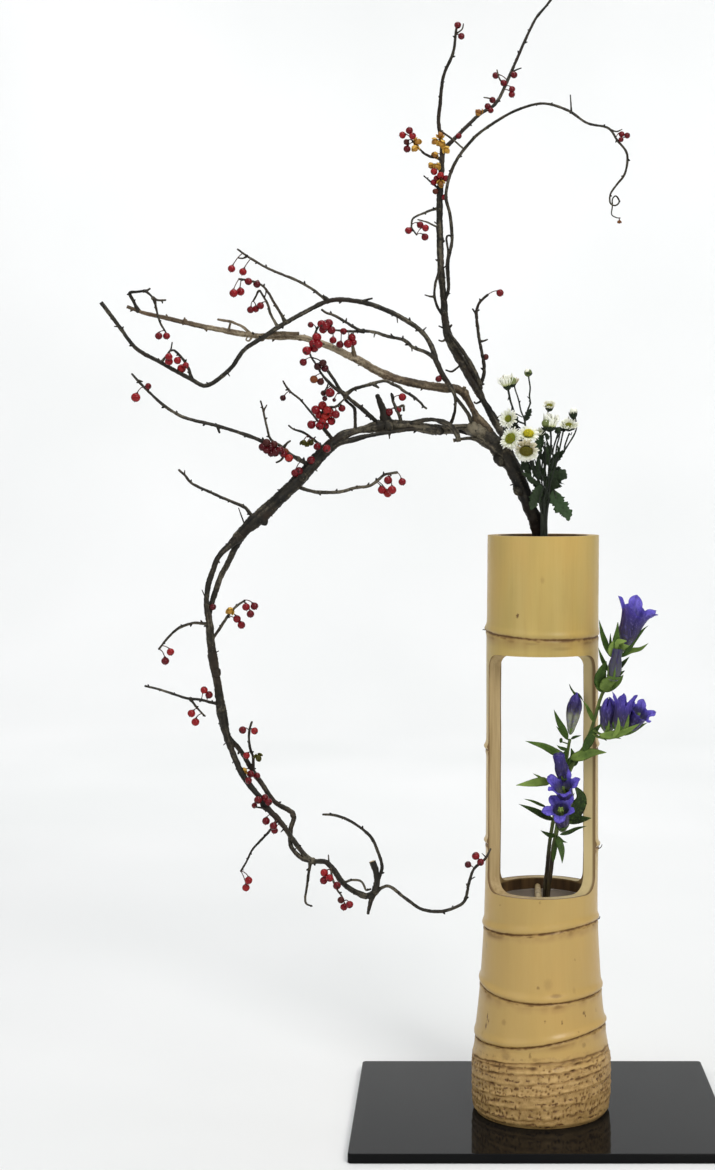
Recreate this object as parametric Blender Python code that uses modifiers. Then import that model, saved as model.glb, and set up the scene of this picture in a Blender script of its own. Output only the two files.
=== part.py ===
"""Ikebana arrangement: bittersweet vines, spray chrysanthemums and gentians in a two-storey
bamboo vase on a black lacquered display board.

Frame: metres, +Z up, origin on the board's underside below the vase's axis, viewer at -Y.
The arrangement is composed for one viewing point, EYE. Its routes are written on a layout
sheet: x to the right and y down in millimetres on the plane through the vase's axis, with a
depth towards (-) or away from (+) the viewer; at() turns these three into space.
"""

import math

import bmesh
import bpy
from mathutils import Vector

MM = 0.001

# Driving dimensions, millimetres
BOARD = (363.0, 276.0, 9.0)
BOARD_X = -4.0
GAP = 0.3
VASE_TOP = 578.0
VASE_WALL = 11.0
CULM = (  # height and outer radius up the culm: root end, nodes as low ridges, top
    (9.3, 64.5), (16, 67.5), (30, 68.6), (58, 67.0), (76, 65.2), (84, 66.4), (90, 65.0),
    (110, 61.6), (126, 60.4), (130, 61.6), (134, 60.2), (187, 57.6), (191, 59.0), (195, 57.4),
    (266, 57.0), (270.5, 58.4), (275, 56.9), (361, 56.5), (366, 57.9), (371, 56.4),
    (476, 56.0), (480, 58.2), (484, 55.9), (VASE_TOP, 55.4),
)
ROOT_LEAN = 9.0  # how far the root end of the culm bends towards the viewer
UPPER_FLOOR, UPPER_CEILING = 486.0, 474.0
LOWER_FLOOR, SILL, LINTEL = 190.0, 226.0, 461.0
WINDOW_FACE = 18.0  # the windows are cut back to planes this far in front of and behind the axis
UPPER_WATER, LOWER_WATER = 540.0, 214.0
EYE = Vector((-83.0, -1850.0, 632.0))
SHEET_X, SHEET_Y = 541.0, 1113.0


for old in list(bpy.data.objects):
    bpy.data.objects.remove(old, do_unlink=True)
PARTS = bpy.data.collections.new("ikebana_arrangement")
CUTTERS = bpy.data.collections.new("cutters")
bpy.context.scene.collection.children.link(PARTS)
bpy.context.scene.collection.children.link(CUTTERS)


# ---------------------------------------------------------------- materials
def material(name, colour, roughness, metallic=0.0):
    made = bpy.data.materials.new(name)
    made.use_nodes = True
    shader = made.node_tree.nodes["Principled BSDF"]
    shader.inputs["Base Color"].default_value = (*colour, 1.0)
    shader.inputs["Roughness"].default_value = roughness
    shader.inputs["Metallic"].default_value = metallic
    made.diffuse_color = (*colour, 1.0)
    return made


def paint(obj, colour, roughness):
    obj.data.materials.clear()
    obj.data.materials.append(material(obj.name + "_finish", colour, roughness))
    return obj


BAMBOO, LACQUER = (0.42, 0.30, 0.13), (0.012, 0.012, 0.014)
WATER, STICK = (0.16, 0.16, 0.13), (0.55, 0.45, 0.27)
BARK, BROWN_BARK = (0.05, 0.04, 0.03), (0.15, 0.10, 0.06)
BERRY, GREEN, DARK_GREEN = (0.35, 0.02, 0.03), (0.09, 0.16, 0.05), (0.03, 0.07, 0.03)
WHITE, VIOLET = (0.85, 0.85, 0.74), (0.12, 0.08, 0.42)


# ---------------------------------------------------------------- geometry helpers
def at(x, y, depth):
    """The point in space, in millimetres, that the layout sheet's point stands for."""
    scale = (depth - EYE.y) / -EYE.y
    return Vector((
        EYE.x + (x - SHEET_X - EYE.x) * scale,
        depth,
        EYE.z + (SHEET_Y - y - EYE.z) * scale,
    ))


def smooth(points, spacing):
    """Points of a Catmull-Rom curve through (point, radius) pairs, about one per spacing."""
    out = []
    for i in range(len(points) - 1):
        p0, p1 = points[max(i - 1, 0)], points[i]
        p2, p3 = points[i + 1], points[min(i + 2, len(points) - 1)]
        steps = max(1, round((p2[0] - p1[0]).length / spacing))
        for k in range(steps):
            t = k / steps
            a = -0.5 * t**3 + t * t - 0.5 * t
            b = 1.5 * t**3 - 2.5 * t * t + 1
            c = -1.5 * t**3 + 2 * t * t + 0.5 * t
            d = 0.5 * t**3 - 0.5 * t * t
            place = a * p0[0] + b * p1[0] + c * p2[0] + d * p3[0]
            out.append((place, p1[1] + (p2[1] - p1[1]) * t))
    out.append(points[-1])
    return out


def mesh_object(name, mesh, collection=CUTTERS):
    obj = bpy.data.objects.new(name, mesh)
    collection.objects.link(obj)
    return obj


def evaluated_mesh(obj, merge=1e-7):
    """The object as it is with its modifiers, as one welded mesh; the object goes."""
    bpy.context.view_layer.update()
    graph = bpy.context.evaluated_depsgraph_get()
    mesh = bpy.data.meshes.new_from_object(obj.evaluated_get(graph))
    mesh.transform(obj.matrix_world)
    work = bmesh.new()
    work.from_mesh(mesh)
    bmesh.ops.remove_doubles(work, verts=work.verts, dist=merge)
    bmesh.ops.recalc_face_normals(work, faces=work.faces)
    work.to_mesh(mesh)
    work.free()
    bpy.data.objects.remove(obj, do_unlink=True)
    return mesh


def tube(name, points, sides=1, spacing=None, collection=CUTTERS):
    """A round stem along (point, radius) pairs in millimetres, as a closed mesh."""
    if spacing:
        points = smooth(points, spacing)
    curve = bpy.data.curves.new(name, "CURVE")
    curve.dimensions = "3D"
    curve.bevel_depth = MM
    curve.bevel_resolution = sides
    curve.use_fill_caps = True
    line = curve.splines.new("POLY")
    line.points.add(len(points) - 1)
    for spot, (place, radius) in zip(line.points, points):
        spot.co = (*(place * MM), 1.0)
        spot.radius = radius
    wire = bpy.data.objects.new(name + "_wire", curve)
    CUTTERS.objects.link(wire)
    mesh = evaluated_mesh(wire)
    return mesh_object(name, mesh, collection)


def ball(name, centre, radius, stretch=1.0, level=1):
    work = bmesh.new()
    bmesh.ops.create_icosphere(work, subdivisions=level, radius=radius * MM)
    for vert in work.verts:
        vert.co.z *= stretch
        vert.co += centre * MM
    mesh = bpy.data.meshes.new(name)
    work.to_mesh(mesh)
    work.free()
    return mesh_object(name, mesh)


def join(name, pieces, colour, roughness=0.6):
    """One closed body from pieces that overlap."""
    base, others = pieces[0], pieces[1:]
    if others:
        group = bpy.data.collections.new(name + "_joined")
        bpy.context.scene.collection.children.link(group)
        for other in others:
            CUTTERS.objects.unlink(other)
            group.objects.link(other)
        union = base.modifiers.new("union", "BOOLEAN")
        union.operation = "UNION"
        union.operand_type = "COLLECTION"
        union.collection = group
        union.solver = "EXACT"
        mesh = evaluated_mesh(base, 2e-7)
        for other in list(group.objects):
            bpy.data.objects.remove(other, do_unlink=True)
        bpy.data.collections.remove(group)
    else:
        mesh = evaluated_mesh(base)
    mesh.name = name
    obj = mesh_object(name, mesh, PARTS)
    mesh.shade_smooth()
    mesh.set_sharp_from_angle(angle=math.radians(40))
    return paint(obj, colour, roughness)


# ---------------------------------------------------------------- board
def board():
    bpy.ops.mesh.primitive_cube_add(size=1.0, location=(0, 0, 0))
    slab = bpy.context.object
    slab.name = "display_board"
    slab.scale = (BOARD[0] * MM, BOARD[1] * MM, BOARD[2] * MM)
    bpy.ops.object.transform_apply(location=False, rotation=False, scale=True)
    slab.location = (BOARD_X * MM, 0, BOARD[2] / 2 * MM)
    for home in list(slab.users_collection):
        home.objects.unlink(slab)
    PARTS.objects.link(slab)
    edge = slab.modifiers.new("eased_edges", "BEVEL")
    edge.width = 0.8 * MM
    edge.segments = 2
    paint(slab, LACQUER, 0.08)


board()


# ---------------------------------------------------------------- bamboo vase
def turned(name, profile, steps, collection):
    """A solid of revolution from an (r, z) outline that runs down its outer side."""
    mesh = bpy.data.meshes.new(name)
    verts = [(r * MM, 0, z * MM) for r, z in profile]
    mesh.from_pydata(verts, [(i, i + 1) for i in range(len(verts) - 1)], [])
    obj = mesh_object(name, mesh, collection)
    spin = obj.modifiers.new("turned", "SCREW")
    spin.steps = spin.render_steps = steps
    spin.use_merge_vertices = True
    spin.merge_threshold = 1e-5
    return mesh_object(name, evaluated_mesh(obj), collection)


def rounded_box(name, size, centre, bevel, turn=0.0):
    bpy.ops.mesh.primitive_cube_add(size=1.0, location=(0, 0, 0))
    box = bpy.context.object
    box.name = name
    box.scale = [s * MM for s in size]
    bpy.ops.object.transform_apply(location=False, rotation=False, scale=True)
    for home in list(box.users_collection):
        home.objects.unlink(box)
    CUTTERS.objects.link(box)
    work = bmesh.new()
    work.from_mesh(box.data)
    long_edges = [e for e in work.edges if abs(e.verts[0].co.x - e.verts[1].co.x) > 1e-6]
    bmesh.ops.bevel(work, geom=long_edges, offset=bevel * MM, segments=5, profile=0.5,
                    affect="EDGES")
    work.to_mesh(box.data)
    work.free()
    box.location = [c * MM for c in centre]
    box.rotation_euler.z = turn
    return box


def vase():
    outline = [(0.0, UPPER_FLOOR), (CULM[-1][1] - VASE_WALL, UPPER_FLOOR),
               (CULM[-1][1] - VASE_WALL + 0.6, VASE_TOP), (CULM[-1][1], VASE_TOP)]
    outline += [(r, z) for z, r in reversed(CULM[:-1])]
    outline.append((0.0, CULM[0][0]))
    culm = turned("bamboo_vase", outline, 30, PARTS)
    for vert in culm.data.vertices:
        low = max(0.0, 1.0 - vert.co.z / (LOWER_FLOOR * MM))
        vert.co.y -= ROOT_LEAN * MM * low * low
    inside = turned("storey", [
        (0.0, UPPER_CEILING), (38.0, UPPER_CEILING), (44.4, UPPER_CEILING - 7),
        (45.4, LOWER_FLOOR + 8), (40.0, LOWER_FLOOR), (0.0, LOWER_FLOOR)], 30, CUTTERS)
    mid, tall = (SILL + LINTEL) / 2, LINTEL - SILL
    front = rounded_box("front_window", (180, 100, tall), (0, -WINDOW_FACE - 50, mid), 20,
                        math.radians(-3.0))
    back = rounded_box("back_window", (180, 100, tall), (0, WINDOW_FACE + 50, mid), 20,
                       math.radians(-3.0))
    for cutter in (inside, front, back):
        cutter.hide_render = True
        cutter.display_type = "WIRE"
        cut = culm.modifiers.new(cutter.name, "BOOLEAN")
        cut.operation = "DIFFERENCE"
        cut.object = cutter
        cut.solver = "EXACT"
    culm.data.shade_smooth()
    paint(culm, BAMBOO, 0.45)


vase()


# ---------------------------------------------------------------- canes
def route(points, depth_shift=0.0):
    """(sheet x, sheet y, depth, radius) rows as (point, radius) pairs."""
    return [(at(x, y, d + depth_shift), r) for x, y, d, r in points]


def nearest(line, spot):
    """Where the sheet's point falls on a cane: (point, radius, depth)."""
    best = None
    aim = (at(*spot, 0.0) - EYE).normalized()
    for place, radius in line:
        sight = place - EYE
        off = (sight - aim * sight.dot(aim)).length
        if best is None or off < best[0]:
            best = (off, place, radius)
    return best[1], best[2]


def twig(line, spots, start, end, lean, gap):
    """A twig that leaves the cane line where its first sheet spot lies. With a gap it starts
    clear of the cane's surface by that much, and without one it starts inside the cane."""
    root, thick = nearest(line, spots[0])
    total = len(spots) - 1
    route_points = []
    for i, (x, y) in enumerate(spots):
        route_points.append(at(x, y, root.y + lean * i / total))
    if gap is None:
        route_points[0] = root.copy()
    else:
        away = route_points[1] - root
        away.normalize()
        route_points[0] = root + away * (thick * 1.12 + gap + start * 0.8)
    return [(p, start + (end - start) * i / total) for i, p in enumerate(route_points)]


def hang(line, spot, radius, lift=0.0, shift=0.0):
    """A berry and its pedicel from the nearest point of a twig. The berry's depth follows it."""
    root, thick = nearest(line, spot)
    centre = at(*spot, root.y + shift)
    pieces = [ball("berry", centre, radius)]
    if (centre - root).length > radius * 0.5:
        bend = root.lerp(centre, 0.55) + Vector((0, 0, lift))
        path = [(root, 0.55), (centre, 0.5)]
        if (centre - root).length > 9:
            path.insert(1, (bend, 0.5))
        pieces.append(tube("pedicel", path, 0))
    return pieces


def spray(name, line, twigs, berries, gap=0.9, lean=-10.0, radius=4.0, colour=BERRY,
          thick=1.3, forward=0.0):
    """A fruiting spray: its twigs, and the berries that hang from them, as one body. The
    first twig stands clear of the cane and the others spring from the one before them."""
    pieces, path, last = [], [], line
    for i, spots in enumerate(twigs):
        width = thick if i == 0 else thick * 0.75
        made = twig(last if i else line, spots, width, width * 0.6, lean if i == 0 else 4.0,
                    gap if i == 0 else None)
        fine = smooth(made, 7.0)
        pieces.append(tube("twig", fine, 0))
        path += smooth(made, 2.0)
        last = path
    for k, (x, y) in enumerate(berries):
        shift = (-2.5, 1.5, -4.5, 3.0)[k % 4] - forward
        pieces += hang(path, (x, y), radius + (0.0, 0.3, -0.4)[k % 3], 1.0, shift)
    return join(name, pieces, colour, 0.35)


ARCH = route([
    (540, 612, 4, 6.8), (539, 575, 2, 6.6), (538.5, 540, 0, 6.4), (535, 520, -3, 6.6),
    (527, 500, -6, 6.9), (519.5, 481, -8, 7.3), (509.5, 462, -10, 8.1), (499, 449, -12, 8.5),
    (485, 437, -14, 8.3), (472, 430, -16, 7.6), (456, 429, -18, 6.6), (440, 428, -20, 6.6), (418, 425.5, -24, 6.8),
    (402, 424, -27, 6.8), (387, 422.5, -30, 6.8), (371, 425, -34, 6.4), (356, 428.5, -38, 6.0),
    (341, 434.5, -42, 5.8), (323.5, 452, -48, 5.8), (305, 474, -53, 6.0), (288.4, 490, -57, 6.2),
    (274, 504, -60, 6.8), (260, 516.5, -62, 7.2), (246, 529, -64, 6.0), (236.5, 539, -66, 4.8)])
FALL = route([
    (238, 537, -66, 4.6), (228, 545, -69, 3.0), (219, 556, -71, 2.7), (213, 570, -71, 2.6),
    (208, 586, -68, 2.6), (206.5, 604, -66, 2.7), (209, 621, -65, 3.6), (210.5, 640, -65, 4.0),
    (213, 658, -65, 4.6), (217, 680, -63, 3.7), (221, 706, -62, 4.5), (226, 732, -62, 4.0),
    (234, 756, -65, 2.9), (244, 777, -68, 2.7), (259.4, 797, -71, 2.6), (270, 811, -73, 2.6),
    (282, 824, -75, 2.6), (292, 838, -77, 2.5), (304, 854, -80, 2.5), (313, 861, -82, 2.4),
    (325, 862, -84, 2.4), (333, 869, -86, 2.5), (343, 883, -88, 2.6), (354, 891, -90, 2.6),
    (367.5, 896.3, -91, 2.7)])
SECOND = route([
    (237, 541, -64, 3.8), (229, 560, -60, 2.9), (221.5, 575, -59, 2.8), (216, 590, -61, 2.7),
    (211, 612, -64, 2.6)])
INNER = route([
    (228, 735, -62, 2.8), (241, 750, -58, 2.4), (251, 768, -56, 2.4), (262, 784, -58, 2.4),
    (275, 802, -60, 2.4), (293, 814, -64, 2.4), (290.5, 830, -70, 2.2), (291, 846, -76, 2.2),
    (303, 859, -80, 2.2)])
LOWER_ARCH = route([
    (331, 447, -44, 2.0), (341, 445, -46, 2.0), (356.5, 440, -44, 2.0), (372, 435, -38, 2.0),
    (395, 430, -30, 2.0)])
KNOT = ball("knot", at(473, 429.5, -16), 9.4, 0.95, 2)
UPRIGHT = route([
    (505.5, 438, 0, 3.0), (499.5, 427, 6, 3.8), (490, 412.5, 10, 4.2), (478, 392, 13, 4.4),
    (464.4, 366, 15, 4.6), (450, 341, 14, 4.6), (445, 320, 13, 3.6), (443.5, 300, 12, 3.4),
    (441, 272, 11, 3.4), (440, 240, 10, 3.3), (439.5, 208, 9, 3.1), (441.3, 172, 7, 2.9),
    (443, 142, 5, 2.6)])
LEADER_L = route([
    (443, 146, 5, 2.2), (438.5, 122, 2, 1.9), (440, 104, -1, 1.8), (443.5, 76, -5, 1.6),
    (453, 53, -10, 1.5), (456, 31, -14, 1.2)])
LEADER_R = route([
    (444, 146, 5, 2.2), (458.6, 134.8, 9, 2.0), (479, 115, 15, 1.8), (496, 103, 20, 1.7),
    (509, 77, 25, 1.6), (523, 45, 31, 1.5), (535, 20, 36, 1.4), (547, 5, 40, 1.3),
    (556, -8, 43, 1.1), (561, -22, 46, 0.9)])
TENDRIL = route([
    (448.5, 288, 7, 1.6), (448, 262, 3, 1.7), (452, 240, -2, 1.7), (450, 215, -5, 1.7),
    (446, 194, -8, 1.6), (454, 165, -13, 1.6), (472, 140, -20, 1.5), (490, 125.5, -26, 1.4),
    (516, 110.5, -32, 1.3), (543, 103.5, -36, 1.3), (568, 110.5, -38, 1.3), (587, 123, -38, 1.2),
    (608, 128, -36, 1.2), (617, 140, -34, 1.2), (627, 154, -31, 1.2), (625, 173, -28, 1.1),
    (615.5, 185, -25, 1.1), (612.5, 196, -22, 1.0), (619, 199, -20, 1.0), (613, 206, -18, 0.9),
    (612, 216, -17, 0.8)])
BROWN = route([
    (488, 425, -13, 3.0), (481, 416.5, -17, 4.0), (473.5, 407.5, -20, 4.0), (468, 400, -22, 3.8),
    (464, 393.5, -24.5, 4.2), (457, 389.2, -26, 4.2), (448, 388.4, -27, 4.2),
    (418, 384, -30, 4.2), (387, 375.5, -32, 4.2), (356, 359, -36, 3.6), (326, 345, -40, 3.0),
    (300, 337.5, -44, 3.0), (270, 336.5, -48, 2.6), (243, 334, -52, 2.8), (206, 327, -58, 2.6),
    (166, 318, -64, 2.6), (139, 311, -68, 2.5), (127, 306.5, -70, 2.4)])
DARK = route([
    (451, 419.5, -22, 2.4), (454.5, 411, -30, 2.4), (456, 401, -35, 2.4), (453, 390, -37, 2.6),
    (444, 377, -37, 2.8), (436.5, 362, -36, 2.6), (432, 348, -34, 2.5), (422, 332, -32, 2.4), (402, 318, -28, 2.4),
    (380, 307.5, -28, 2.5), (356, 300.7, -32, 2.4), (330, 300.5, -38, 2.3), (304, 312.7, -46, 2.3),
    (282, 325, -54, 2.2), (262, 338, -62, 2.2), (244, 350, -66, 2.1), (230, 369, -68, 2.0),
    (207, 385, -70, 2.1), (190, 378, -72, 2.1), (160, 362, -75, 2.0), (136, 348, -78, 2.0),
    (119, 326, -80, 1.9), (103, 305, -82, 1.9)])
LEFT = route([
    (304, 462.5, -55, 1.8), (281, 450.5, -62, 1.6), (252, 437, -74, 1.5), (218, 426, -82, 1.4),
    (186, 418, -88, 1.3), (166, 407, -92, 1.3), (150, 393, -96, 1.2), (132, 374, -100, 1.1)])
MIDDLE = route([
    (373.5, 416.3, -37, 2.4), (360, 407, -43, 2.4), (345, 395, -52, 2.2), (336, 383, -56, 2.0),
    (324, 366, -60, 1.8), (311, 354, -64, 1.6), (312, 344, -66, 1.3), (317, 329, -68, 1.1),
    (323, 322, -70, 0.9)])
STUB = route([
    (368, 914, -96, 1.6), (371, 903, -96, 2.0), (374.5, 893, -96, 2.8), (377.5, 883, -97, 3.0),
    (376.6, 872, -97, 2.9), (375.6, 863, -97, 2.8)])
TWIST = route([
    (376, 880, -98, 1.8), (382, 868, -102, 1.6), (378, 852, -106, 1.4), (370, 836, -108, 1.4),
    (352, 822, -108, 1.3), (336, 815.5, -104, 1.3), (323, 814.5, -100, 1.1)])
TAIL = route([
    (375, 889, -98, 1.6), (388, 886, -100, 1.5), (405, 898, -100, 1.6), (421.5, 909, -98, 1.6),
    (440, 911.5, -95, 1.6), (456, 907, -92, 1.5), (465, 900, -88, 1.5), (469, 883, -84, 1.4),
    (474, 869, -80, 1.3), (485, 859, -78, 1.2), (490.5, 849, -76, 1.0)])


def canes():
    pieces = [tube("arch", ARCH, 2, 17), tube("fall", FALL, 1, 16),
              tube("second", SECOND, 1, 16), tube("inner", INNER, 1, 16),
              tube("lower_arch", LOWER_ARCH, 1, 16), KNOT]
    fine = smooth(ARCH, 3)
    for spots in (((254, 520), (239, 504.5), (211, 492.6), (193, 484), (179, 470)),
                  ((384, 420), (380, 406), (377.2, 396.3))):
        wide = 3.4 if len(spots) == 3 else 1.3
        pieces.append(tube("stub", smooth(twig(fine, spots, wide, wide * 0.8, -8, None), 9),
                           1 if wide > 2 else 0))
    fall = smooth(FALL, 3)
    hook = ((309, 860), (307.8, 879.3), (305.4, 901.2), (312, 906))
    pieces.append(tube("hook", smooth(twig(fall, hook, 1.3, 0.8, -8, None), 9), 0))
    for spot in ((247, 774), (266, 821), (273.5, 826)):
        pieces += hang(fall, spot, 3.6, 1.0, -6.0)
    join("vine_trunk_and_arch", pieces, BARK, 0.8)

    loop = [tube("stub", STUB, 1, 12), tube("twist", TWIST, 0, 11), tube("tail", TAIL, 0, 11)]
    tail = smooth(TAIL, 2)
    for spot, radius in (((478, 856), 3.6), ((482, 863), 3.6), ((468, 863), 3.2)):
        loop += hang(tail, spot, radius, 0.5, -2.0)
    join("vine_hanging_shoot", loop, BARK, 0.8)

    up = [tube("upright", UPRIGHT, 1, 14), tube("leader", LEADER_L, 0, 12),
          tube("right_leader", LEADER_R, 0, 12)]
    left, right, mast = smooth(LEADER_L, 2), smooth(LEADER_R, 2), smooth(UPRIGHT, 3)
    for spot in ((458, 24.5), (461.3, 36.3)):
        up += hang(left, spot, 3.4, 0.5, -1.0)
    for spot in ((496, 76), (514.5, 73), (503.6, 83.5), (513, 91.5), (488.7, 101), (478, 109)):
        up += hang(right, spot, 3.4, 0.5, -1.0)
    for spot in ((434, 137), (448, 150), (434, 168), (434, 181), (446, 180), (434.5, 191),
                 (445.5, 197)):
        up += hang(mast, spot, 3.4, 0.5, -1.5)
    join("vine_upright", up, BARK, 0.8)

    curl = [tube("tendril", TENDRIL, 0, 9)]
    tip = smooth(TENDRIL, 2)
    for spot in ((622, 134), (628, 136)):
        curl += hang(tip, spot, 2.8, 0.5, -1.0)
    join("vine_curled_tendril", curl, BARK, 0.8)

    join("vine_brown_cane", [tube("brown", BROWN, 1, 15)], BROWN_BARK, 0.8)
    prop = route([(456, 402, -35, 1.9), (462, 408, -33, 1.9), (467, 413.5, -31, 1.8)])
    join("vine_dark_cane", [tube("dark", DARK, 1, 14), tube("prop", prop, 1)], BARK, 0.8)
    left_line = smooth(LEFT, 2)
    shoot = [tube("left", LEFT, 0, 12)]
    for spot in ((136, 397), (147.7, 386), (262.4, 448), (276, 453), (289, 458)):
        shoot += hang(left_line, spot, 4.0, 0.5, -3.0)
    join("vine_left_shoot", shoot, BARK, 0.8)
    mid_line = smooth(MIDDLE, 2)
    middle = [tube("middle", MIDDLE, 1, 10)]
    bow = ((345.8, 393.3), (362.7, 386.4), (384, 381), (396.3, 385.6), (414.7, 397), (427, 408.6))
    middle.append(tube("bow", smooth(twig(mid_line, bow, 1.2, 0.7, -26, None), 9), 0))
    for spot in ((316.7, 337.5), (317, 345), (307, 351), (303.3, 362), (317.5, 366.5),
                 (314.4, 379.5), (321, 381), (329.7, 392.5), (329, 322), (310.6, 325)):
        middle += hang(mid_line, spot, 4.2, 0.5, -3.5)
    join("vine_middle_cane", middle, BARK, 0.8)


canes()


# ---------------------------------------------------------------- fruiting sprays
def sprays():
    arch, fall, brown = smooth(ARCH, 2), smooth(FALL, 2), smooth(BROWN, 2)
    dark, mast = smooth(DARK, 2), smooth(UPRIGHT, 2)
    inner = smooth(INNER, 2)
    spray("spray_brown_tip", brown,
          [[(138, 310), (133, 300.4), (129.5, 293), (143.6, 291.2), (154.3, 299.6)],
           [(154.3, 299.6), (156, 310), (160, 322), (165, 331)]],
          [(158, 336), (166.5, 336)], lean=-12, gap=2.4)
    spray("spray_dark_tip", dark,
          [[(191.8, 379), (188, 367.8), (181.8, 357), (175, 350.5), (169.6, 351)]],
          [(168.5, 359), (177, 361), (182, 369)], lean=-10, gap=1.6)
    spray("spray_far_upper", dark,
          [[(326.5, 299.5), (312, 289), (296.6, 280.5), (281, 274), (258, 264), (237.7, 249.6)]],
          [(231.6, 268.7), (243, 271.8)], lean=-22)
    spray("spray_dark_fork", dark,
          [[(285.9, 322), (273.7, 302), (264.5, 287.4), (249.2, 280.5), (239.2, 279)]],
          [(248.4, 281.5), (257, 284), (233.7, 293), (241, 291.5)], lean=-16)
    spray("spray_dark_fork_inner", dark,
          [[(277, 327), (270, 312.7), (266, 300.4), (259, 290.5), (253, 301.2)]],
          [(250.5, 309.6), (255.8, 309), (260.5, 305.5)], lean=-4)
    spray("spray_upper_middle", dark,
          [[(434.6, 358), (413, 347.4), (387, 339), (361, 330.5), (345.8, 322), (322, 309.8)],
           [(352, 327), (340, 329.5), (331, 329.5)]],
          [(345, 331.3), (353, 338), (333, 341), (340, 345.5), (349, 343.5)], lean=-30)
    spray("spray_big_cluster", arch,
          [[(334, 439), (333, 425), (326, 412), (319, 402)]],
          [(320, 406), (327.5, 413), (336, 415.5), (343, 408), (331.5, 421.5), (312, 425),
           (320, 425), (316, 414)], lean=-14, thick=1.5)
    spray("spray_arch_top", arch,
          [[(400, 420), (396, 408), (391.7, 393.3)]],
          [(388.5, 411.6), (399.5, 409), (402.5, 396.6)], lean=-8, thick=1.6)
    spray("spray_grey_twig", arch,
          [[(333, 441), (324.4, 430.8), (312, 413), (300, 399.4), (283, 381)]],
          [(283, 397)], lean=16, thick=1.1, radius=3.2)
    spray("spray_arch_under", arch,
          [[(326, 449), (312.2, 438.6), (300, 431), (288.4, 426)]],
          [(306.5, 444.5), (318, 447), (327.5, 449), (294.5, 474)], lean=-20, forward=15.0)
    spray("spray_arch_right", arch,
          [[(296, 483), (308, 489.8), (340, 492), (370, 488), (390, 480), (405, 473)]],
          [(385, 491), (393, 484.5), (401, 479.5), (384, 481)], lean=-16)
    spray("spray_fall_left_upper", fall,
          [[(207.5, 624), (191.2, 623.4), (172, 633.6), (159, 649)]],
          [(171, 652), (165.5, 661)], lean=-16)
    spray("spray_fall_left_lower", fall,
          [[(220, 704), (201.4, 700), (186, 698), (172, 693.5), (145.3, 686)],
           [(190, 698), (198, 709), (205, 716)]],
          [(204, 690), (209, 694.5), (191.5, 713.5), (195.5, 722)], lean=-18)
    spray("spray_fall_right", fall,
          [[(212.5, 641), (218, 631), (230.8, 612), (244.8, 600.4)]],
          [(246, 606.5), (254.4, 606), (250.5, 614), (237, 619), (232, 611), (241.5, 625)],
          lean=-18, gap=1.4)
    spray("spray_low_husks", inner,
          [[(252.7, 770), (253, 756), (250, 745.8), (249, 737), (251.8, 722)]],
          [(242.6, 730), (254.5, 731), (259, 757.4), (246.4, 755)], lean=-22,
          forward=8.0, gap=1.6)
    spray("spray_low_drop", fall,
          [[(278, 820), (270.5, 829.7), (260.6, 840.6), (252, 850.3), (246, 862.4),
            (240.6, 871)]],
          [(249, 880), (246, 888)], lean=16, thick=1.1)
    spray("spray_low_cluster", fall,
          [[(331, 864), (332, 874), (337, 889), (344, 901)]],
          [(324, 873), (324, 881), (329.5, 878), (336.9, 885.4), (341, 901), (349, 905)],
          lean=-18, thick=1.0, forward=6.0, gap=2.6)
    spray("spray_upright_twig", mast,
          [[(478, 389), (484.2, 371), (481.6, 352), (476.5, 316), (480.7, 302.3), (487.6, 295)]],
          [(500, 293), (486, 357)], lean=-8, thick=1.7, gap=2.0)
    spray("spray_top_cluster", mast,
          [[(441.6, 159), (430, 156.5), (420, 154)]],
          [(409.5, 131), (403, 137), (412, 137.5), (407, 149), (418, 145)], lean=-10)
    spray("spray_leader_cluster", mast,
          [[(438.5, 208), (422, 214), (412.5, 219.6), (412, 228.6), (416.6, 234.8)]],
          [(408, 231), (420.2, 225), (425.5, 228), (425, 237)], lean=-12, thick=1.1)


sprays()


# ---------------------------------------------------------------- chrysanthemums
def blade(name, spots, width, depth, tip_depth, fold=0.25, thickness=0.9):
    """A leaf as a thin closed shell along sheet spots, root first, with a folded midrib."""
    line = smooth([(at(x, y, depth + (tip_depth - depth) * i / (len(spots) - 1)), 0)
                   for i, (x, y) in enumerate(spots)], 1000)
    count = len(line)
    work = bmesh.new()
    bmesh.ops.create_grid(work, x_segments=count + 1, y_segments=2, size=1.0)
    work.verts.ensure_lookup_table()
    for vert in work.verts:
        along = (vert.co.x + 1) / 2
        side = vert.co.y
        i = min(int(along * (count - 1)), count - 2)
        t = along * (count - 1) - i
        spine = line[i][0].lerp(line[i + 1][0], t)
        run = (line[min(i + 1, count - 1)][0] - line[i][0]).normalized()
        across = run.cross(Vector((0, -1, 0)))
        across.normalize()
        half = width / 2 * (0.25 + 0.85 * math.sin(math.pi * min(along * 0.86 + 0.12, 1.0)))
        vert.co = (spine + across * side * half
                   + Vector((0, -1, 0)) * abs(side) * half * fold) * MM
    mesh = bpy.data.meshes.new(name)
    work.to_mesh(mesh)
    work.free()
    sheet = mesh_object(name, mesh)
    shell = sheet.modifiers.new("shell", "SOLIDIFY")
    shell.thickness = thickness * MM
    shell.offset = 0.0
    return mesh_object(name, evaluated_mesh(sheet))


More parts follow.
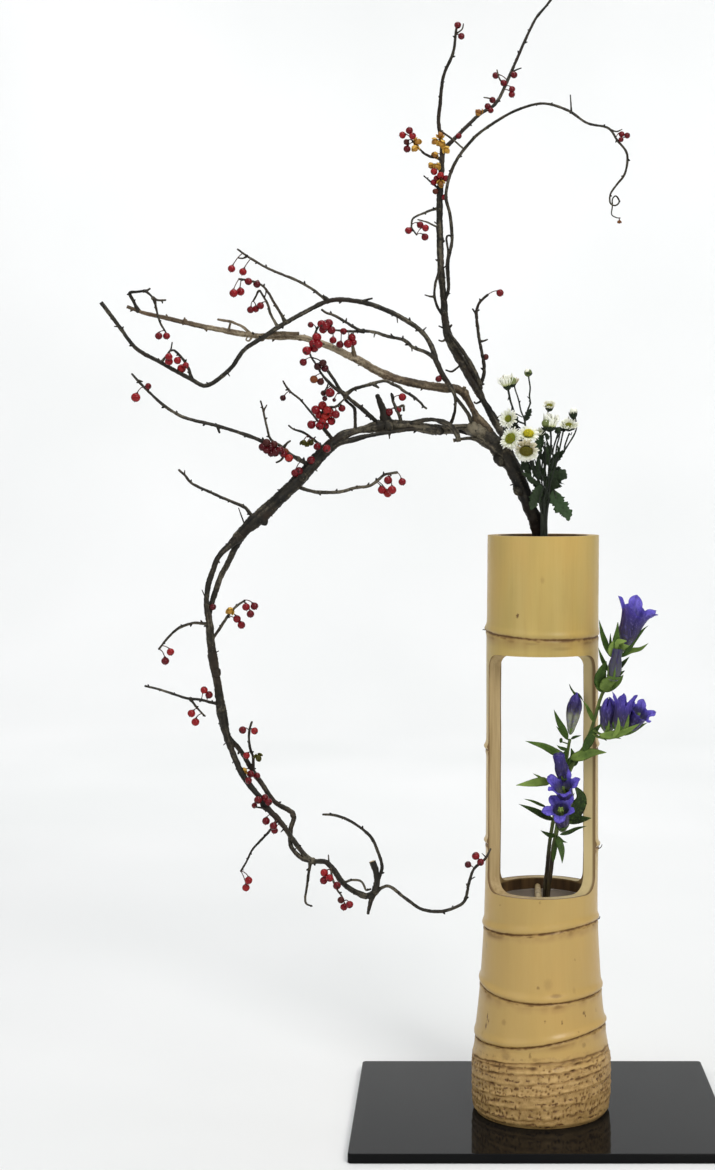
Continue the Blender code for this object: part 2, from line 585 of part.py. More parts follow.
def flower_head(name, spot, depth, radius, facing, colour):
    """A flower head as a shallow dome on its green cup; facing is its axis, outwards."""
    centre = at(*spot, depth)
    axis = Vector(facing).normalized()
    turn = Vector((0, 0, 1)).rotation_difference(axis)
    work = bmesh.new()
    bmesh.ops.create_uvsphere(work, u_segments=10, v_segments=5, radius=radius * MM)
    for vert in work.verts:
        vert.co.z *= 0.45 if vert.co.z > 0 else 0.62
        vert.co = turn @ vert.co + centre * MM
    mesh = bpy.data.meshes.new(name)
    work.to_mesh(mesh)
    work.free()
    return join(name, [mesh_object(name + "_dome", mesh)], colour, 0.7)


def chrysanthemums():
    stems = {
        "mum_stem_left": [
            (547, 600, -13, 1.5), (547, 537, -13, 1.5), (545.3, 500, -17, 1.5),
            (539, 482, -20, 1.4), (530, 462, -24, 1.3), (525.6, 436, -25, 1.2),
            (521.5, 412, -25, 1.0), (516.5, 396, -25, 0.9), (512.5, 388, -25, 0.8)],
        "mum_stem_middle": [
            (549.6, 600, -6, 1.5), (549.6, 537, -6, 1.5), (548.5, 500, -9, 1.4),
            (549, 470, -11, 1.3), (550.5, 450, -13, 1.2), (551, 436, -14, 1.1)],
        "mum_stem_right": [
            (549.0, 600, 1, 1.5), (549.3, 537, 1, 1.5), (550.5, 500, 3, 1.4),
            (556, 466, 4, 1.3), (562, 448, 1, 1.2), (567.5, 434, -5, 1.1)],
    }
    twigs = {
        "mum_stem_left": [[(523, 421), (528, 408), (530.6, 391), (528.6, 377)],
                          [(520, 406), (514, 409), (511, 402), (507.8, 390)]],
        "mum_stem_middle": [[(549, 462), (544, 447), (539.5, 437)],
                            [(550, 452), (556, 438), (560.5, 416)]],
        "mum_stem_right": [[(560, 453), (574, 430), (574.5, 416.5)]],
    }
    for name, rows in stems.items():
        line = route(rows)
        pieces = [tube(name + "_main", line, 0, 16)]
        fine = smooth(line, 2)
        for spots in twigs[name]:
            made = twig(fine, spots, 0.9, 0.7, 5.0 if name == "mum_stem_right" else -3.0, None)
            pieces.append(tube("twiglet", smooth(made, 10), 0))
            if spots[-1] in ((528.6, 377), (574.5, 416.5)):
                bud = 3.8 if spots[-1][0] < 550 else 4.4
                top = made[-1][0]
                pieces.append(ball("bud", top + Vector((0, 0, bud * 0.7)), bud, 1.0, 1))
        join(name, pieces, DARK_GREEN, 0.6)
    for name, spot, depth, radius, facing, colour in (
        ("mum_head_top", (508, 376), -27, 7.5, (-0.3, -0.1, 1), WHITE),
        ("mum_head_side", (508.3, 418.5), -32, 7.0, (-0.8, -0.4, 0.25), WHITE),
        ("mum_head_open", (511.5, 438), -42, 9.6, (-0.45, -0.9, 0.15), WHITE),
        ("mum_head_yellow", (528.7, 430), -36, 9.4, (0.0, -0.6, 0.75), WHITE),
        ("mum_head_cream", (525.5, 449.5), -50, 9.8, (-0.2, -0.95, -0.35), WHITE),
        ("mum_head_small", (549.7, 405.5), -20, 4.8, (0.1, -0.2, 1), WHITE),
        ("mum_head_white", (549.5, 423), -22, 7.6, (-0.2, -0.4, 0.9), WHITE),
        ("mum_head_right", (569.2, 424.5), -7, 6.4, (0.2, -0.3, 1), WHITE),
    ):
        flower_head(name, spot, depth, radius, facing, colour)
    join("mum_leaf_upper", [blade("leaf_a", [(553, 487), (560, 477), (569, 470)], 15, -12, -20)],
         DARK_GREEN, 0.6)
    join("mum_leaf_lower", [blade("leaf_b", [(553, 492), (561, 503), (569, 520)], 13, -12, -24)],
         DARK_GREEN, 0.6)
    join("mum_leaf_front", [blade("leaf_c", [(541, 486), (535, 498), (531, 509)], 11, -28, -32)],
         DARK_GREEN, 0.6)


chrysanthemums()


# ---------------------------------------------------------------- gentians
def corolla(name, base, mouth, base_depth, mouth_depth, wide, flare, colour=VIOLET):
    """A gentian flower as a closed trumpet from its base spot to its mouth spot."""
    start, end = at(*base, base_depth), at(*mouth, mouth_depth)
    run = end - start
    long = run.length
    profile = [(0.0, long - 1.5), (flare * 0.55, long), (flare, long - 1.0),
               (wide, long * 0.72), (wide * 0.9, long * 0.45), (wide * 0.5, long * 0.12),
               (0.9, 0.0), (0.0, 0.0)]
    shape = turned(name + "_turned", profile, 8, CUTTERS)
    turn = Vector((0, 0, 1)).rotation_difference(run.normalized())
    for vert in shape.data.vertices:
        vert.co = turn @ vert.co + start * MM
    return join(name, [shape], colour, 0.6)


def gentians():
    main = route([
        (547.5, 905, -8, 2.0), (548.8, 886, -9, 2.1), (551, 869, -12, 2.1), (553, 851, -16, 2.2),
        (556, 834, -20, 2.2), (561, 805, -24, 2.1), (568, 775, -30, 2.1), (577, 757, -34, 2.0),
        (586, 744, -38, 1.9), (594, 721, -44, 1.8), (601, 697, -50, 1.7), (609, 681, -54, 1.6),
        (616, 664, -57, 1.5), (622, 653, -60, 1.4)])
    line = smooth(main, 2)
    pieces = [tube("main", main, 1, 15)]
    for spots, width, depth, tip in (
        ([(569, 771), (585, 765), (607, 752)], 9, -30, -44),
        ([(589, 738), (595, 730), (602, 722)], 8, -40, -46),
        ([(603, 692), (600, 680), (597, 676)], 10, -52, -58),
        ([(617, 662), (607, 641), (599, 621)], 6, -58, -64),
        ([(620, 657), (634, 650), (648, 643)], 6, -60, -66),
        ([(605, 690), (615, 683), (625, 675)], 5, -54, -60),
        ([(555, 838), (558, 850), (562, 863)], 6, -22, -38),
    ):
        pieces.append(blade("leaf", spots, width, depth, tip))
        root = nearest(line, spots[0])[0]
        pieces.append(tube("petiole", [(root, 0.8), (at(*spots[0], depth), 0.8),
                                       (at(*spots[1], (depth + tip) / 2), 0.7)], 0))
    join("gentian_stem_right", pieces, GREEN, 0.6)

    low = route([
        (543.7, 905, -3, 1.9), (545, 886, -1, 1.9), (547, 869, 0, 1.9), (550, 840, -3, 1.9),
        (555, 812, -8, 1.9), (561, 786, -14, 1.8), (566, 762, -19, 1.7), (568.5, 747, -22, 1.6),
        (570, 741, -24, 1.5)])
    line = smooth(low, 2)
    pieces = [tube("low", low, 1, 15)]
    for spots, width, depth, tip in (
        ([(560, 790), (545, 766), (525.4, 741)], 7, -17, -50),
        ([(556, 808), (540, 800), (516, 786)], 8, -12, -44),
        ([(553, 822), (540, 813), (519, 805)], 6, -9, -40),
    ):
        pieces.append(blade("leaf", spots, width, depth, tip))
        root = nearest(line, spots[0])[0]
        pieces.append(tube("petiole", [(root, 0.8), (at(*spots[0], depth), 0.8),
                                       (at(*spots[1], (depth + tip) / 2), 0.7)], 0))
    join("gentian_stem_left", pieces, GREEN, 0.6)

    for name, base, mouth, d0, d1, wide, flare in (
        ("gentian_flower_top", (623.5, 647), (639, 608), -63, -74, 7.5, 15.0),
        ("gentian_bud_grey", (613, 676), (619, 650), -72, -76, 4.6, 3.0),
        ("gentian_flower_left", (607, 733), (607.5, 697), -62, -66, 6.6, 4.2),
        ("gentian_flower_middle", (619, 731), (623, 694), -74, -78, 6.8, 5.0),
        ("gentian_flower_right", (629, 729), (645, 706), -64, -76, 7.0, 12.5),
        ("gentian_flower_front", (566, 818), (560.5, 809), -36, -66, 6.5, 13.5),
        ("gentian_flower_low", (568, 800), (564.5, 784), -40, -64, 6.0, 12.5),
        ("gentian_bud_low", (567, 777), (555, 756), -42, -50, 4.4, 3.2),
        ("gentian_bud_left", (570.3, 737), (576.4, 694), -25, -30, 6.4, 3.6),
    ):
        corolla(name, base, mouth, d0, d1, wide, flare)


gentians()


# ---------------------------------------------------------------- kubari sticks and water
def fork(name, rows, prong_a, prong_b, thick):
    stick = [(Vector(p), thick) for p in rows]
    a = [(Vector(p), thick * 0.9) for p in prong_a]
    b = [(Vector(p), thick * 0.9) for p in prong_b]
    return join(name, [tube("leg", stick, 1), tube("prong_a", a, 1), tube("prong_b", b, 1)],
                STICK, 0.7)


join("lower_kubari", [tube("bar", [(Vector((-3.4, -43, 219.6)), 3.5), (Vector((-2.8, 0, 219.6)), 3.4),
                                  (Vector((-1.6, 43, 219.6)), 3.3)], 1)], STICK, 0.7)
fork("upper_kubari", [(0, 43, 560), (0, 18, 560)],
     [(0, 22, 560), (-13, 6, 560), (-30, -31, 560)],
     [(0, 22, 560), (16, 6, 560), (30, -31, 560)], 2.6)


def water(name, low, high, radius, stems):
    """A body of water that fills the cup and stands clear of the stems in it."""
    pool = turned(name, [(0.0, high), (radius, high), (radius, low + 9), (radius - 5.5, low),
                         (0.0, low)] if low < 300 else
                  [(0.0, high), (radius, high), (radius, low), (0.0, low)], 30, PARTS)
    for i, rows in enumerate(stems):
        hole = tube(name + "_hole_%d" % i, rows, 1)
        hole.hide_render = True
        hole.display_type = "WIRE"
        cut = pool.modifiers.new(hole.name, "BOOLEAN")
        cut.operation = "DIFFERENCE"
        cut.object = hole
        cut.solver = "EXACT"
    pool.data.shade_smooth()
    paint(pool, WATER, 0.05)


water("lower_water", LOWER_FLOOR + GAP, LOWER_WATER, 44.5, [
    [(at(547.3, 908, -8), 2.9), (at(548.9, 883, -9), 2.9)],
    [(at(543.5, 908, -3), 2.7), (at(545.2, 883, -1), 2.7)]])
water("upper_water", UPPER_FLOOR + GAP, UPPER_WATER, 43.6, [
    [(at(540, 618, 4), 8.8), (at(539, 565, 1.4), 8.8)],
    [(at(547, 606, -13), 2.3), (at(547, 560, -13), 2.3)],
    [(at(549.6, 606, -6), 2.3), (at(549.6, 560, -6), 2.3)],
    [(at(549.0, 606, 1), 2.3), (at(549.3, 560, 1), 2.3)]])
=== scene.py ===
"""The looks of the ikebana arrangement: a bamboo vase with two cups on a black lacquered board,
bittersweet vines with berries, spray chrysanthemums and gentians.

Lengths are millimetres until a mesh is built. Routes are written as on the part's layout sheet:
x to the right, y down, depth towards (-) or away from (+) the viewer; at() gives the point.
"""

import math

import bpy
import numpy as np
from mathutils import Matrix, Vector


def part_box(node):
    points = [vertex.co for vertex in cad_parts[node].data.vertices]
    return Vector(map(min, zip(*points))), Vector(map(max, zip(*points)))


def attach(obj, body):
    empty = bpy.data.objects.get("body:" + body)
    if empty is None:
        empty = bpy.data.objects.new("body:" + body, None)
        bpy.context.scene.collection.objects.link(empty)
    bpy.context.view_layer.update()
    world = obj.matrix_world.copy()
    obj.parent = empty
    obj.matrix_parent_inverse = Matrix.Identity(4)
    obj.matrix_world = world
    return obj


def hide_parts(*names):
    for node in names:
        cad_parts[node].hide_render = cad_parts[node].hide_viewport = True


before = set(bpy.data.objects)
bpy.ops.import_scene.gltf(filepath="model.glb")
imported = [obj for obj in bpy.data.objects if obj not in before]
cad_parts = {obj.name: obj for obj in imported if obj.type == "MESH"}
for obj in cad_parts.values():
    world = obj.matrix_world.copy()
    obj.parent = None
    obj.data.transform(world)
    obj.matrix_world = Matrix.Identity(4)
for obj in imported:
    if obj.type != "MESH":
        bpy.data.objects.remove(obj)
MM = 0.001
EYE = np.array([-83.0, -1850.0, 632.0])
SHEET_X, SHEET_Y = 541.0, 1113.0


def at(x, y, depth=0.0):
    s = (depth + 1850.0) / 1850.0
    return np.array([EYE[0] + (x - SHEET_X - EYE[0]) * s, depth, EYE[2] + (SHEET_Y - y - EYE[2]) * s])


def unit(v):
    v = np.asarray(v, float)
    n = np.linalg.norm(v, axis=-1, keepdims=True)
    return v / np.where(n < 1e-12, 1.0, n)


# ================================================================ noise
LATTICE = np.random.default_rng(11).random((32, 32, 32))


def vnoise(p, scale, seed=0):
    """Smooth noise, 0 to 1, at points p (N x 3, mm), with lumps of about that scale."""
    q = np.asarray(p, float) / scale + seed * 7.31
    i = np.floor(q).astype(int)
    f = q - i
    f = f * f * (3 - 2 * f)
    out = 0.0
    for dx in (0, 1):
        for dy in (0, 1):
            for dz in (0, 1):
                w = ((f[..., 0] if dx else 1 - f[..., 0]) * (f[..., 1] if dy else 1 - f[..., 1])
                     * (f[..., 2] if dz else 1 - f[..., 2]))
                out = out + w * LATTICE[(i[..., 0] + dx) % 32, (i[..., 1] + dy) % 32, (i[..., 2] + dz) % 32]
    return out


def fbm(p, scale, seed=0, octaves=3):
    total, amp, out = 0.0, 1.0, 0.0
    for k in range(octaves):
        out = out + amp * (vnoise(p, scale / 2 ** k, seed + k * 3.7) - 0.5)
        total += amp
        amp *= 0.5
    return out / total * 2


# ================================================================ mesh pools
def grid_quads(rows, cols, wrap):
    r = np.arange(rows - 1)[:, None]
    c = np.arange(cols if wrap else cols - 1)[None, :]
    a = r * cols + c
    b = r * cols + (c + 1) % cols
    return np.stack([a, b, b + cols, a + cols], -1).reshape(-1, 4)


class Pool:
    """Many small surfaces gathered into one mesh. tone and along are numbers for the finish."""

    def __init__(self):
        self.v, self.q, self.t, self.tone, self.along, self.qm, self.tm = [], [], [], [], [], [], []
        self.n = 0

    def add(self, verts, quads=None, tris=None, tone=0.5, along=0.5, mat=0):
        verts = np.asarray(verts, float).reshape(-1, 3)
        n = len(verts)
        self.v.append(verts)
        self.tone.append(np.broadcast_to(np.asarray(tone, float), (n,)))
        self.along.append(np.broadcast_to(np.asarray(along, float), (n,)))
        if quads is not None and len(quads):
            self.q.append(np.asarray(quads, int) + self.n)
            self.qm.append(np.full(len(quads), mat))
        if tris is not None and len(tris):
            self.t.append(np.asarray(tris, int) + self.n)
            self.tm.append(np.full(len(tris), mat))
        self.n += n

    def loft(self, sections, caps=(True, True), tone=0.5, along=None, mat=0):
        """A closed body from rings of points (R x K x 3), each ring anticlockwise about the run."""
        sections = np.asarray(sections, float)
        rows, cols = sections.shape[:2]
        verts = sections.reshape(-1, 3)
        if along is None:
            along = np.linspace(0, 1, rows)
        along = np.asarray(along, float)
        if along.ndim == 0:
            along = np.full(rows * cols, float(along))
        elif along.ndim == 1:
            along = np.repeat(along, cols)
        else:
            along = along.reshape(-1)
        tone = np.asarray(tone, float)
        if tone.ndim == 0:
            tone = np.full(rows * cols, float(tone))
        elif tone.size == rows:
            tone = np.repeat(tone, cols)
        else:
            tone = tone.reshape(-1)
        quads = grid_quads(rows, cols, True)
        tris = []
        extra, extra_t, extra_a = [], [], []
        j = np.arange(cols)
        k = (j + 1) % cols
        if caps[0]:
            c = rows * cols + len(extra)
            extra.append(sections[0].mean(0))
            extra_t.append(tone[:cols].mean())
            extra_a.append(along[:cols].mean())
            tris.append(np.stack([np.full(cols, c), k, j], -1))
        if caps[1]:
            c = rows * cols + len(extra)
            extra.append(sections[-1].mean(0))
            extra_t.append(tone[-cols:].mean())
            extra_a.append(along[-cols:].mean())
            last = (rows - 1) * cols
            tris.append(np.stack([np.full(cols, c), last + j, last + k], -1))
        if extra:
            verts = np.vstack([verts, extra])
            tone = np.append(tone, extra_t)
            along = np.append(along, extra_a)
        self.add(verts, quads, np.vstack(tris) if tris else None, tone, along, mat)

    def piece(self, name, materials, node=None, slot=None, sharp=None):
        mesh = bpy.data.meshes.new(name)
        verts = np.concatenate(self.v) * MM
        quads = np.concatenate(self.q) if self.q else np.zeros((0, 4), int)
        tris = np.concatenate(self.t) if self.t else np.zeros((0, 3), int)
        mesh.vertices.add(len(verts))
        mesh.vertices.foreach_set("co", verts.ravel())
        loops = np.concatenate([quads.ravel(), tris.ravel()])
        starts = np.concatenate([np.arange(len(quads)) * 4, len(quads) * 4 + np.arange(len(tris)) * 3])
        mesh.loops.add(len(loops))
        mesh.loops.foreach_set("vertex_index", loops)
        mesh.polygons.add(len(starts))
        mesh.polygons.foreach_set("loop_start", starts)
        mats = np.concatenate(self.qm + self.tm)
        mesh.polygons.foreach_set("material_index", mats.astype(np.int32))
        mesh.update(calc_edges=True)
        for label, rows in (("tone", self.tone), ("along", self.along)):
            layer = mesh.attributes.new(label, "FLOAT", "POINT")
            layer.data.foreach_set("value", np.concatenate(rows).astype(np.float32))
        mesh.shade_smooth()
        if sharp is not None:
            mesh.set_sharp_from_angle(angle=math.radians(sharp))
        return place(name, mesh, materials, node)


def place(name, mesh, materials, node=None):
    obj = bpy.data.objects.new(name, mesh)
    bpy.context.scene.collection.objects.link(obj)
    for m in (materials if isinstance(materials, (list, tuple)) else [materials]):
        mesh.materials.append(m)
    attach(obj, "root")
    if node:
        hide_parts(*([node] if isinstance(node, str) else node))
    return obj


# ================================================================ lines and sections
def route(rows):
    """(sheet x, sheet y, depth, radius) rows as an N x 4 array of points and radii."""
    return np.array([[*at(x, y, d), r] for x, y, d, r in rows])


def smooth(line, spacing):
    """A Catmull-Rom curve through the rows of line, a point about every spacing."""
    line = np.asarray(line, float)
    out = []
    for i in range(len(line) - 1):
        p0, p1 = line[max(i - 1, 0)], line[i]
        p2, p3 = line[i + 1], line[min(i + 2, len(line) - 1)]
        steps = max(1, int(round(np.linalg.norm((p2 - p1)[:3]) / spacing)))
        t = (np.arange(steps) / steps)[:, None]
        p = ((-0.5 * t**3 + t * t - 0.5 * t) * p0 + (1.5 * t**3 - 2.5 * t * t + 1) * p1
             + (-1.5 * t**3 + 2 * t * t + 0.5 * t) * p2 + (0.5 * t**3 - 0.5 * t * t) * p3)
        out.append(p)
    out.append(line[-1:])
    return np.vstack(out)


def frames(points, hint=(0.13, -1.0, 0.21)):
    """Tangents and two steady cross directions (n, b = t x n) along points."""
    t = np.gradient(points, axis=0)
    t = unit(t)
    n = np.zeros_like(points)
    first = np.asarray(hint, float)
    first = first - t[0] * first.dot(t[0])
    if np.linalg.norm(first) < 0.1:
        first = np.cross(t[0], [0.3, 0.4, 0.86])
    n[0] = unit(first)
    for i in range(1, len(points)):
        v = n[i - 1] - t[i] * n[i - 1].dot(t[i])
        n[i] = v / max(np.linalg.norm(v), 1e-9)
    return t, n, np.cross(t, n)


def cane(pool, line, sides=12, spacing=1.6, rough=0.06, ridges=0.05, seed=0, tone=0.5,
         start="cut", end="cut", flare=0.0, lump=0.05, mat=0, cut_mat=None, wander=0.0):
    """A woody stem: an uneven tube with bark ridges. Ends: cut flat with an eased edge, round,
    or point. flare widens the first few millimetres where it springs from its parent."""
    fine = smooth(line, spacing)
    p, r = fine[:, :3].copy(), np.maximum(fine[:, 3], 0.15)
    if wander:
        p += wander * np.stack([fbm(p, 9.0, seed + 1), fbm(p, 9.0, seed + 2), fbm(p, 9.0, seed + 3)], -1) \
            * np.minimum(1, np.arange(len(p)) / 4)[:, None]
    run = np.concatenate([[0], np.cumsum(np.linalg.norm(np.diff(p, axis=0), axis=1))])
    t, n, b = frames(p)
    if flare:
        r = r * (1 + flare * np.exp(-(run / (2.2 * r[0] + 0.5)) ** 2))
    a = np.arange(sides) / sides * 2 * math.pi
    ring = np.cos(a)[None, :, None] * n[:, None, :] + np.sin(a)[None, :, None] * b[:, None, :]
    base = p[:, None, :] + ring * r[:, None, None]
    big = fbm(base, 7.0, seed) * lump * 2
    small = fbm(base, 2.2, seed + 5, 2) * rough * 2
    phase = seed * 1.7
    slow = np.sin(run / 23.0 + phase)
    m1, m2 = 5 + seed % 3, 9 + seed % 4
    along_ridge = (np.sin(m1 * a[None, :] + run[:, None] * 0.03 + phase)
                   + 0.7 * np.sin(m2 * a[None, :] - run[:, None] * 0.05 + 2 * phase + slow[:, None]))
    scale = 1 + big + small + ridges * along_ridge
    sec = p[:, None, :] + ring * (r[:, None] * scale)[:, :, None]
    al = run / max(run[-1], 1e-6)
    tn = np.interp(np.linspace(0, 1, sec.shape[0]), np.linspace(0, 1, np.size(tone)), np.atleast_1d(tone))[:, None] * np.ones(sec.shape[:2]) + 0.5 * along_ridge * 0.15
    tone = float(np.mean(tone))
    rings, als, tns = [], [], []
    for kind, i, step in ((start, 0, -1), (end, -1, 1)):
        extra, ea = [], []
        q, tt, rr = p[i], t[i] * step, r[i]
        shape = sec[i] - q
        if kind == "round":
            for w in (0.45, 0.8, 0.97):
                extra.append(q + tt * rr * w * 0.9 + shape * math.sqrt(max(0, 1 - w * w)))
        elif kind == "cut":
            extra.append(q + tt * min(0.25, rr * 0.12) + shape * 0.9)
        elif kind == "point":
            for w in (0.6, 1.3, 2.0):
                extra.append(q + tt * rr * w + shape * (1 - w / 2.15))
        rings.append(extra)
    sections = np.array(list(reversed(rings[0])) + list(sec) + rings[1])
    als = np.concatenate([[0] * len(rings[0]), al, [1] * len(rings[1])])
    tns = np.vstack([[tn[0]] * len(rings[0])] * (1 if rings[0] else 0) + [tn]
                    + [[tn[-1]] * len(rings[1])] * (1 if rings[1] else 0)) if (rings[0] or rings[1]) else tn
    if cut_mat is None:
        pool.loft(sections, (True, True), tns, als, mat)
    else:
        pool.loft(sections, (start != "cut", end != "cut"), tns, als, mat)
        for kind, ringp, sign in ((start, sections[0], -1), (end, sections[-1], 1)):
            if kind != "cut":
                continue
            c = ringp.mean(0)
            j = np.arange(sides)
            k = (j + 1) % sides
            inner = c + (ringp - c) * 0.55
            verts = np.vstack([ringp, inner, [c]])
            if sign > 0:
                quads = np.stack([j, k, k + sides, j + sides], -1)
                tris = np.stack([np.full(sides, 2 * sides), j + sides, k + sides], -1)
            else:
                quads = np.stack([k, j, j + sides, k + sides], -1)
                tris = np.stack([np.full(sides, 2 * sides), k + sides, j + sides], -1)
            pool.add(verts, quads, tris, tone, 0.5, cut_mat)
    return fine


def nearest(line, spot):
    """Where the sheet's spot falls on a cane: its point and radius there."""
    aim = unit(at(*spot, 0.0) - EYE)
    sight = line[:, :3] - EYE
    off = np.linalg.norm(sight - aim * (sight @ aim)[:, None], axis=1)
    i = int(off.argmin())
    return line[i, :3], line[i, 3]


def twig_line(line, spots, start, end, lean):
    """A twig's rows: it springs from inside the cane line where its first spot lies."""
    root, thick = nearest(line, spots[0])
    total = len(spots) - 1
    rows = [[*at(x, y, root[1] + lean * i / total), start + (end - start) * i / total]
            for i, (x, y) in enumerate(spots)]
    rows[0][:3] = root
    return np.array(rows)


def blade(pool, spine, widths, thick=0.45, camber=0.0, fold=0.0, up=(0, -1, 0), cols=5, twist=0.0,
          tone=0.5, along=None, mat=0, ribs=None, wave=0.0, seed=0, edge=0.25):
    """A thin closed leaf or petal along spine (N x 3), with its half widths. up is the way its
    upper face looks. camber bows it across, fold makes a V at the midrib, ribs raises veins."""
    spine = np.asarray(spine, float)
    w = np.asarray(widths, float)
    t = unit(np.gradient(spine, axis=0))
    up = np.broadcast_to(np.asarray(up, float), spine.shape)
    side = unit(np.cross(t, up))
    nrm = np.cross(side, t)
    u = np.linspace(-1, 1, cols)
    if twist:
        ang = twist * np.linspace(0, 1, len(spine))[:, None]
        side, nrm = side * np.cos(ang) + nrm * np.sin(ang), nrm * np.cos(ang) - side * np.sin(ang)
    run = np.linspace(0, 1, len(spine))
    lift = (camber * (u[None, :] ** 2) + fold * np.abs(u)[None, :]) * w[:, None]
    if wave:
        lift = lift + wave * np.sin(run[:, None] * 17 + seed + 2.2 * u[None, :]) * (u[None, :] ** 2) * w[:, None]
    rib = 0.0 if ribs is None else ribs(u)[None, :] * np.minimum(1.0, w / max(w.max(), 1e-6))[:, None]
    half = thick / 2 * np.maximum(edge, np.sqrt(np.maximum(0, 1 - u ** 2)))[None, :] * np.ones((len(spine), 1))
    taper = np.clip(w / (0.35 * max(w.max(), 1e-6)), 0.25, 1.0)[:, None]
    half = half * taper
    mid = spine[:, None, :] + side[:, None, :] * (u[None, :] * w[:, None])[:, :, None] + nrm[:, None, :] * lift[:, :, None]
    top = mid + nrm[:, None, :] * (half + rib)[:, :, None]
    low = mid - nrm[:, None, :] * (half - rib * 0.6)[:, :, None]
    sections = np.concatenate([top[:, ::-1], low[:, 1:-1]], axis=1)
    if np.ndim(along) == 1:
        along = np.asarray(along)
    pool.loft(sections, (True, True), tone, along, mat)


def dome_grid(rows, cols):
    th = np.linspace(0, math.pi, rows + 2)[1:-1]
    ph = np.arange(cols) / cols * 2 * math.pi
    return th, ph


def turn_to(axis, hint=(0.0, -1.0, 0.35)):
    """Three directions with the third along axis."""
    a = unit(axis)
    h = np.asarray(hint, float)
    h = h - a * h.dot(a)
    if np.linalg.norm(h) < 0.05:
        h = np.cross(a, [1.0, 0.2, 0.1])
    x = unit(h)
    return x, np.cross(a, x), a


def berry(pool, centre, radius, axis, tone, rng, rows=11, cols=18, mat=0):
    """A round fruit, faintly three-lobed, with a dimple at its stem and a blunt far end."""
    x, y, a = turn_to(axis)
    th, ph = dome_grid(rows, cols)
    turn = rng.random() * 6.28
    lobes = 1 + 0.028 * np.cos(3 * (ph[None, :] + turn)) * np.sin(th)[:, None] ** 2
    body = radius * lobes * (1 - 0.05 * np.exp(-((math.pi - th) / 0.45) ** 2)[:, None]
                             - 0.03 * np.exp(-(th / 0.4) ** 2)[:, None])
    squash = 1 - 0.05 * rng.random()
    d = (np.sin(th)[:, None, None] * (np.cos(ph)[None, :, None] * x + np.sin(ph)[None, :, None] * y)
         + (np.cos(th) * squash)[:, None, None] * a)
    sec = centre + d * body[:, :, None]
    sec = sec[::-1]  # from the stem end to the far end
    pool.loft(sec, (True, True), tone, np.linspace(0, 1, len(sec)), mat)


def calyx_cup(pool, spot, radius, axis, mat=0, tone=0.4, lobes=5):
    """The small dry cup of sepals where a fruit meets its stalk."""
    x, y, a = turn_to(axis)
    ph = np.arange(lobes * 2) / (lobes * 2) * 2 * math.pi
    tips = np.where(np.arange(lobes * 2) % 2 == 0, 1.0, 0.45)
    rings = []
    for back, wide, reach in ((0.0, 0.30, 0.0), (0.22, 0.5, 0.2), (0.42, 0.74, 0.75), (0.34, 0.60, 0.7)):
        rings.append(spot + a * (radius * (back * 0.9 - 0.34)) + radius * wide
                     * (1 - reach * 0.35 * (1 - tips))[:, None]
                     * (np.cos(ph)[:, None] * x + np.sin(ph)[:, None] * y) * 1.0
                     + a * (radius * 0.16 * reach * (tips - 0.45))[:, None])
    pool.loft(np.array(rings), (True, True), tone, None, mat)


def husk_valve(pool, centre, radius, axis, spin, opening, tone, mat=0):
    """One of the three curved valves of a split husk, hinged at the stem end."""
    x, y, a = turn_to(axis)
    rows, cols = 7, 7
    v = np.linspace(0.05, 1.0, rows)
    u = np.linspace(-1, 1, cols)
    th = math.pi - v * 2.15
    wide = 1.02 * np.sin(math.pi * np.clip(v * 0.86 + 0.12, 0, 1)) ** 0.8
    ph = spin + u[None, :] * wide[:, None]
    out = radius * 1.16
    pts = (np.sin(th)[:, None, None] * (np.cos(ph)[:, :, None] * x + np.sin(ph)[:, :, None] * y)
           + np.cos(th)[:, None, None] * a) * out
    # swing outwards about the hinge at the stem end
    hinge = -a * out
    away = math.cos(spin) * x + math.sin(spin) * y
    cross = unit(np.cross(a, away))
    rel = pts - hinge
    c, s = math.cos(opening), math.sin(opening)
    rel = rel * c + np.cross(cross, rel) * s + cross * (rel @ cross)[..., None] * (1 - c)
    mid = centre + hinge + rel
    du = np.gradient(mid, axis=1)
    dv = np.gradient(mid, axis=0)
    nrm = unit(np.cross(du, dv))
    thick = radius * 0.075
    top, low = mid + nrm * thick, mid - nrm * thick
    top[:, 0] = low[:, 0] = mid[:, 0]
    top[:, -1] = low[:, -1] = mid[:, -1]
    sec = np.concatenate([top, low[:, ::-1][:, 1:-1]], axis=1)
    test = np.cross(sec[0, 1] - sec[0, 0], sec[1, 0] - sec[0, 0])
    if test.dot(nrm[0, 1]) < 0:
        sec = sec[:, ::-1]
    pool.loft(sec, (True, True), tone, None, mat)


# ================================================================ materials
def material(name, base, roughness, **sockets):
    made = bpy.data.materials.new(name)
    made.use_nodes = True
    shader = made.node_tree.nodes["Principled BSDF"]
    shader.inputs["Base Color"].default_value = (*base, 1.0)
    shader.inputs["Roughness"].default_value = roughness
    for key, value in sockets.items():
        shader.inputs[key.replace("_", " ")].default_value = value
    return made, made.node_tree, shader


def srgb(r, g, b):
    return tuple(((c / 255 + 0.055) / 1.055) ** 2.4 if c > 10 else c / 255 / 12.92 for c in (r, g, b))


def node(tree, kind, inputs=None, **fields):
    made = tree.nodes.new(kind)
    for key, value in fields.items():
        setattr(made, key, value)
    for key, value in (inputs or {}).items():
        if isinstance(value, bpy.types.NodeSocket):
            tree.links.new(value, made.inputs[key])
        else:
            made.inputs[key].default_value = value
    return made


def position(tree, scale=(1, 1, 1)):
    geo = node(tree, "ShaderNodeTexCoord")
    return node(tree, "ShaderNodeMapping", {"Vector": geo.outputs["Object"], "Scale": scale}).outputs[0]


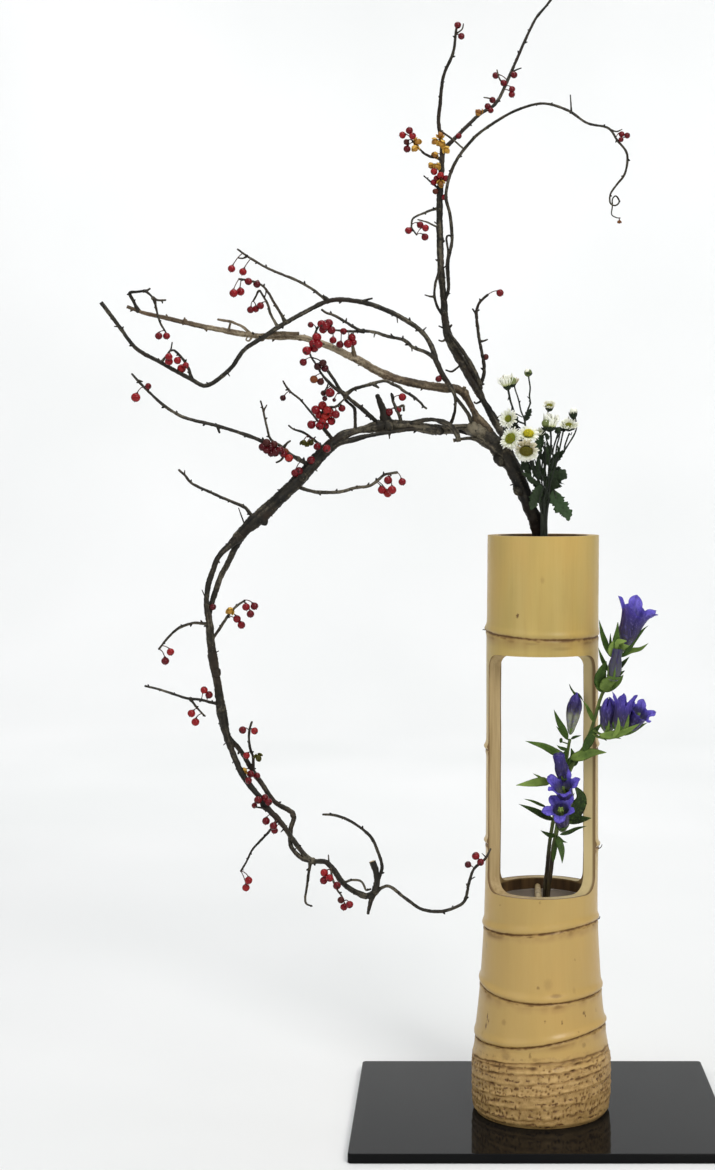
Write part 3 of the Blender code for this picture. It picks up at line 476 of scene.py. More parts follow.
def noise_out(tree, vector, scale, detail=3.0, rough=0.55, distortion=0.0):
    made = node(tree, "ShaderNodeTexNoise", {"Vector": vector, "Scale": scale, "Detail": detail,
                                             "Roughness": rough, "Distortion": distortion})
    return made.outputs["Fac"]


def ramp(tree, fac, stops, mode="LINEAR"):
    made = node(tree, "ShaderNodeValToRGB", {"Fac": fac})
    made.color_ramp.interpolation = mode
    spots = made.color_ramp.elements
    while len(spots) < len(stops):
        spots.new(0.5)
    for spot, (place_, colour) in zip(spots, stops):
        spot.position = place_
        spot.color = (*colour, 1.0) if len(colour) == 3 else colour
    return made.outputs["Color"]


def mix(tree, fac, a, b, mode="MIX"):
    made = node(tree, "ShaderNodeMix", data_type="RGBA", blend_type=mode)
    for socket, value in ((made.inputs[0], fac), (made.inputs[6], a), (made.inputs[7], b)):
        if isinstance(value, bpy.types.NodeSocket):
            tree.links.new(value, socket)
        elif isinstance(value, (int, float)):
            socket.default_value = value
        else:
            socket.default_value = (*value, 1.0) if len(value) == 3 else value
    return made.outputs[2]


def maths(tree, op, a, b=None, c=None, clamp=False):
    made = node(tree, "ShaderNodeMath", operation=op, use_clamp=clamp)
    for i, value in enumerate((a, b, c)):
        if value is None:
            continue
        if isinstance(value, bpy.types.NodeSocket):
            tree.links.new(value, made.inputs[i])
        else:
            made.inputs[i].default_value = value
    return made.outputs[0]


def span(tree, value, low, high, out_low=0.0, out_high=1.0):
    made = node(tree, "ShaderNodeMapRange", {"Value": value, "From Min": low, "From Max": high,
                                             "To Min": out_low, "To Max": out_high})
    return made.outputs[0]


def attribute(tree, name):
    return node(tree, "ShaderNodeAttribute", attribute_name=name).outputs["Fac"]


def bump(tree, shader, height, strength, distance):
    made = node(tree, "ShaderNodeBump", {"Height": height, "Strength": strength, "Distance": distance})
    tree.links.new(made.outputs[0], shader.inputs["Normal"])


def colour_in(tree, shader, socket, where="Base Color"):
    tree.links.new(socket, shader.inputs[where])


def bark_material(name, dark, mid, light, spot, tint, roughness=0.6):
    """Woody bark: streaks along the grain, worn pale patches, breathing spots and fine cracks."""
    made, tree, shader = material(name, mid, roughness, Specular_IOR_Level=0.28)
    pos = position(tree)
    blotch = noise_out(tree, pos, 60.0, 4.0, 0.6)
    fine = noise_out(tree, pos, 420.0, 4.0, 0.65)
    slow = noise_out(tree, position(tree), 27.0, 3.0, 0.55)
    tone = attribute(tree, "tone")
    shade = maths(tree, "ADD", maths(tree, "MULTIPLY", blotch, 0.6), maths(tree, "MULTIPLY", fine, 0.4))
    shade = maths(tree, "ADD", shade, maths(tree, "MULTIPLY", maths(tree, "SUBTRACT", tone, 0.5), 0.75))
    base = ramp(tree, shade, ((0.34, dark), (0.52, mid), (0.72, light)))
    base = mix(tree, span(tree, slow, 0.52, 0.68, 0.0, 0.55), base, tint)
    cells = node(tree, "ShaderNodeTexVoronoi", {"Vector": pos, "Scale": 330.0, "Randomness": 1.0})
    dots = span(tree, cells.outputs["Distance"], 0.10, 0.17, 1.0, 0.0)
    rare = span(tree, noise_out(tree, pos, 150.0, 1.0), 0.48, 0.6)
    base = mix(tree, maths(tree, "MULTIPLY", maths(tree, "MULTIPLY", dots, rare), 0.55), base, spot)
    base = mix(tree, span(tree, fine, 0.44, 0.32, 0.0, 0.7), base, dark)
    colour_in(tree, shader, base)
    rough = span(tree, fine, 0.3, 0.7, roughness - 0.14, roughness + 0.16)
    tree.links.new(rough, shader.inputs["Roughness"])
    bump(tree, shader, maths(tree, "ADD", maths(tree, "MULTIPLY", fine, 0.7), maths(tree, "MULTIPLY", dots, 0.4)), 0.75, 0.0005)
    return made


DARK_BARK = bark_material("dark_bark", srgb(10, 9, 5), srgb(42, 38, 29), srgb(112, 104, 86), srgb(132, 122, 100), srgb(52, 36, 25))
BROWN_BARK = bark_material("brown_bark", srgb(42, 33, 22), srgb(98, 84, 64), srgb(164, 150, 124), srgb(176, 164, 138), srgb(92, 68, 48))


def cut_wood_material():
    made, tree, shader = material("cut_wood", srgb(196, 170, 128), 0.7, Specular_IOR_Level=0.25)
    pos = position(tree)
    grain = noise_out(tree, pos, 900.0, 3.0)
    colour_in(tree, shader, ramp(tree, grain, ((0.3, srgb(150, 120, 84)), (0.6, srgb(205, 182, 142)), (0.8, srgb(224, 204, 168)))))
    bump(tree, shader, grain, 0.4, 0.0002)
    return made


CUT_WOOD = cut_wood_material()


def berry_material():
    made, tree, shader = material("red_berry", srgb(110, 20, 28), 0.24, Specular_IOR_Level=0.26,
                                  Coat_Weight=0.0, Subsurface_Weight=0.03,
                                  Subsurface_Scale=0.003)
    shader.inputs["Subsurface Radius"].default_value = (1.0, 0.25, 0.2)
    pos = position(tree)
    tone = attribute(tree, "tone")
    along = attribute(tree, "along")
    base = ramp(tree, tone, ((0.0, srgb(50, 8, 14)), (0.35, srgb(100, 12, 20)), (0.7, srgb(138, 18, 26)), (0.86, srgb(148, 26, 26)), (1.0, srgb(158, 38, 28))))
    mottle = noise_out(tree, pos, 320.0, 3.0)
    base = mix(tree, span(tree, mottle, 0.45, 0.75, 0.0, 0.5), base, srgb(70, 10, 20))
    base = mix(tree, span(tree, along, 0.94, 1.0, 0.0, 0.85), base, srgb(26, 12, 10))
    base = mix(tree, span(tree, along, 0.06, 0.0, 0.0, 0.5), base, srgb(52, 20, 16))
    colour_in(tree, shader, base)
    bump(tree, shader, noise_out(tree, pos, 700.0, 3.0), 0.12, 0.0002)
    return made


def husk_material():
    made, tree, shader = material("husk", srgb(200, 150, 50), 0.55, Specular_IOR_Level=0.35)
    pos = position(tree)
    tone = attribute(tree, "tone")
    fine = noise_out(tree, pos, 380.0, 4.0)
    base = ramp(tree, tone, ((0.0, srgb(84, 40, 24)), (0.35, srgb(140, 88, 30)), (0.6, srgb(190, 142, 46)), (1.0, srgb(226, 184, 84))))
    base = mix(tree, span(tree, fine, 0.5, 0.75, 0.0, 0.6), base, srgb(110, 70, 30))
    colour_in(tree, shader, base)
    bump(tree, shader, fine, 0.3, 0.0003)
    return made


BERRY, HUSK = berry_material(), husk_material()


# ================================================================ stage, light and camera
def stage():
    """A pale floor that curves up into a backdrop."""
    rows = [(-5.0, 0.0), (2.7, 0.0)]
    for k in range(1, 13):
        a = k / 12 * math.pi / 2
        rows.append((2.7 + 1.3 * math.sin(a), 1.3 * (1 - math.cos(a))))
    rows.append((4.0, 5.0))
    xs = np.linspace(-5.0, 5.0, 9)
    verts = [(x, y, z) for y, z in rows for x in xs]
    mesh = bpy.data.meshes.new("studio_floor")
    quads = grid_quads(len(rows), len(xs), False)
    mesh.from_pydata(verts, [], [tuple(int(i) for i in q[::-1]) for q in quads])
    mesh.shade_smooth()
    made, tree, shader = material("studio_paper", (0.86, 0.87, 0.86), 0.9, Specular_IOR_Level=0.05)
    pos = position(tree)
    colour_in(tree, shader, ramp(tree, noise_out(tree, pos, 0.9, 2.0),
                                 ((0.35, (0.835, 0.845, 0.84)), (0.65, (0.895, 0.897, 0.895)))))
    obj = bpy.data.objects.new("studio_floor", mesh)
    bpy.context.scene.collection.objects.link(obj)
    mesh.materials.append(made)


def lamp(name, where, aim, size, power, colour=(1, 1, 1), size_y=None):
    data = bpy.data.lights.new(name, "AREA")
    data.shape = "RECTANGLE"
    data.size, data.size_y = size, size_y or size
    data.energy = power
    data.color = colour
    obj = bpy.data.objects.new(name, data)
    bpy.context.scene.collection.objects.link(obj)
    obj.location = where
    obj.rotation_euler = (Vector(aim) - Vector(where)).to_track_quat("-Z", "Y").to_euler()


def light():
    world = bpy.data.worlds.new("studio")
    bpy.context.scene.world = world
    world.use_nodes = True
    back = world.node_tree.nodes["Background"]
    back.inputs["Color"].default_value = (0.96, 0.98, 1.0, 1.0)
    back.inputs["Strength"].default_value = 0.40
    lamp("key", (1.1, -2.2, 2.2), (0, 0, 0.55), 1.1, 42.0, (1.0, 0.985, 0.96))
    lamp("fill", (-2.2, -2.0, 1.4), (0, 0, 0.5), 1.8, 11.0, (0.97, 0.98, 1.0))
    lamp("backdrop_left", (-1.7, 1.9, 2.3), (-0.4, 4.0, 0.9), 1.4, 25.5)
    lamp("backdrop_right", (1.7, 1.9, 2.3), (0.5, 4.0, 0.9), 1.4, 25.5)
    lamp("top", (-0.1, 0.0, 2.7), (0, 0, 0.4), 1.2, 25.5)
    scene = bpy.context.scene
    scene.view_settings.view_transform = "Standard"
    scene.view_settings.look = "None"


def camera():
    data = bpy.data.cameras.new("camera")
    data.sensor_fit = "AUTO"
    data.sensor_width = 36.0
    frame_w, frame_h = 715.0, 1170.0
    data.lens = 1850.0 / frame_h * 36.0
    data.shift_x = -(458.0 - frame_w / 2) / frame_h
    data.shift_y = (481.0 - frame_h / 2) / frame_h
    data.clip_start = 0.05
    obj = bpy.data.objects.new("camera", data)
    obj.location = EYE * MM
    obj.rotation_euler = (math.pi / 2, 0, 0)
    bpy.context.scene.collection.objects.link(obj)
    bpy.context.scene.camera = obj


stage()
light()
camera()


# ================================================================ bamboo vase
VASE_TOP, VASE_WALL = 578.0, 11.0
OUTSIDE = ((9.3, 65.0), (13, 67.6), (20, 68.2), (32, 68.9), (50, 69.0), (62, 68.8), (68, 67.2),
           (80, 65.2), (95, 64.2), (110, 62.2), (128, 60.6), (150, 59.2), (178, 57.6), (200, 56.7),
           (226, 56.3), (300, 56.0), (400, 55.9), (470, 55.9), (500, 55.7), (578, 55.7))
LEAN_X = ((9, -0.6), (60, 0.0), (110, -0.8), (160, -0.4), (210, -0.1), (260, 0.8), (460, 1.2), (520, 1.8), (578, 2.3))
ROOT_LEAN = 9.0


def vase_radius(z):
    return np.interp(z, [p[0] for p in OUTSIDE], [p[1] for p in OUTSIDE])


def vase_centre(z):
    z = np.asarray(z, float)
    low = np.clip(1 - z / 190.0, 0, None)
    return np.interp(z, [p[0] for p in LEAN_X], [p[1] for p in LEAN_X]), -ROOT_LEAN * low * low


def on_culm(x, y):
    """(angle, height) where the sheet's spot falls on the front of the culm."""
    z = 632.0 - (y - 481.0)
    for _ in range(12):
        cx, cy = vase_centre(z)
        r = float(vase_radius(z))
        depth = -r * 0.9
        for _ in range(6):
            s = (1850.0 + depth) / 1850.0
            px = -83.0 + (x - 458.0) * s - cx
            depth = cy - math.sqrt(max(r * r - px * px, 0.0))
        s = (1850.0 + depth) / 1850.0
        z = 632.0 - (y - 481.0) * s
    return math.atan2(depth - cy, max(-r, min(r, px))), z


class Ring:
    """A node of the culm: its height around the stem, from spots on its front."""

    def __init__(self, spots, back=None, orders=2, lip=1.5, lip_wide=7.0, groove=0.9, groove_wide=0.9,
                 broken=0.0, dark=1.0):
        pts = [on_culm(x, y) for x, y in spots]
        a = np.array([p[0] for p in pts])
        z = np.array([p[1] for p in pts])
        mean = z.mean() if back is None else back
        cols = [np.ones_like(a)]
        for k in range(1, orders + 1):
            cols += [np.cos(k * a), np.sin(k * a)]
        m = np.stack(cols, 1)
        penalty = np.diag([0.0] + [w for k in range(1, orders + 1) for w in (0.02 * k ** 4,) * 2])
        goal = m.T @ (z - mean)
        self.fit = np.linalg.solve(m.T @ m + penalty, goal)
        self.fit[0] += mean
        self.orders = orders
        self.lip, self.lip_wide, self.groove, self.groove_wide = lip, lip_wide, groove, groove_wide
        self.broken, self.dark = broken, dark

    def height(self, a):
        out = np.full_like(a, self.fit[0])
        for k in range(1, self.orders + 1):
            out = out + self.fit[2 * k - 1] * np.cos(k * a) + self.fit[2 * k] * np.sin(k * a)
        return out


RINGS = [
    Ring([(484.5, 629.8), (492, 632.5), (500, 635), (510, 637), (520, 638), (540, 639.3), (560, 640.4), (580, 639.2), (592, 637), (598.5, 635)], lip=0.9, lip_wide=8.0, groove=0.75),
    Ring([(484, 748.5), (500, 752), (540, 755), (580, 752), (598, 747)], lip=1.3, lip_wide=6.0, groove=0.5),
    Ring([(484.6, 842), (500, 847), (540, 851), (580, 849), (599, 846)], lip=1.4, lip_wide=6.0, groove=0.5),
    Ring([(482.6, 924.5), (488, 928.5), (496, 931), (505, 933.6), (517, 935), (528.8, 935.2), (543, 934.2), (558, 931.8), (570, 928.8), (580, 926), (590, 922.5), (598, 918.5)], lip=1.5, lip_wide=8.5, groove=0.95),
    Ring([(480.9, 981), (485, 988.5), (495, 994.5), (505, 998.5), (514, 1001.6), (532, 1003.9), (546, 1004.4), (560, 1003.7), (580, 999), (592, 994), (600, 989.5), (602, 986.5)], lip=1.6, lip_wide=9.0, groove=1.0),
    Ring([(474.2, 1033.5), (480, 1039.5), (486, 1043), (497, 1046), (510, 1047.8), (520, 1048.1), (532, 1047.3), (545, 1045.6), (558, 1042.8), (572, 1038.5), (584, 1034.2), (594, 1030), (601, 1026), (605, 1021.5)], orders=3, lip=1.5, lip_wide=10.0, groove=1.1),
]
ROOTS = [
    Ring([(475, 1056.5), (484, 1059.5), (495, 1062), (508, 1063.6), (522, 1064.3), (540, 1064.4), (556, 1063), (572, 1061), (586, 1057.5), (598, 1052.5), (607, 1046.5)], orders=3, lip=0.35, lip_wide=3.0, groove=0.8, broken=0.25),
    Ring([(474, 1059), (482, 1061.5), (490, 1065), (500, 1067), (512, 1068.5), (530, 1069.2), (545, 1069), (560, 1067.5), (575, 1065), (588, 1061), (600, 1055.5), (608, 1050)], orders=3, lip=0.3, lip_wide=2.5, groove=0.9, broken=0.35),
    Ring([(472, 1064), (484, 1069.5), (500, 1073.6), (512, 1075.4), (530, 1076), (545, 1075.4), (560, 1073.6), (575, 1070.8), (588, 1067), (600, 1062), (609, 1055.5)], orders=3, lip=0.4, lip_wide=3.0, groove=0.85, broken=0.45),
    Ring([(471.5, 1073), (484, 1080), (500, 1085), (512, 1086.6), (530, 1087.2), (545, 1086), (560, 1083), (575, 1079.6), (588, 1076), (600, 1070.5), (609.5, 1063)], orders=3, lip=0.5, lip_wide=3.5, groove=0.9, broken=0.5),
    Ring([(471.5, 1084), (484, 1091.5), (500, 1096), (515, 1098.2), (530, 1098.6), (545, 1097.4), (560, 1094.8), (575, 1091), (588, 1087.5), (600, 1082.5), (609.5, 1075)], orders=3, lip=0.7, lip_wide=3.5, groove=0.55, broken=0.6),
    Ring([(472.5, 1095), (484, 1103), (500, 1108), (515, 1110.4), (530, 1110.8), (545, 1109.6), (560, 1107), (575, 1103.5), (588, 1100), (600, 1095), (609, 1087)], orders=3, lip=0.7, lip_wide=3.5, groove=0.5, broken=0.65),
    Ring([(474, 1104), (484, 1111), (500, 1118), (515, 1121.3), (530, 1122.4), (545, 1121.5), (560, 1119), (575, 1115.5), (588, 1111.5), (600, 1106), (608.5, 1098)], orders=3, lip=0.7, lip_wide=3.5, groove=0.6, broken=0.5),
]
ALL_RINGS = sorted(RINGS + ROOTS, key=lambda ring: ring.fit[0])


def ring_offset(a, h):
    """How far the lattice row of mean height h is lifted at angle a, so that rows follow nodes."""
    a, h = np.broadcast_arrays(np.asarray(a, float), np.asarray(h, float))
    knots = [9.3] + [ring.fit[0] for ring in ALL_RINGS] + [VASE_TOP]
    lifts = [np.zeros_like(a)] + [ring.height(a) - ring.fit[0] for ring in ALL_RINGS] + [np.zeros_like(a)]
    out = np.zeros_like(a)
    for k in range(len(knots) - 1):
        inside = (h >= knots[k]) & (h <= knots[k + 1])
        t = (h - knots[k]) / (knots[k + 1] - knots[k])
        out = np.where(inside, lifts[k] * (1 - t) + lifts[k + 1] * t, out)
    return out


def mean_height(a, z):
    """The lattice height whose row passes z at angle a."""
    h = np.array(z, float)
    for _ in range(8):
        h = z - ring_offset(a, np.clip(h, 9.3, VASE_TOP))
    return np.clip(h, 9.3, VASE_TOP)


def root_scars():
    """Where roots broke off the lowest joints: (angle, height, depth, half width, half height)."""
    rng = np.random.default_rng(23)
    means = [ring.fit[0] for ring in ROOTS]
    out = []
    for k, (low, dense) in enumerate(((1, 0.25), (2, 0.5), (3, 0.45), (4, 0.8), (5, 1.0), (6, 0.9))):
        top, base = means[low - 1], means[low]
        for row in range(2 if k > 2 else 1):
            level = top + (base - top) * (0.42 + 0.36 * row)
            a = -math.pi
            while a < math.pi:
                a += (2.6 + 3.4 * rng.random()) / 68.0
                thin = 0.35 + 0.65 * (0.5 + 0.5 * math.sin(a * 2.3 + k * 1.9 + row))
                if rng.random() > dense * thin:
                    continue
                out.append((a, level + rng.normal() * 0.7, 0.5 + 0.7 * rng.random(), 0.8 + 0.6 * rng.random(), 1.0 + 1.1 * rng.random()))
    return out


SCARS = root_scars()


def freckles():
    """Small dark marks on the front of the culm: (x, y, z in metres, size mm, how much taller than wide, depth)."""
    out = []
    for x, y, wide, tall, deep in ((517.6, 615.8, 1.5, 1.5, 0.9), (487.4, 1017, 1.0, 4.5, 0.8), (486.0, 1025.5, 1.7, 2.0, 0.75), (488.6, 1021, 0.8, 3.0, 0.7), (584, 1013.0, 1.6, 1.0, 0.8), (585.4, 1016.0, 0.9, 1.6, 0.7),
                                   (545, 1022, 0.8, 1.4, 0.75), (562, 1023, 0.9, 2.4, 0.6), (504, 1022.5, 2.6, 1.1, 0.28), (538, 988, 1.4, 1.2, 0.5), (540, 903, 1.1, 1.3, 0.5),
                                   (584, 1045, 2.4, 1.0, 0.35), (530, 1056, 1.3, 2.6, 0.5), (556, 996, 5.5, 0.35, 0.42), (548, 985, 4.0, 1.4, 0.16), (506, 1056, 5.0, 0.7, 0.34),
                                   (589, 998, 3.0, 0.4, 0.5), (578, 1032, 1.3, 0.9, 0.55), (562, 649, 9.0, 0.2, 0.22), (532, 644, 7.0, 0.2, 0.25), (540, 643.5, 72.0, 0.10, 0.18), (594, 660, 1.0, 2.0, 0.3),
                                   (535, 1060, 3.0, 0.6, 0.35), (596, 1010, 1.2, 1.6, 0.25), (500, 905, 1.0, 1.0, 0.3), (575, 960, 1.1, 1.2, 0.25)):
        angle, z = on_culm(x, y)
        r = float(vase_radius(z))
        cx, cy = vase_centre(z)
        out.append(((float(cx) + r * math.cos(angle)) * MM, (float(cy) + r * math.sin(angle)) * MM, z * MM, wide, tall, deep))
    return out


FRECKLES = freckles()


def skin(a, h, pts):
    """Radial relief of the culm's skin and how dark it is made, by stains and by painted shade in a faint band under
    each node, at angle a and lattice height h.
    """
    dr = np.zeros_like(a)
    stain_and_shade = np.zeros_like(a)
    for ring in RINGS:
        d = h - ring.fit[0]
        wob = 1 + 0.35 * fbm(pts, 16.0, 3)
        dr += ring.lip * wob * np.where(d > 0, np.exp(-((d - 3.0) / (ring.lip_wide * 0.42)) ** 2), np.exp(-(3.0 / (ring.lip_wide * 0.42)) ** 2) * np.exp(d / 0.8))
        g = np.exp(-((d + 0.5) / (ring.groove_wide)) ** 2)
        dr -= ring.groove * g
        dr += 0.35 * np.exp(-((d + 3.6) / 1.5) ** 2)
        thin = 0.78 + 0.45 * fbm(pts, 9.0, 8)
        sway = 0.35 * fbm(pts, 12.0, 81) + 0.2 * fbm(pts, 4.0, 82)
        stain_and_shade = np.maximum(stain_and_shade, ring.dark * (thin + 0.25 + 0.5 * fbm(pts, 3.0, 84, 2)) * np.exp(-((d + 0.5 + sway) / (1.45 + 0.7 * fbm(pts, 6.0, 85))) ** 2))
        stain_and_shade = np.maximum(stain_and_shade, ring.dark * 0.85 * (0.55 + 1.2 * fbm(pts, 7.0, 83)) * np.exp(-((d + 2.5 + sway * 1.8) / 0.75) ** 2))
        # a broad faint band under each node, blotched by noise: partly discolouring of the skin, partly painted shade
        # under the node's swelling
        stain_and_shade = np.maximum(stain_and_shade, 0.46 * np.exp(-((d + 4.2) / 4.0) ** 2) * np.clip(0.7 + 1.5 * fbm(pts, 13.0, 9), 0, 1.4))
    zone = np.clip((ROOTS[0].fit[0] + 1.5 - h) / 4.0, 0, 1)
    for k, ring in enumerate(ROOTS):
        d = h - ring.fit[0] + 0.9 * fbm(pts, 4.5, 120 + k, 2) + 0.5 * fbm(pts, 14.0, 130 + k, 2)
        gap = np.clip(1 - ring.broken + 1.8 * ring.broken * fbm(pts, 7.0, 20 + k, 2), 0.05, 1.35)
        dr += ring.lip * np.exp(-((d - 1.6) / 1.3) ** 2) * (0.8 + 0.5 * fbm(pts, 12.0, 30 + k))
        dr -= ring.groove * gap * np.exp(-(d / 0.75) ** 2)
        heavy = (1.8 if k < 2 else 1.5 if k < 4 else 1.1) + (1.3 if k < 2 else 0.6) * np.clip(0.5 + 1.4 * fbm(pts, 16.0, 140 + k, 2), 0, 1.4)
        stain_and_shade = np.maximum(stain_and_shade, np.clip(gap, 0, 1) * (1.0 if k < 4 else 0.8) * np.exp(-(d / (0.85 * heavy)) ** 2))
        teeth = np.clip(3.0 * fbm(pts * np.array([1, 1, 0.3]), 1.7, 150 + k, 2), 0, 1) * np.clip(0.4 + 1.6 * fbm(pts, 9.0, 160 + k, 2), 0, 1)
        stain_and_shade = np.maximum(stain_and_shade, 0.95 * teeth * np.exp(-((d + 1.5) / 1.2) ** 2))
        dr -= 0.35 * teeth * np.exp(-((d + 1.5) / 1.1) ** 2)
    for (sa, sh, deep, wide, tall) in SCARS:
        near = (np.abs(h - sh) < tall * 3)
        if not near.any():
            continue
        da = (a[near] - sa + math.pi) % (2 * math.pi) - math.pi
        g = np.exp(-((da * 68.0) / wide) ** 2 - ((h[near] - sh) / tall) ** 2)
        dr[near] -= deep * g
        dr[near] += 0.22 * np.exp(-((da * 68.0) / (wide * 2)) ** 2 - ((h[near] - sh - tall * 1.2) / tall) ** 2)
        stain_and_shade[near] = np.maximum(stain_and_shade[near], np.clip(g * (0.5 + deep * 0.55), 0, 1))
    dr += zone * (0.5 * fbm(pts, 6.0, 40) + 0.25 * fbm(pts, 2.4, 41, 2))
    dr += 0.22 * fbm(pts * np.array([1, 1, 0.3]), 20.0, 42)
    # small knobs on the edges of the two upper rings and at a bud
    for ba, bh, size, wide in ((math.pi, RINGS[0].fit[0] + 1.0, 1.5, 3.6), (math.pi, RINGS[1].fit[0] + 2.0, 1.0, 5.0),
                               (0.02, RINGS[2].fit[0] + 1.0, 1.3, 4.0), (math.pi, RINGS[2].fit[0] + 2.0, 0.7, 4.0)):
        da = (a - ba + math.pi) % (2 * math.pi) - math.pi
        dr += size * np.exp(-((da * 56.0) / (wide * 1.6)) ** 2 - ((h - bh) / wide) ** 2)
    return dr, np.clip(stain_and_shade, 0, 1)


def vase_rows():
    rows = [9.3]
    keys = [ring.fit[0] for ring in RINGS]
    while rows[-1] < VASE_TOP - 0.5:
        h = rows[-1]
        if h < ROOTS[0].fit[0] + 3:
            step = 0.95
        else:
            d = min(abs(h - k - 1.5) for k in keys)
            step = 0.55 if d < 4.0 else 1.3 if d < 9 else 2.6 if d < 14 else 6.5
            ahead = [k - 4.0 - h for k in keys if k - 4.0 > h]
            if ahead:
                step = min(step, max(0.6, min(ahead)))
        rows.append(min(h + step, VASE_TOP))
    if VASE_TOP - rows[-2] < 1.2:
        rows.pop(-2)
    return np.array(rows)


def revolve(profile, steps, name):
    """A closed solid of revolution from (r, z) rows going up its outside."""
    a = np.arange(steps) / steps * 2 * math.pi
    pool = Pool()
    sec = np.array([[(r * math.cos(t), r * math.sin(t), z) for t in a] for r, z in profile])
    pool.loft(sec, (True, True))
    mesh = bpy.data.meshes.new(name)
    verts = np.concatenate(pool.v)
    faces = [tuple(map(int, q)) for q in np.concatenate(pool.q)] + [tuple(map(int, t)) for t in np.concatenate(pool.t)]
    mesh.from_pydata(verts.tolist(), [], faces)
    obj = bpy.data.objects.new(name, mesh)
    bpy.context.scene.collection.objects.link(obj)
    return obj


def rounded_cutter(name, size, centre, bevel, segments, turn):
    """A box whose four long edges (along X) are rounded, turned about Z."""
    hy, hz = size[1] / 2, size[2] / 2
    loop = []
    for cy, cz, start in ((hy - bevel, hz - bevel, 0), (-hy + bevel, hz - bevel, 90), (-hy + bevel, -hz + bevel, 180), (hy - bevel, -hz + bevel, 270)):
        for k in range(segments + 1):
            t = math.radians(start + 90 * k / segments)
            loop.append((cy + bevel * math.cos(t), cz + bevel * math.sin(t)))
    rows = []
    for x in np.linspace(-size[0] / 2, size[0] / 2, 2):
        rows.append([(x, y, z) for y, z in loop])
    pool = Pool()
    pool.loft(np.array(rows), (True, True))
    mesh = bpy.data.meshes.new(name)
    verts = np.concatenate(pool.v)
    c, s = math.cos(turn), math.sin(turn)
    verts = np.stack([verts[:, 0] * c - verts[:, 1] * s + centre[0], verts[:, 0] * s + verts[:, 1] * c + centre[1], verts[:, 2] + centre[2]], -1)
    faces = [tuple(map(int, q)) for q in np.concatenate(pool.q)] + [tuple(map(int, t)) for t in np.concatenate(pool.t)]
    mesh.from_pydata(verts.tolist(), [], faces)
    obj = bpy.data.objects.new(name, mesh)
    bpy.context.scene.collection.objects.link(obj)
    return obj


UPPER_FLOOR, UPPER_CEILING = 486.0, 474.0
LOWER_FLOOR, SILL, LINTEL = 190.0, 226.0, 461.0
WINDOW_FACE, WINDOW_TURN = 18.0, math.radians(-3.0)


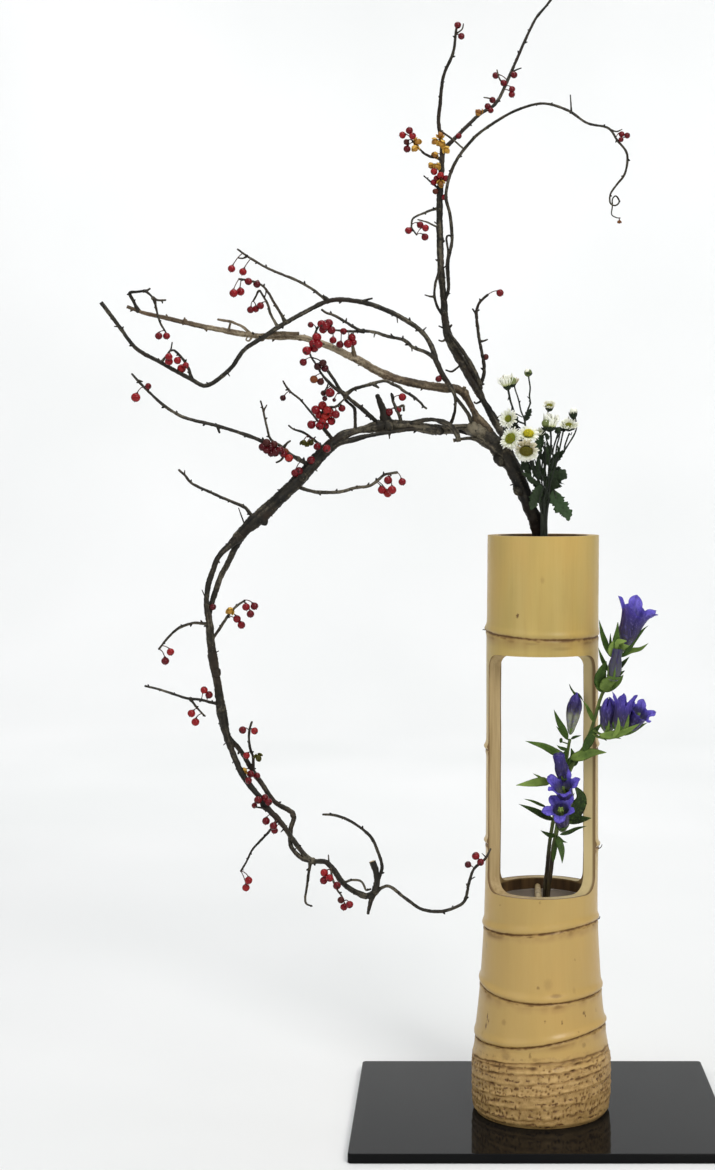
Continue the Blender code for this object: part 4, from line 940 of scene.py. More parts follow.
def bamboo_materials():
    """Skin, split face, end grain and inner wall."""
    made, tree, shader = material("bamboo_skin", srgb(186, 156, 98), 0.36, Specular_IOR_Level=0.42,
                                  Coat_Weight=0.10, Coat_Roughness=0.25)
    pos = position(tree)
    streak_v = position(tree, (1, 1, 0.05))
    streak = noise_out(tree, streak_v, 130.0, 5.0, 0.62)
    fibre = noise_out(tree, position(tree, (1, 1, 0.03)), 620.0, 3.0, 0.6)
    cloud = noise_out(tree, position(tree, (1, 1, 0.45)), 13.0, 3.0, 0.5)
    base = ramp(tree, cloud, ((0.28, srgb(174, 152, 86)), (0.45, srgb(190, 164, 94)), (0.58, srgb(198, 166, 92)), (0.75, srgb(210, 178, 112))))
    base = mix(tree, span(tree, streak, 0.46, 0.78, 0.0, 0.26), base, srgb(176, 144, 80))
    base = mix(tree, span(tree, streak, 0.50, 0.26, 0.0, 0.20), base, srgb(202, 176, 112))
    base = mix(tree, span(tree, fibre, 0.54, 0.80, 0.0, 0.16), base, srgb(160, 128, 70))
    # the stem is yellower above and more orange below
    tall = node(tree, "ShaderNodeSeparateXYZ", {"Vector": position(tree)}).outputs["Z"]
    base = mix(tree, span(tree, tall, 0.42, 0.16, 0.0, 0.55), base, srgb(192, 154, 90))
    # the root end is browner
    low = node(tree, "ShaderNodeSeparateXYZ", {"Vector": position(tree)}).outputs["Z"]
    root = span(tree, low, 0.080, 0.056, 0.0, 1.0)
    scale_noise = noise_out(tree, pos, 160.0, 5.0, 0.65)
    rooty = ramp(tree, scale_noise, ((0.30, srgb(134, 100, 60)), (0.50, srgb(184, 146, 92)), (0.70, srgb(214, 178, 122))))
    base = mix(tree, maths(tree, "MULTIPLY", root, 0.62), base, rooty)
    # freckles and small stains near the joints
    cells = node(tree, "ShaderNodeTexVoronoi", {"Vector": position(tree, (1, 1, 0.55)), "Scale": 62.0})
    rare = span(tree, noise_out(tree, pos, 24.0, 2.0), 0.56, 0.68)
    spots = maths(tree, "MULTIPLY", span(tree, cells.outputs["Distance"], 0.06, 0.16, 1.0, 0.0), rare)
    base = mix(tree, maths(tree, "MULTIPLY", spots, 0.22), base, srgb(112, 80, 40))
    stain_and_shade = attribute(tree, "tone")
    ragged = maths(tree, "MULTIPLY", maths(tree, "SUBTRACT", noise_out(tree, pos, 520.0, 3.0, 0.6), 0.5), 0.0032)
    for fx, fy, fz, wide, tall_, deep in FRECKLES:
        shift = node(tree, "ShaderNodeVectorMath", {0: pos, 1: (fx, fy, fz)}, operation="SUBTRACT").outputs["Vector"]
        flat = node(tree, "ShaderNodeVectorMath", {0: shift, 1: (1.0, 1.0, 1.0 / tall_)}, operation="MULTIPLY").outputs["Vector"]
        far = node(tree, "ShaderNodeVectorMath", {0: flat}, operation="LENGTH").outputs["Value"]
        far = maths(tree, "ADD", far, ragged)
        base = mix(tree, span(tree, far, wide * 0.0005, wide * 0.0013, deep, 0.0), base, srgb(92, 56, 16))
    # pits and cracks run round the root end in wavy rows between its joints
    grit = noise_out(tree, position(tree, (1, 1, 0.6)), 620.0, 3.0, 0.6)
    sway = noise_out(tree, pos, 46.0, 3.0, 0.6)
    level = maths(tree, "ADD", tall, maths(tree, "MULTIPLY", sway, 0.0135))
    turn = maths(tree, "MULTIPLY", node(tree, "ShaderNodeSeparateXYZ", {"Vector": position(tree)}).outputs["X"], 0.055)
    level = maths(tree, "SUBTRACT", level, turn)
    line = maths(tree, "PINGPONG", level, 0.0034)
    thin = span(tree, line, 0.0004, 0.0013, 1.0, 0.0)
    dashes = maths(tree, "MULTIPLY", thin, span(tree, noise_out(tree, position(tree, (1, 1, 0.4)), 210.0, 3.0, 0.7), 0.47, 0.58))
    pits = maths(tree, "MULTIPLY", span(tree, grit, 0.62, 0.68), span(tree, line, 0.0022, 0.0006, 0.10, 1.0))
    cracked = maths(tree, "MULTIPLY", maths(tree, "MAXIMUM", dashes, pits), root)
    base = mix(tree, maths(tree, "MULTIPLY", cracked, 0.9), base, srgb(88, 54, 28))
    # between the rows of cracks the colour is lightened: a painted highlight on the ridges of the root end
    painted_ridge_highlight = maths(tree, "MULTIPLY", maths(tree, "MULTIPLY", span(tree, line, 0.0026, 0.0034), root), span(tree, sway, 0.4, 0.6))
    base = mix(tree, maths(tree, "MULTIPLY", painted_ridge_highlight, 0.45), base, srgb(212, 178, 122))
    # the tone attribute darkens the skin: real stains, plus painted shade in the band under each node
    base = mix(tree, span(tree, stain_and_shade, 0.05, 0.50, 0.0, 0.50), base, srgb(146, 108, 58))
    base = mix(tree, span(tree, stain_and_shade, 0.40, 0.95, 0.0, 0.92), base, mix(tree, root, srgb(92, 60, 22), srgb(62, 34, 14)))
    colour_in(tree, shader, base)
    rough = span(tree, scale_noise, 0.3, 0.7, 0.30, 0.44)
    rough = maths(tree, "ADD", rough, maths(tree, "MULTIPLY", root, 0.18))
    tree.links.new(rough, shader.inputs["Roughness"])
    dull = span(tree, stain_and_shade, 0.2, 0.7, 0.0, 0.35)
    rough = maths(tree, "ADD", rough, dull)
    tree.links.new(rough, shader.inputs["Roughness"])
    height = maths(tree, "ADD", maths(tree, "MULTIPLY", fibre, 0.35), maths(tree, "MULTIPLY", maths(tree, "MULTIPLY", scale_noise, root), 0.9))
    height = maths(tree, "SUBTRACT", height, maths(tree, "MULTIPLY", cracked, 1.2))
    bump(tree, shader, height, 0.35, 0.0005)
    skin_m = made

    made, tree, shader = material("bamboo_split", srgb(166, 142, 98), 0.6, Specular_IOR_Level=0.25)
    grain = noise_out(tree, position(tree, (1, 1, 0.035)), 900.0, 4.0, 0.6)
    wide = noise_out(tree, position(tree, (1, 1, 0.06)), 190.0, 3.0, 0.6)
    base = ramp(tree, wide, ((0.3, srgb(156, 132, 88)), (0.5, srgb(174, 150, 106)), (0.72, srgb(188, 164, 120))))
    base = mix(tree, span(tree, grain, 0.50, 0.72, 0.0, 0.30), base, srgb(140, 112, 70))
    where = node(tree, "ShaderNodeSeparateXYZ", {"Vector": position(tree)})
    # split faces on the right of the culm are lightened: painted light on the right-hand pillar, whose face the key
    # light leaves in shade
    base = mix(tree, span(tree, where.outputs["X"], -0.01, 0.01, 0.0, 0.6), base, srgb(214, 196, 144))
    east, north = where.outputs["X"], where.outputs["Y"]
    reach = maths(tree, "SQRT", maths(tree, "ADD", maths(tree, "MULTIPLY", east, east), maths(tree, "MULTIPLY", north, north)))
    reach = maths(tree, "ADD", reach, maths(tree, "MULTIPLY", noise_out(tree, position(tree, (1, 1, 0.3)), 60.0, 2.0), 0.0016))
    base = mix(tree, span(tree, reach, 0.0540, 0.0556, 0.0, 0.8), base, srgb(92, 62, 30))
    colour_in(tree, shader, base)
    bump(tree, shader, grain, 0.5, 0.0003)
    split = made

    made, tree, shader = material("bamboo_end_grain", srgb(170, 146, 98), 0.7, Specular_IOR_Level=0.2)
    pos = position(tree)
    cells = node(tree, "ShaderNodeTexVoronoi", {"Vector": pos, "Scale": 700.0})
    dots = span(tree, cells.outputs["Distance"], 0.18, 0.30, 1.0, 0.0)
    base = ramp(tree, noise_out(tree, pos, 90.0, 3.0), ((0.3, srgb(160, 136, 92)), (0.7, srgb(196, 172, 124))))
    base = mix(tree, maths(tree, "MULTIPLY", dots, 0.6), base, srgb(110, 84, 48))
    colour_in(tree, shader, base)
    bump(tree, shader, dots, 0.3, 0.0003)
    grain_m = made

    made, tree, shader = material("bamboo_inside", srgb(92, 66, 38), 0.55, Specular_IOR_Level=0.3)
    wide = noise_out(tree, position(tree, (1, 1, 0.10)), 120.0, 4.0, 0.6)
    low = node(tree, "ShaderNodeSeparateXYZ", {"Vector": position(tree)}).outputs["Z"]
    pale = ramp(tree, wide, ((0.3, srgb(132, 106, 64)), (0.7, srgb(172, 146, 98))))
    dark = ramp(tree, wide, ((0.3, srgb(52, 35, 18)), (0.7, srgb(104, 78, 46))))
    # below the sill and above the upper floor the inner wall is darker: partly water stain, partly painted shade inside
    # the cups
    wet = maths(tree, "ADD", span(tree, low, 0.2262, 0.2242, 0.0, 1.0), span(tree, low, 0.4735, 0.4755, 0.0, 1.0), clamp=True)
    base = mix(tree, wet, pale, dark)
    colour_in(tree, shader, base)
    bump(tree, shader, wide, 0.4, 0.0006)
    return skin_m, split, grain_m, made


def vase():
    steps = 384
    a = np.arange(steps) / steps * 2 * math.pi - math.pi
    rows = vase_rows()
    h = rows[:, None] * np.ones((1, steps))
    aa = a[None, :] * np.ones((len(rows), 1))
    z = h + ring_offset(aa, h)
    r = vase_radius(z)
    outer = np.stack([r * np.cos(aa), r * np.sin(aa), z], -1)
    inner = []
    ri = lambda zz: vase_radius(zz) - VASE_WALL
    for rr, zz in ((55.1, 578.0), (ri(578) + 0.5, 578.0), (ri(578), 577.4), (ri(560), 560.0), (ri(520), 520.0), (ri(495), 492.0), (ri(488) - 3.0, 487.2), (ri(488) - 9.0, 486.2), (20.0, 486.0)):
        inner.append(np.stack([rr * np.cos(a), rr * np.sin(a), np.full(steps, zz)], -1))
    under = []
    for rr, zz in ((30.0, 10.2), (50.0, 9.9), (60.0, 9.4), (64.0, 9.3)):
        under.append(np.stack([rr * np.cos(a), rr * np.sin(a), np.full(steps, zz)], -1))
    sec = np.concatenate([np.array(under), outer[:-1], outer[-1:] * [0.998, 0.998, 1.0], np.array(inner)])
    pool = Pool()
    pool.loft(sec, (True, True))
    mesh = bpy.data.meshes.new("culm")
    verts = np.concatenate(pool.v)
    quads = np.concatenate(pool.q)
    tris = np.concatenate(pool.t)
    mesh.from_pydata(verts.tolist(), [], quads.tolist() + tris.tolist())
    culm = bpy.data.objects.new("culm", mesh)
    bpy.context.scene.collection.objects.link(culm)
    mid, tall = (SILL + LINTEL) / 2, LINTEL - SILL
    inside = revolve([(8.0, LOWER_FLOOR), (36.0, LOWER_FLOOR + 0.3), (41.0, LOWER_FLOOR + 2.0), (44.0, LOWER_FLOOR + 5.5),
                      (45.2, LOWER_FLOOR + 10)] + [(45.2 - 0.15 * math.sin(k), LOWER_FLOOR + 10 + k * 12.0) for k in range(1, 22)]
                     + [(44.6, UPPER_CEILING - 7), (42.5, UPPER_CEILING - 3), (39.0, UPPER_CEILING - 0.8), (34.0, UPPER_CEILING), (8.0, UPPER_CEILING + 0.2)], 144, "storey")
    c, s = math.cos(WINDOW_TURN), math.sin(WINDOW_TURN)
    off = WINDOW_FACE + 50
    front = rounded_cutter("front_window", (180, 100, tall), (s * off, -c * off, mid), 17, 16, WINDOW_TURN)
    back = rounded_cutter("back_window", (180, 100, tall), (-s * off, c * off, mid), 13, 14, WINDOW_TURN)
    for cutter in (inside, front, back):
        cut = culm.modifiers.new(cutter.name, "BOOLEAN")
        cut.operation = "DIFFERENCE"
        cut.object = cutter
        cut.solver = "EXACT"
    bpy.context.view_layer.update()
    graph = bpy.context.evaluated_depsgraph_get()
    done = bpy.data.meshes.new_from_object(culm.evaluated_get(graph))
    for obj in (culm, inside, front, back):
        bpy.data.objects.remove(obj, do_unlink=True)
    count = len(done.vertices)
    co = np.zeros(count * 3, np.float32)
    done.vertices.foreach_get("co", co)
    p = co.reshape(-1, 3).astype(float)
    ang = np.arctan2(p[:, 1], p[:, 0])
    rad = np.hypot(p[:, 0], p[:, 1])
    out = (np.abs(rad - vase_radius(p[:, 2])) < 0.12) & (p[:, 2] < VASE_TOP - 0.01)
    top = (rad > 55.0) & (p[:, 2] >= VASE_TOP - 0.01)
    stain_and_shade = np.zeros(count)
    hh = mean_height(ang, p[:, 2])
    dr, st = skin(ang[out], hh[out], p[out])
    fade = np.clip((hh[out] - 9.3) / 3.0, 0, 1)
    grow = 1 + dr * fade / rad[out]
    p[out, 0] *= grow
    p[out, 1] *= grow
    stain_and_shade[out] = st
    cx, cy = vase_centre(p[:, 2])
    # faces by where they lie, before the lean is added
    faces = len(done.polygons)
    normals = np.zeros(faces * 3, np.float32)
    centres = np.zeros(faces * 3, np.float32)
    done.polygons.foreach_get("normal", normals)
    done.polygons.foreach_get("center", centres)
    normals, centres = normals.reshape(-1, 3), centres.reshape(-1, 3)
    fr = np.hypot(centres[:, 0], centres[:, 1])
    radial = (normals[:, 0] * centres[:, 0] + normals[:, 1] * centres[:, 1]) / np.maximum(fr, 1e-6)
    kind = np.full(faces, 3, np.int32)
    kind[(radial > 0.5) & (fr > 50)] = 0
    flat = (np.abs(normals[:, 2]) > 0.7) & (fr > 43)
    kind[flat] = 2
    split = (np.abs(normals[:, 1] * c - normals[:, 0] * -s) > 0.5) & (np.abs(radial) < 0.75) & (fr < 60) & (centres[:, 2] > SILL - 0.5) & (centres[:, 2] < LINTEL + 0.5) & ~flat
    planar = np.abs(np.abs(-centres[:, 0] * s + centres[:, 1] * c) - WINDOW_FACE) < 0.4
    kind[split & planar] = 1
    corner = (centres[:, 2] > SILL - 0.5) & (centres[:, 2] < LINTEL + 0.5) & (fr > 44.5) & (np.abs(radial) < 0.8) & (np.abs(normals[:, 2]) > 0.02) & (kind != 0)
    kind[corner] = 1
    p[:, 0] += cx
    p[:, 1] += cy
    done.vertices.foreach_set("co", (p * MM).astype(np.float32).ravel())
    done.polygons.foreach_set("material_index", kind)
    for label, rows_ in (("tone", stain_and_shade), ("along", np.zeros(count))):
        layer = done.attributes.get(label) or done.attributes.new(label, "FLOAT", "POINT")
        layer.data.foreach_set("value", rows_.astype(np.float32))
    done.update()
    done.shade_smooth()
    done.set_sharp_from_angle(angle=math.radians(38))
    done.name = "bamboo_culm"
    place("bamboo_culm", done, list(bamboo_materials()), "bamboo_vase")
    # dry sheath threads left on two of the nodes
    threads = Pool()
    for spots, r in ((((597.5, 848.5), (599.6, 848), (601.4, 846.6), (602, 844.6)), 0.55), (((597.6, 919), (598.8, 918.8), (599.6, 917.8), (599.9, 916.4)), 0.6),
                     (((485.2, 630.0), (483.6, 629.4), (482.8, 629.9)), 0.5)):
        cane(threads, route([(x, y, -6 - 2 * k, r * (1 - 0.13 * k)) for k, (x, y) in enumerate(spots)]), 7, 1.0, rough=0.08, ridges=0, lump=0.1, start="round", end="round")
    threads.piece("node_threads", [DARK_BARK], "bamboo_vase", "bamboo")
    print("culm faces", faces)


vase()


# ================================================================ board
def board():
    low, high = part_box("display_board")
    made, tree, shader = material("black_lacquer", (0.0075, 0.0075, 0.008), 0.07, Specular_IOR_Level=0.06,
                                  Coat_Weight=0.0)
    pos = position(tree)
    cloud = noise_out(tree, pos, 9.0, 3.0)
    colour_in(tree, shader, ramp(tree, cloud, ((0.3, (0.0050, 0.0052, 0.0058)), (0.7, (0.0075, 0.0075, 0.0075)))))
    tree.links.new(span(tree, noise_out(tree, pos, 60.0, 3.0), 0.3, 0.7, 0.055, 0.09), shader.inputs["Roughness"])
    bump(tree, shader, noise_out(tree, pos, 26.0, 2.0), 0.05, 0.0004)
    x0, y0, z0 = low / MM
    x1, y1, z1 = high / MM
    cx, cy, hx, hy = (x0 + x1) / 2, (y0 + y1) / 2, (x1 - x0) / 2, (y1 - y0) / 2

    def loop(inset, z, corner):
        pts = []
        for sx, sy, start in ((1, 1, 0), (-1, 1, 90), (-1, -1, 180), (1, -1, 270)):
            for k in range(7):
                t = math.radians(start + 90 * k / 6)
                pts.append((cx + sx * (hx - corner) + (corner - inset) * math.cos(t),
                            cy + sy * (hy - corner) + (corner - inset) * math.sin(t), z))
        return pts
    rings = [loop(3.0, z0 + 0.0, 4.0), loop(0.9, z0, 4.0)]
    for k in range(1, 6):
        t = k / 5 * math.pi / 2
        rings.append(loop(0.9 - 0.9 * math.sin(t), z0 + 0.9 - 0.9 * math.cos(t), 4.0))
    rings.append(loop(0.0, (z0 + z1) / 2, 4.0))
    for k in range(0, 7):
        t = k / 6 * math.pi / 2
        rings.append(loop(1.1 - 1.1 * math.cos(t), z1 - 1.1 + 1.1 * math.sin(t), 4.0))
    rings.append(loop(3.0, z1, 4.0))
    pool = Pool()
    pool.loft(np.array(rings), (True, True))
    pool.piece("lacquered_board", [made], "display_board", "black_lacquer", 30)


board()


# ================================================================ vines
ARCH = route([
    (540, 612, 4, 6.8), (539, 575, 2, 6.6), (538.5, 540, 0, 6.4), (535, 520, -3, 6.6), (527, 500, -6, 6.9),
    (519.5, 481, -8, 7.3), (509.5, 462, -10, 8.1), (499, 449, -12, 8.6), (487, 438.5, -14, 8.3), (476, 431.5, -16, 7.4),
    (467, 428, -17, 4.6), (459.5, 427.0, -18, 2.9), (450, 429, -19, 4.6), (440, 429.5, -20, 5.2), (430, 429, -22, 5.1),
    (415, 426, -25, 4.9), (400, 425.5, -27, 5.4), (388, 425.3, -30, 5.7), (375, 427, -33, 5.4), (366, 429, -35, 4.0),
    (358, 430.3, -37, 3.4), (349, 433.2, -40, 4.0), (341, 437, -42, 4.9), (323.5, 452, -48, 5.8), (305, 473, -53, 6.2), (288.4, 490, -57, 6.2),
    (274, 504, -60, 6.6), (260, 516.5, -62, 7.0), (246, 529, -64, 6.0), (237.5, 538, -66, 5.0)])
FALL = route([
    (240, 535, -66, 4.6), (230, 545, -69, 3.0), (219, 556, -71, 2.7), (213, 570, -71, 2.6),
    (208, 586, -68, 2.6), (206.5, 604, -66, 2.7), (209, 621, -65, 3.6), (210.5, 640, -65, 4.0),
    (213, 658, -65, 4.6), (217, 680, -63, 3.7), (221, 706, -62, 4.5), (226, 732, -62, 4.0),
    (234, 756, -65, 2.9), (244, 777, -68, 2.7), (259.4, 797, -71, 2.6), (270, 811, -73, 2.6),
    (282, 824, -75, 2.6), (292, 838, -77, 2.5), (304, 854, -80, 2.5), (313, 861, -82, 2.4),
    (325, 862, -84, 2.4), (333, 869, -86, 2.5), (343, 883, -88, 2.6), (354, 891, -90, 2.6),
    (366, 896.0, -92, 2.9), (373.6, 893.0, -95, 2.6)])
SECOND = route([
    (241, 535, -64, 3.8), (231, 557, -60, 2.9), (221.5, 575, -59, 2.8), (216, 590, -61, 2.7),
    (211, 606, -63, 2.6), (209, 616, -65, 2.4)])
INNER = route([
    (224, 728, -62, 2.8), (229, 738, -62, 2.8), (241, 751, -58, 2.4), (251, 768, -56, 2.4),
    (262, 784, -58, 2.4), (275, 802, -60, 2.4), (293, 814, -64, 2.4), (290.5, 830, -70, 2.2),
    (291, 846, -76, 2.2), (300, 857, -80, 2.2), (309, 861, -82, 2.0)])
LOWER_ARCH = route([
    (322, 455, -46, 2.2), (331, 449, -50, 2.4), (340, 443, -50, 2.7), (350, 440.6, -50, 3.0), (358, 438.4, -48, 2.8),
    (368, 436.0, -45, 2.3), (378, 434.2, -41, 1.9), (390, 432, -36, 2.0), (404, 430, -31, 2.0), (420, 428, -27, 2.2)])
UPRIGHT = route([
    (508, 447, -2, 3.4), (505, 437, 0, 3.9), (499.5, 428, 6, 4.3), (494.3, 420, 8, 4.1), (488.8, 410, 10, 3.7), (483, 400, 12, 3.2), (478.4, 391, 13, 4.4),
    (464.4, 366, 15, 4.6), (450, 341, 14, 4.4), (445, 320, 13, 3.6), (443.5, 300, 12, 3.4),
    (441, 272, 11, 3.4), (440, 240, 10, 3.3), (439.5, 208, 9, 3.1), (441.3, 172, 7, 2.9),
    (443, 142, 5, 2.6)])
LEADER_L = route([
    (443, 150, 5, 2.3), (438.5, 122, 2, 1.9), (440, 104, -1, 1.8), (443.5, 76, -5, 1.6),
    (453, 53, -10, 1.5), (456, 31, -14, 1.2), (457.5, 25, -15, 1.0)])
LEADER_R = route([
    (443, 150, 5, 2.3), (458.6, 134.8, 9, 2.0), (479, 115, 15, 1.8), (496, 103, 20, 1.7),
    (509, 77, 25, 1.6), (523, 45, 31, 1.5), (535, 20, 36, 1.4), (547, 5, 40, 1.3),
    (556, -8, 43, 1.1), (561, -22, 46, 0.9)])
TENDRIL = route([
    (445, 300, 10, 1.5), (448.5, 288, 7, 1.6), (448, 262, 3, 1.7), (452, 240, -2, 1.7),
    (450, 215, -5, 1.7), (446, 194, -8, 1.6), (454, 165, -13, 1.6), (472, 140, -20, 1.5),
    (490, 125.5, -26, 1.4), (516, 110.5, -32, 1.3), (543, 103.5, -36, 1.3), (568, 110.5, -38, 1.3),
    (587, 123, -38, 1.2), (608, 128, -36, 1.2), (617, 140, -34, 1.2), (627, 154, -31, 1.2),
    (625, 173, -28, 1.1), (616.5, 185, -25, 1.05), (610.5, 194, -22, 0.95), (610.3, 203, -19, 0.85),
    (615.5, 205.5, -18, 0.8), (619.3, 201.5, -20, 0.8), (616, 196, -21, 0.75), (612.5, 199, -19.5, 0.7),
    (612.3, 207, -18, 0.7), (611.6, 214.3, -17, 0.65), (616, 217.5, -16, 0.55), (620, 218, -16, 0.5)])
BROWN = route([
    (497, 443, -10, 4.4), (488.5, 432.5, -13, 5.6), (479.5, 421.8, -17, 5.8), (474.0, 411.5, -20, 3.1), (468.3, 401, -22, 3.3), (463.8, 393.8, -24.5, 4.1),
    (457, 389.4, -26, 4.2), (448, 388.4, -27, 4.2), (418, 384, -30, 4.2), (387, 375.5, -32, 4.2),
    (356, 359, -36, 3.6), (326, 345, -40, 3.1), (300, 337.5, -44, 3.0), (270, 337, -48, 2.7),
    (243, 334, -52, 2.8), (206, 327, -58, 2.4), (166, 318, -64, 2.2), (146, 313.5, -67, 1.9), (138, 310.8, -68, 1.6),
    (127, 306.6, -70, 1.6)])
DARK = route([
    (451.5, 422, -24, 1.7), (453.5, 416, -28, 1.5), (455, 409.5, -31, 1.4), (455.4, 402, -34, 1.4), (455, 396, -36, 1.7), (452, 389, -37, 2.4),
    (444, 377, -37, 2.8), (436.5, 362, -36, 2.6), (432, 348, -34, 2.5), (422, 332, -32, 2.4),
    (402, 318, -28, 2.4), (380, 307.5, -28, 2.5), (356, 300.9, -32, 2.4), (330, 300.5, -38, 2.3),
    (304, 312.7, -46, 2.3), (282, 325, -54, 2.2), (262, 338, -60, 2.2), (244, 350, -64, 2.2),
    (230, 369, -68, 2.1), (207, 385.5, -70, 2.1), (190, 378.5, -72, 2.1), (160, 362, -75, 2.0),
    (136, 348, -78, 2.0), (119, 326, -80, 1.9), (101, 302.6, -82, 1.9)])
LEFT = route([
    (312, 470, -52, 2.5), (304, 462.5, -55, 2.2), (281, 450.5, -62, 2.0), (252, 437, -74, 1.85),
    (218, 426, -82, 1.75), (186, 418, -88, 1.65), (166, 407, -92, 1.5), (150, 393, -96, 1.35),
    (139, 382, -99, 1.2), (132, 374, -100, 1.0)])
MIDDLE = route([
    (377.5, 428, -31, 2.3), (376, 421.5, -34, 2.1), (370, 416, -38, 2.1), (361, 408, -43, 2.15), (352, 401, -49, 1.9), (344, 394.5, -53, 1.9),
    (335, 388.3, -56, 1.6), (329, 382.5, -58, 1.55), (324, 377, -60, 1.4), (320, 371.5, -61, 1.2), (316, 364.5, -63, 1.0), (311, 356.5, -64, 1.0),
    (309.5, 350, -65, 1.2), (312, 344, -66, 1.4), (317, 329, -68, 1.2), (323, 322, -70, 1.0)])
STUB = route([
    (368, 914, -96, 1.4), (370.4, 903, -96, 1.9), (374.2, 893, -96, 2.9), (377.2, 883, -97, 3.1),
    (376.2, 872, -97, 3.0), (373.6, 865, -97, 3.3), (372.4, 861.4, -97, 3.5)])
TWIST = route([
    (376, 884, -97, 1.8), (382, 868, -102, 1.6), (378, 852, -106, 1.4), (370, 836, -108, 1.4),
    (352, 822, -108, 1.3), (336, 815.5, -104, 1.3), (323, 814.5, -100, 1.0)])
TAIL = route([
    (375, 893, -97, 1.8), (388, 886, -100, 1.5), (405, 898, -100, 1.6), (421.5, 909, -98, 1.6),
    (440, 911.5, -95, 1.6), (456, 907, -92, 1.5), (465, 900, -88, 1.5), (469, 883, -84, 1.4),
    (474, 869, -80, 1.3), (485, 859, -78, 1.2), (490.5, 849, -76, 0.9)])


def stalk_material():
    made, tree, shader = material("fruit_stalk", srgb(80, 42, 35), 0.55, Specular_IOR_Level=0.3)
    fine = noise_out(tree, position(tree), 300.0, 3.0)
    colour_in(tree, shader, ramp(tree, fine, ((0.3, srgb(50, 27, 22)), (0.55, srgb(80, 42, 34)), (0.75, srgb(112, 72, 54)))))
    bump(tree, shader, fine, 0.3, 0.0002)
    return made


STALK = stalk_material()


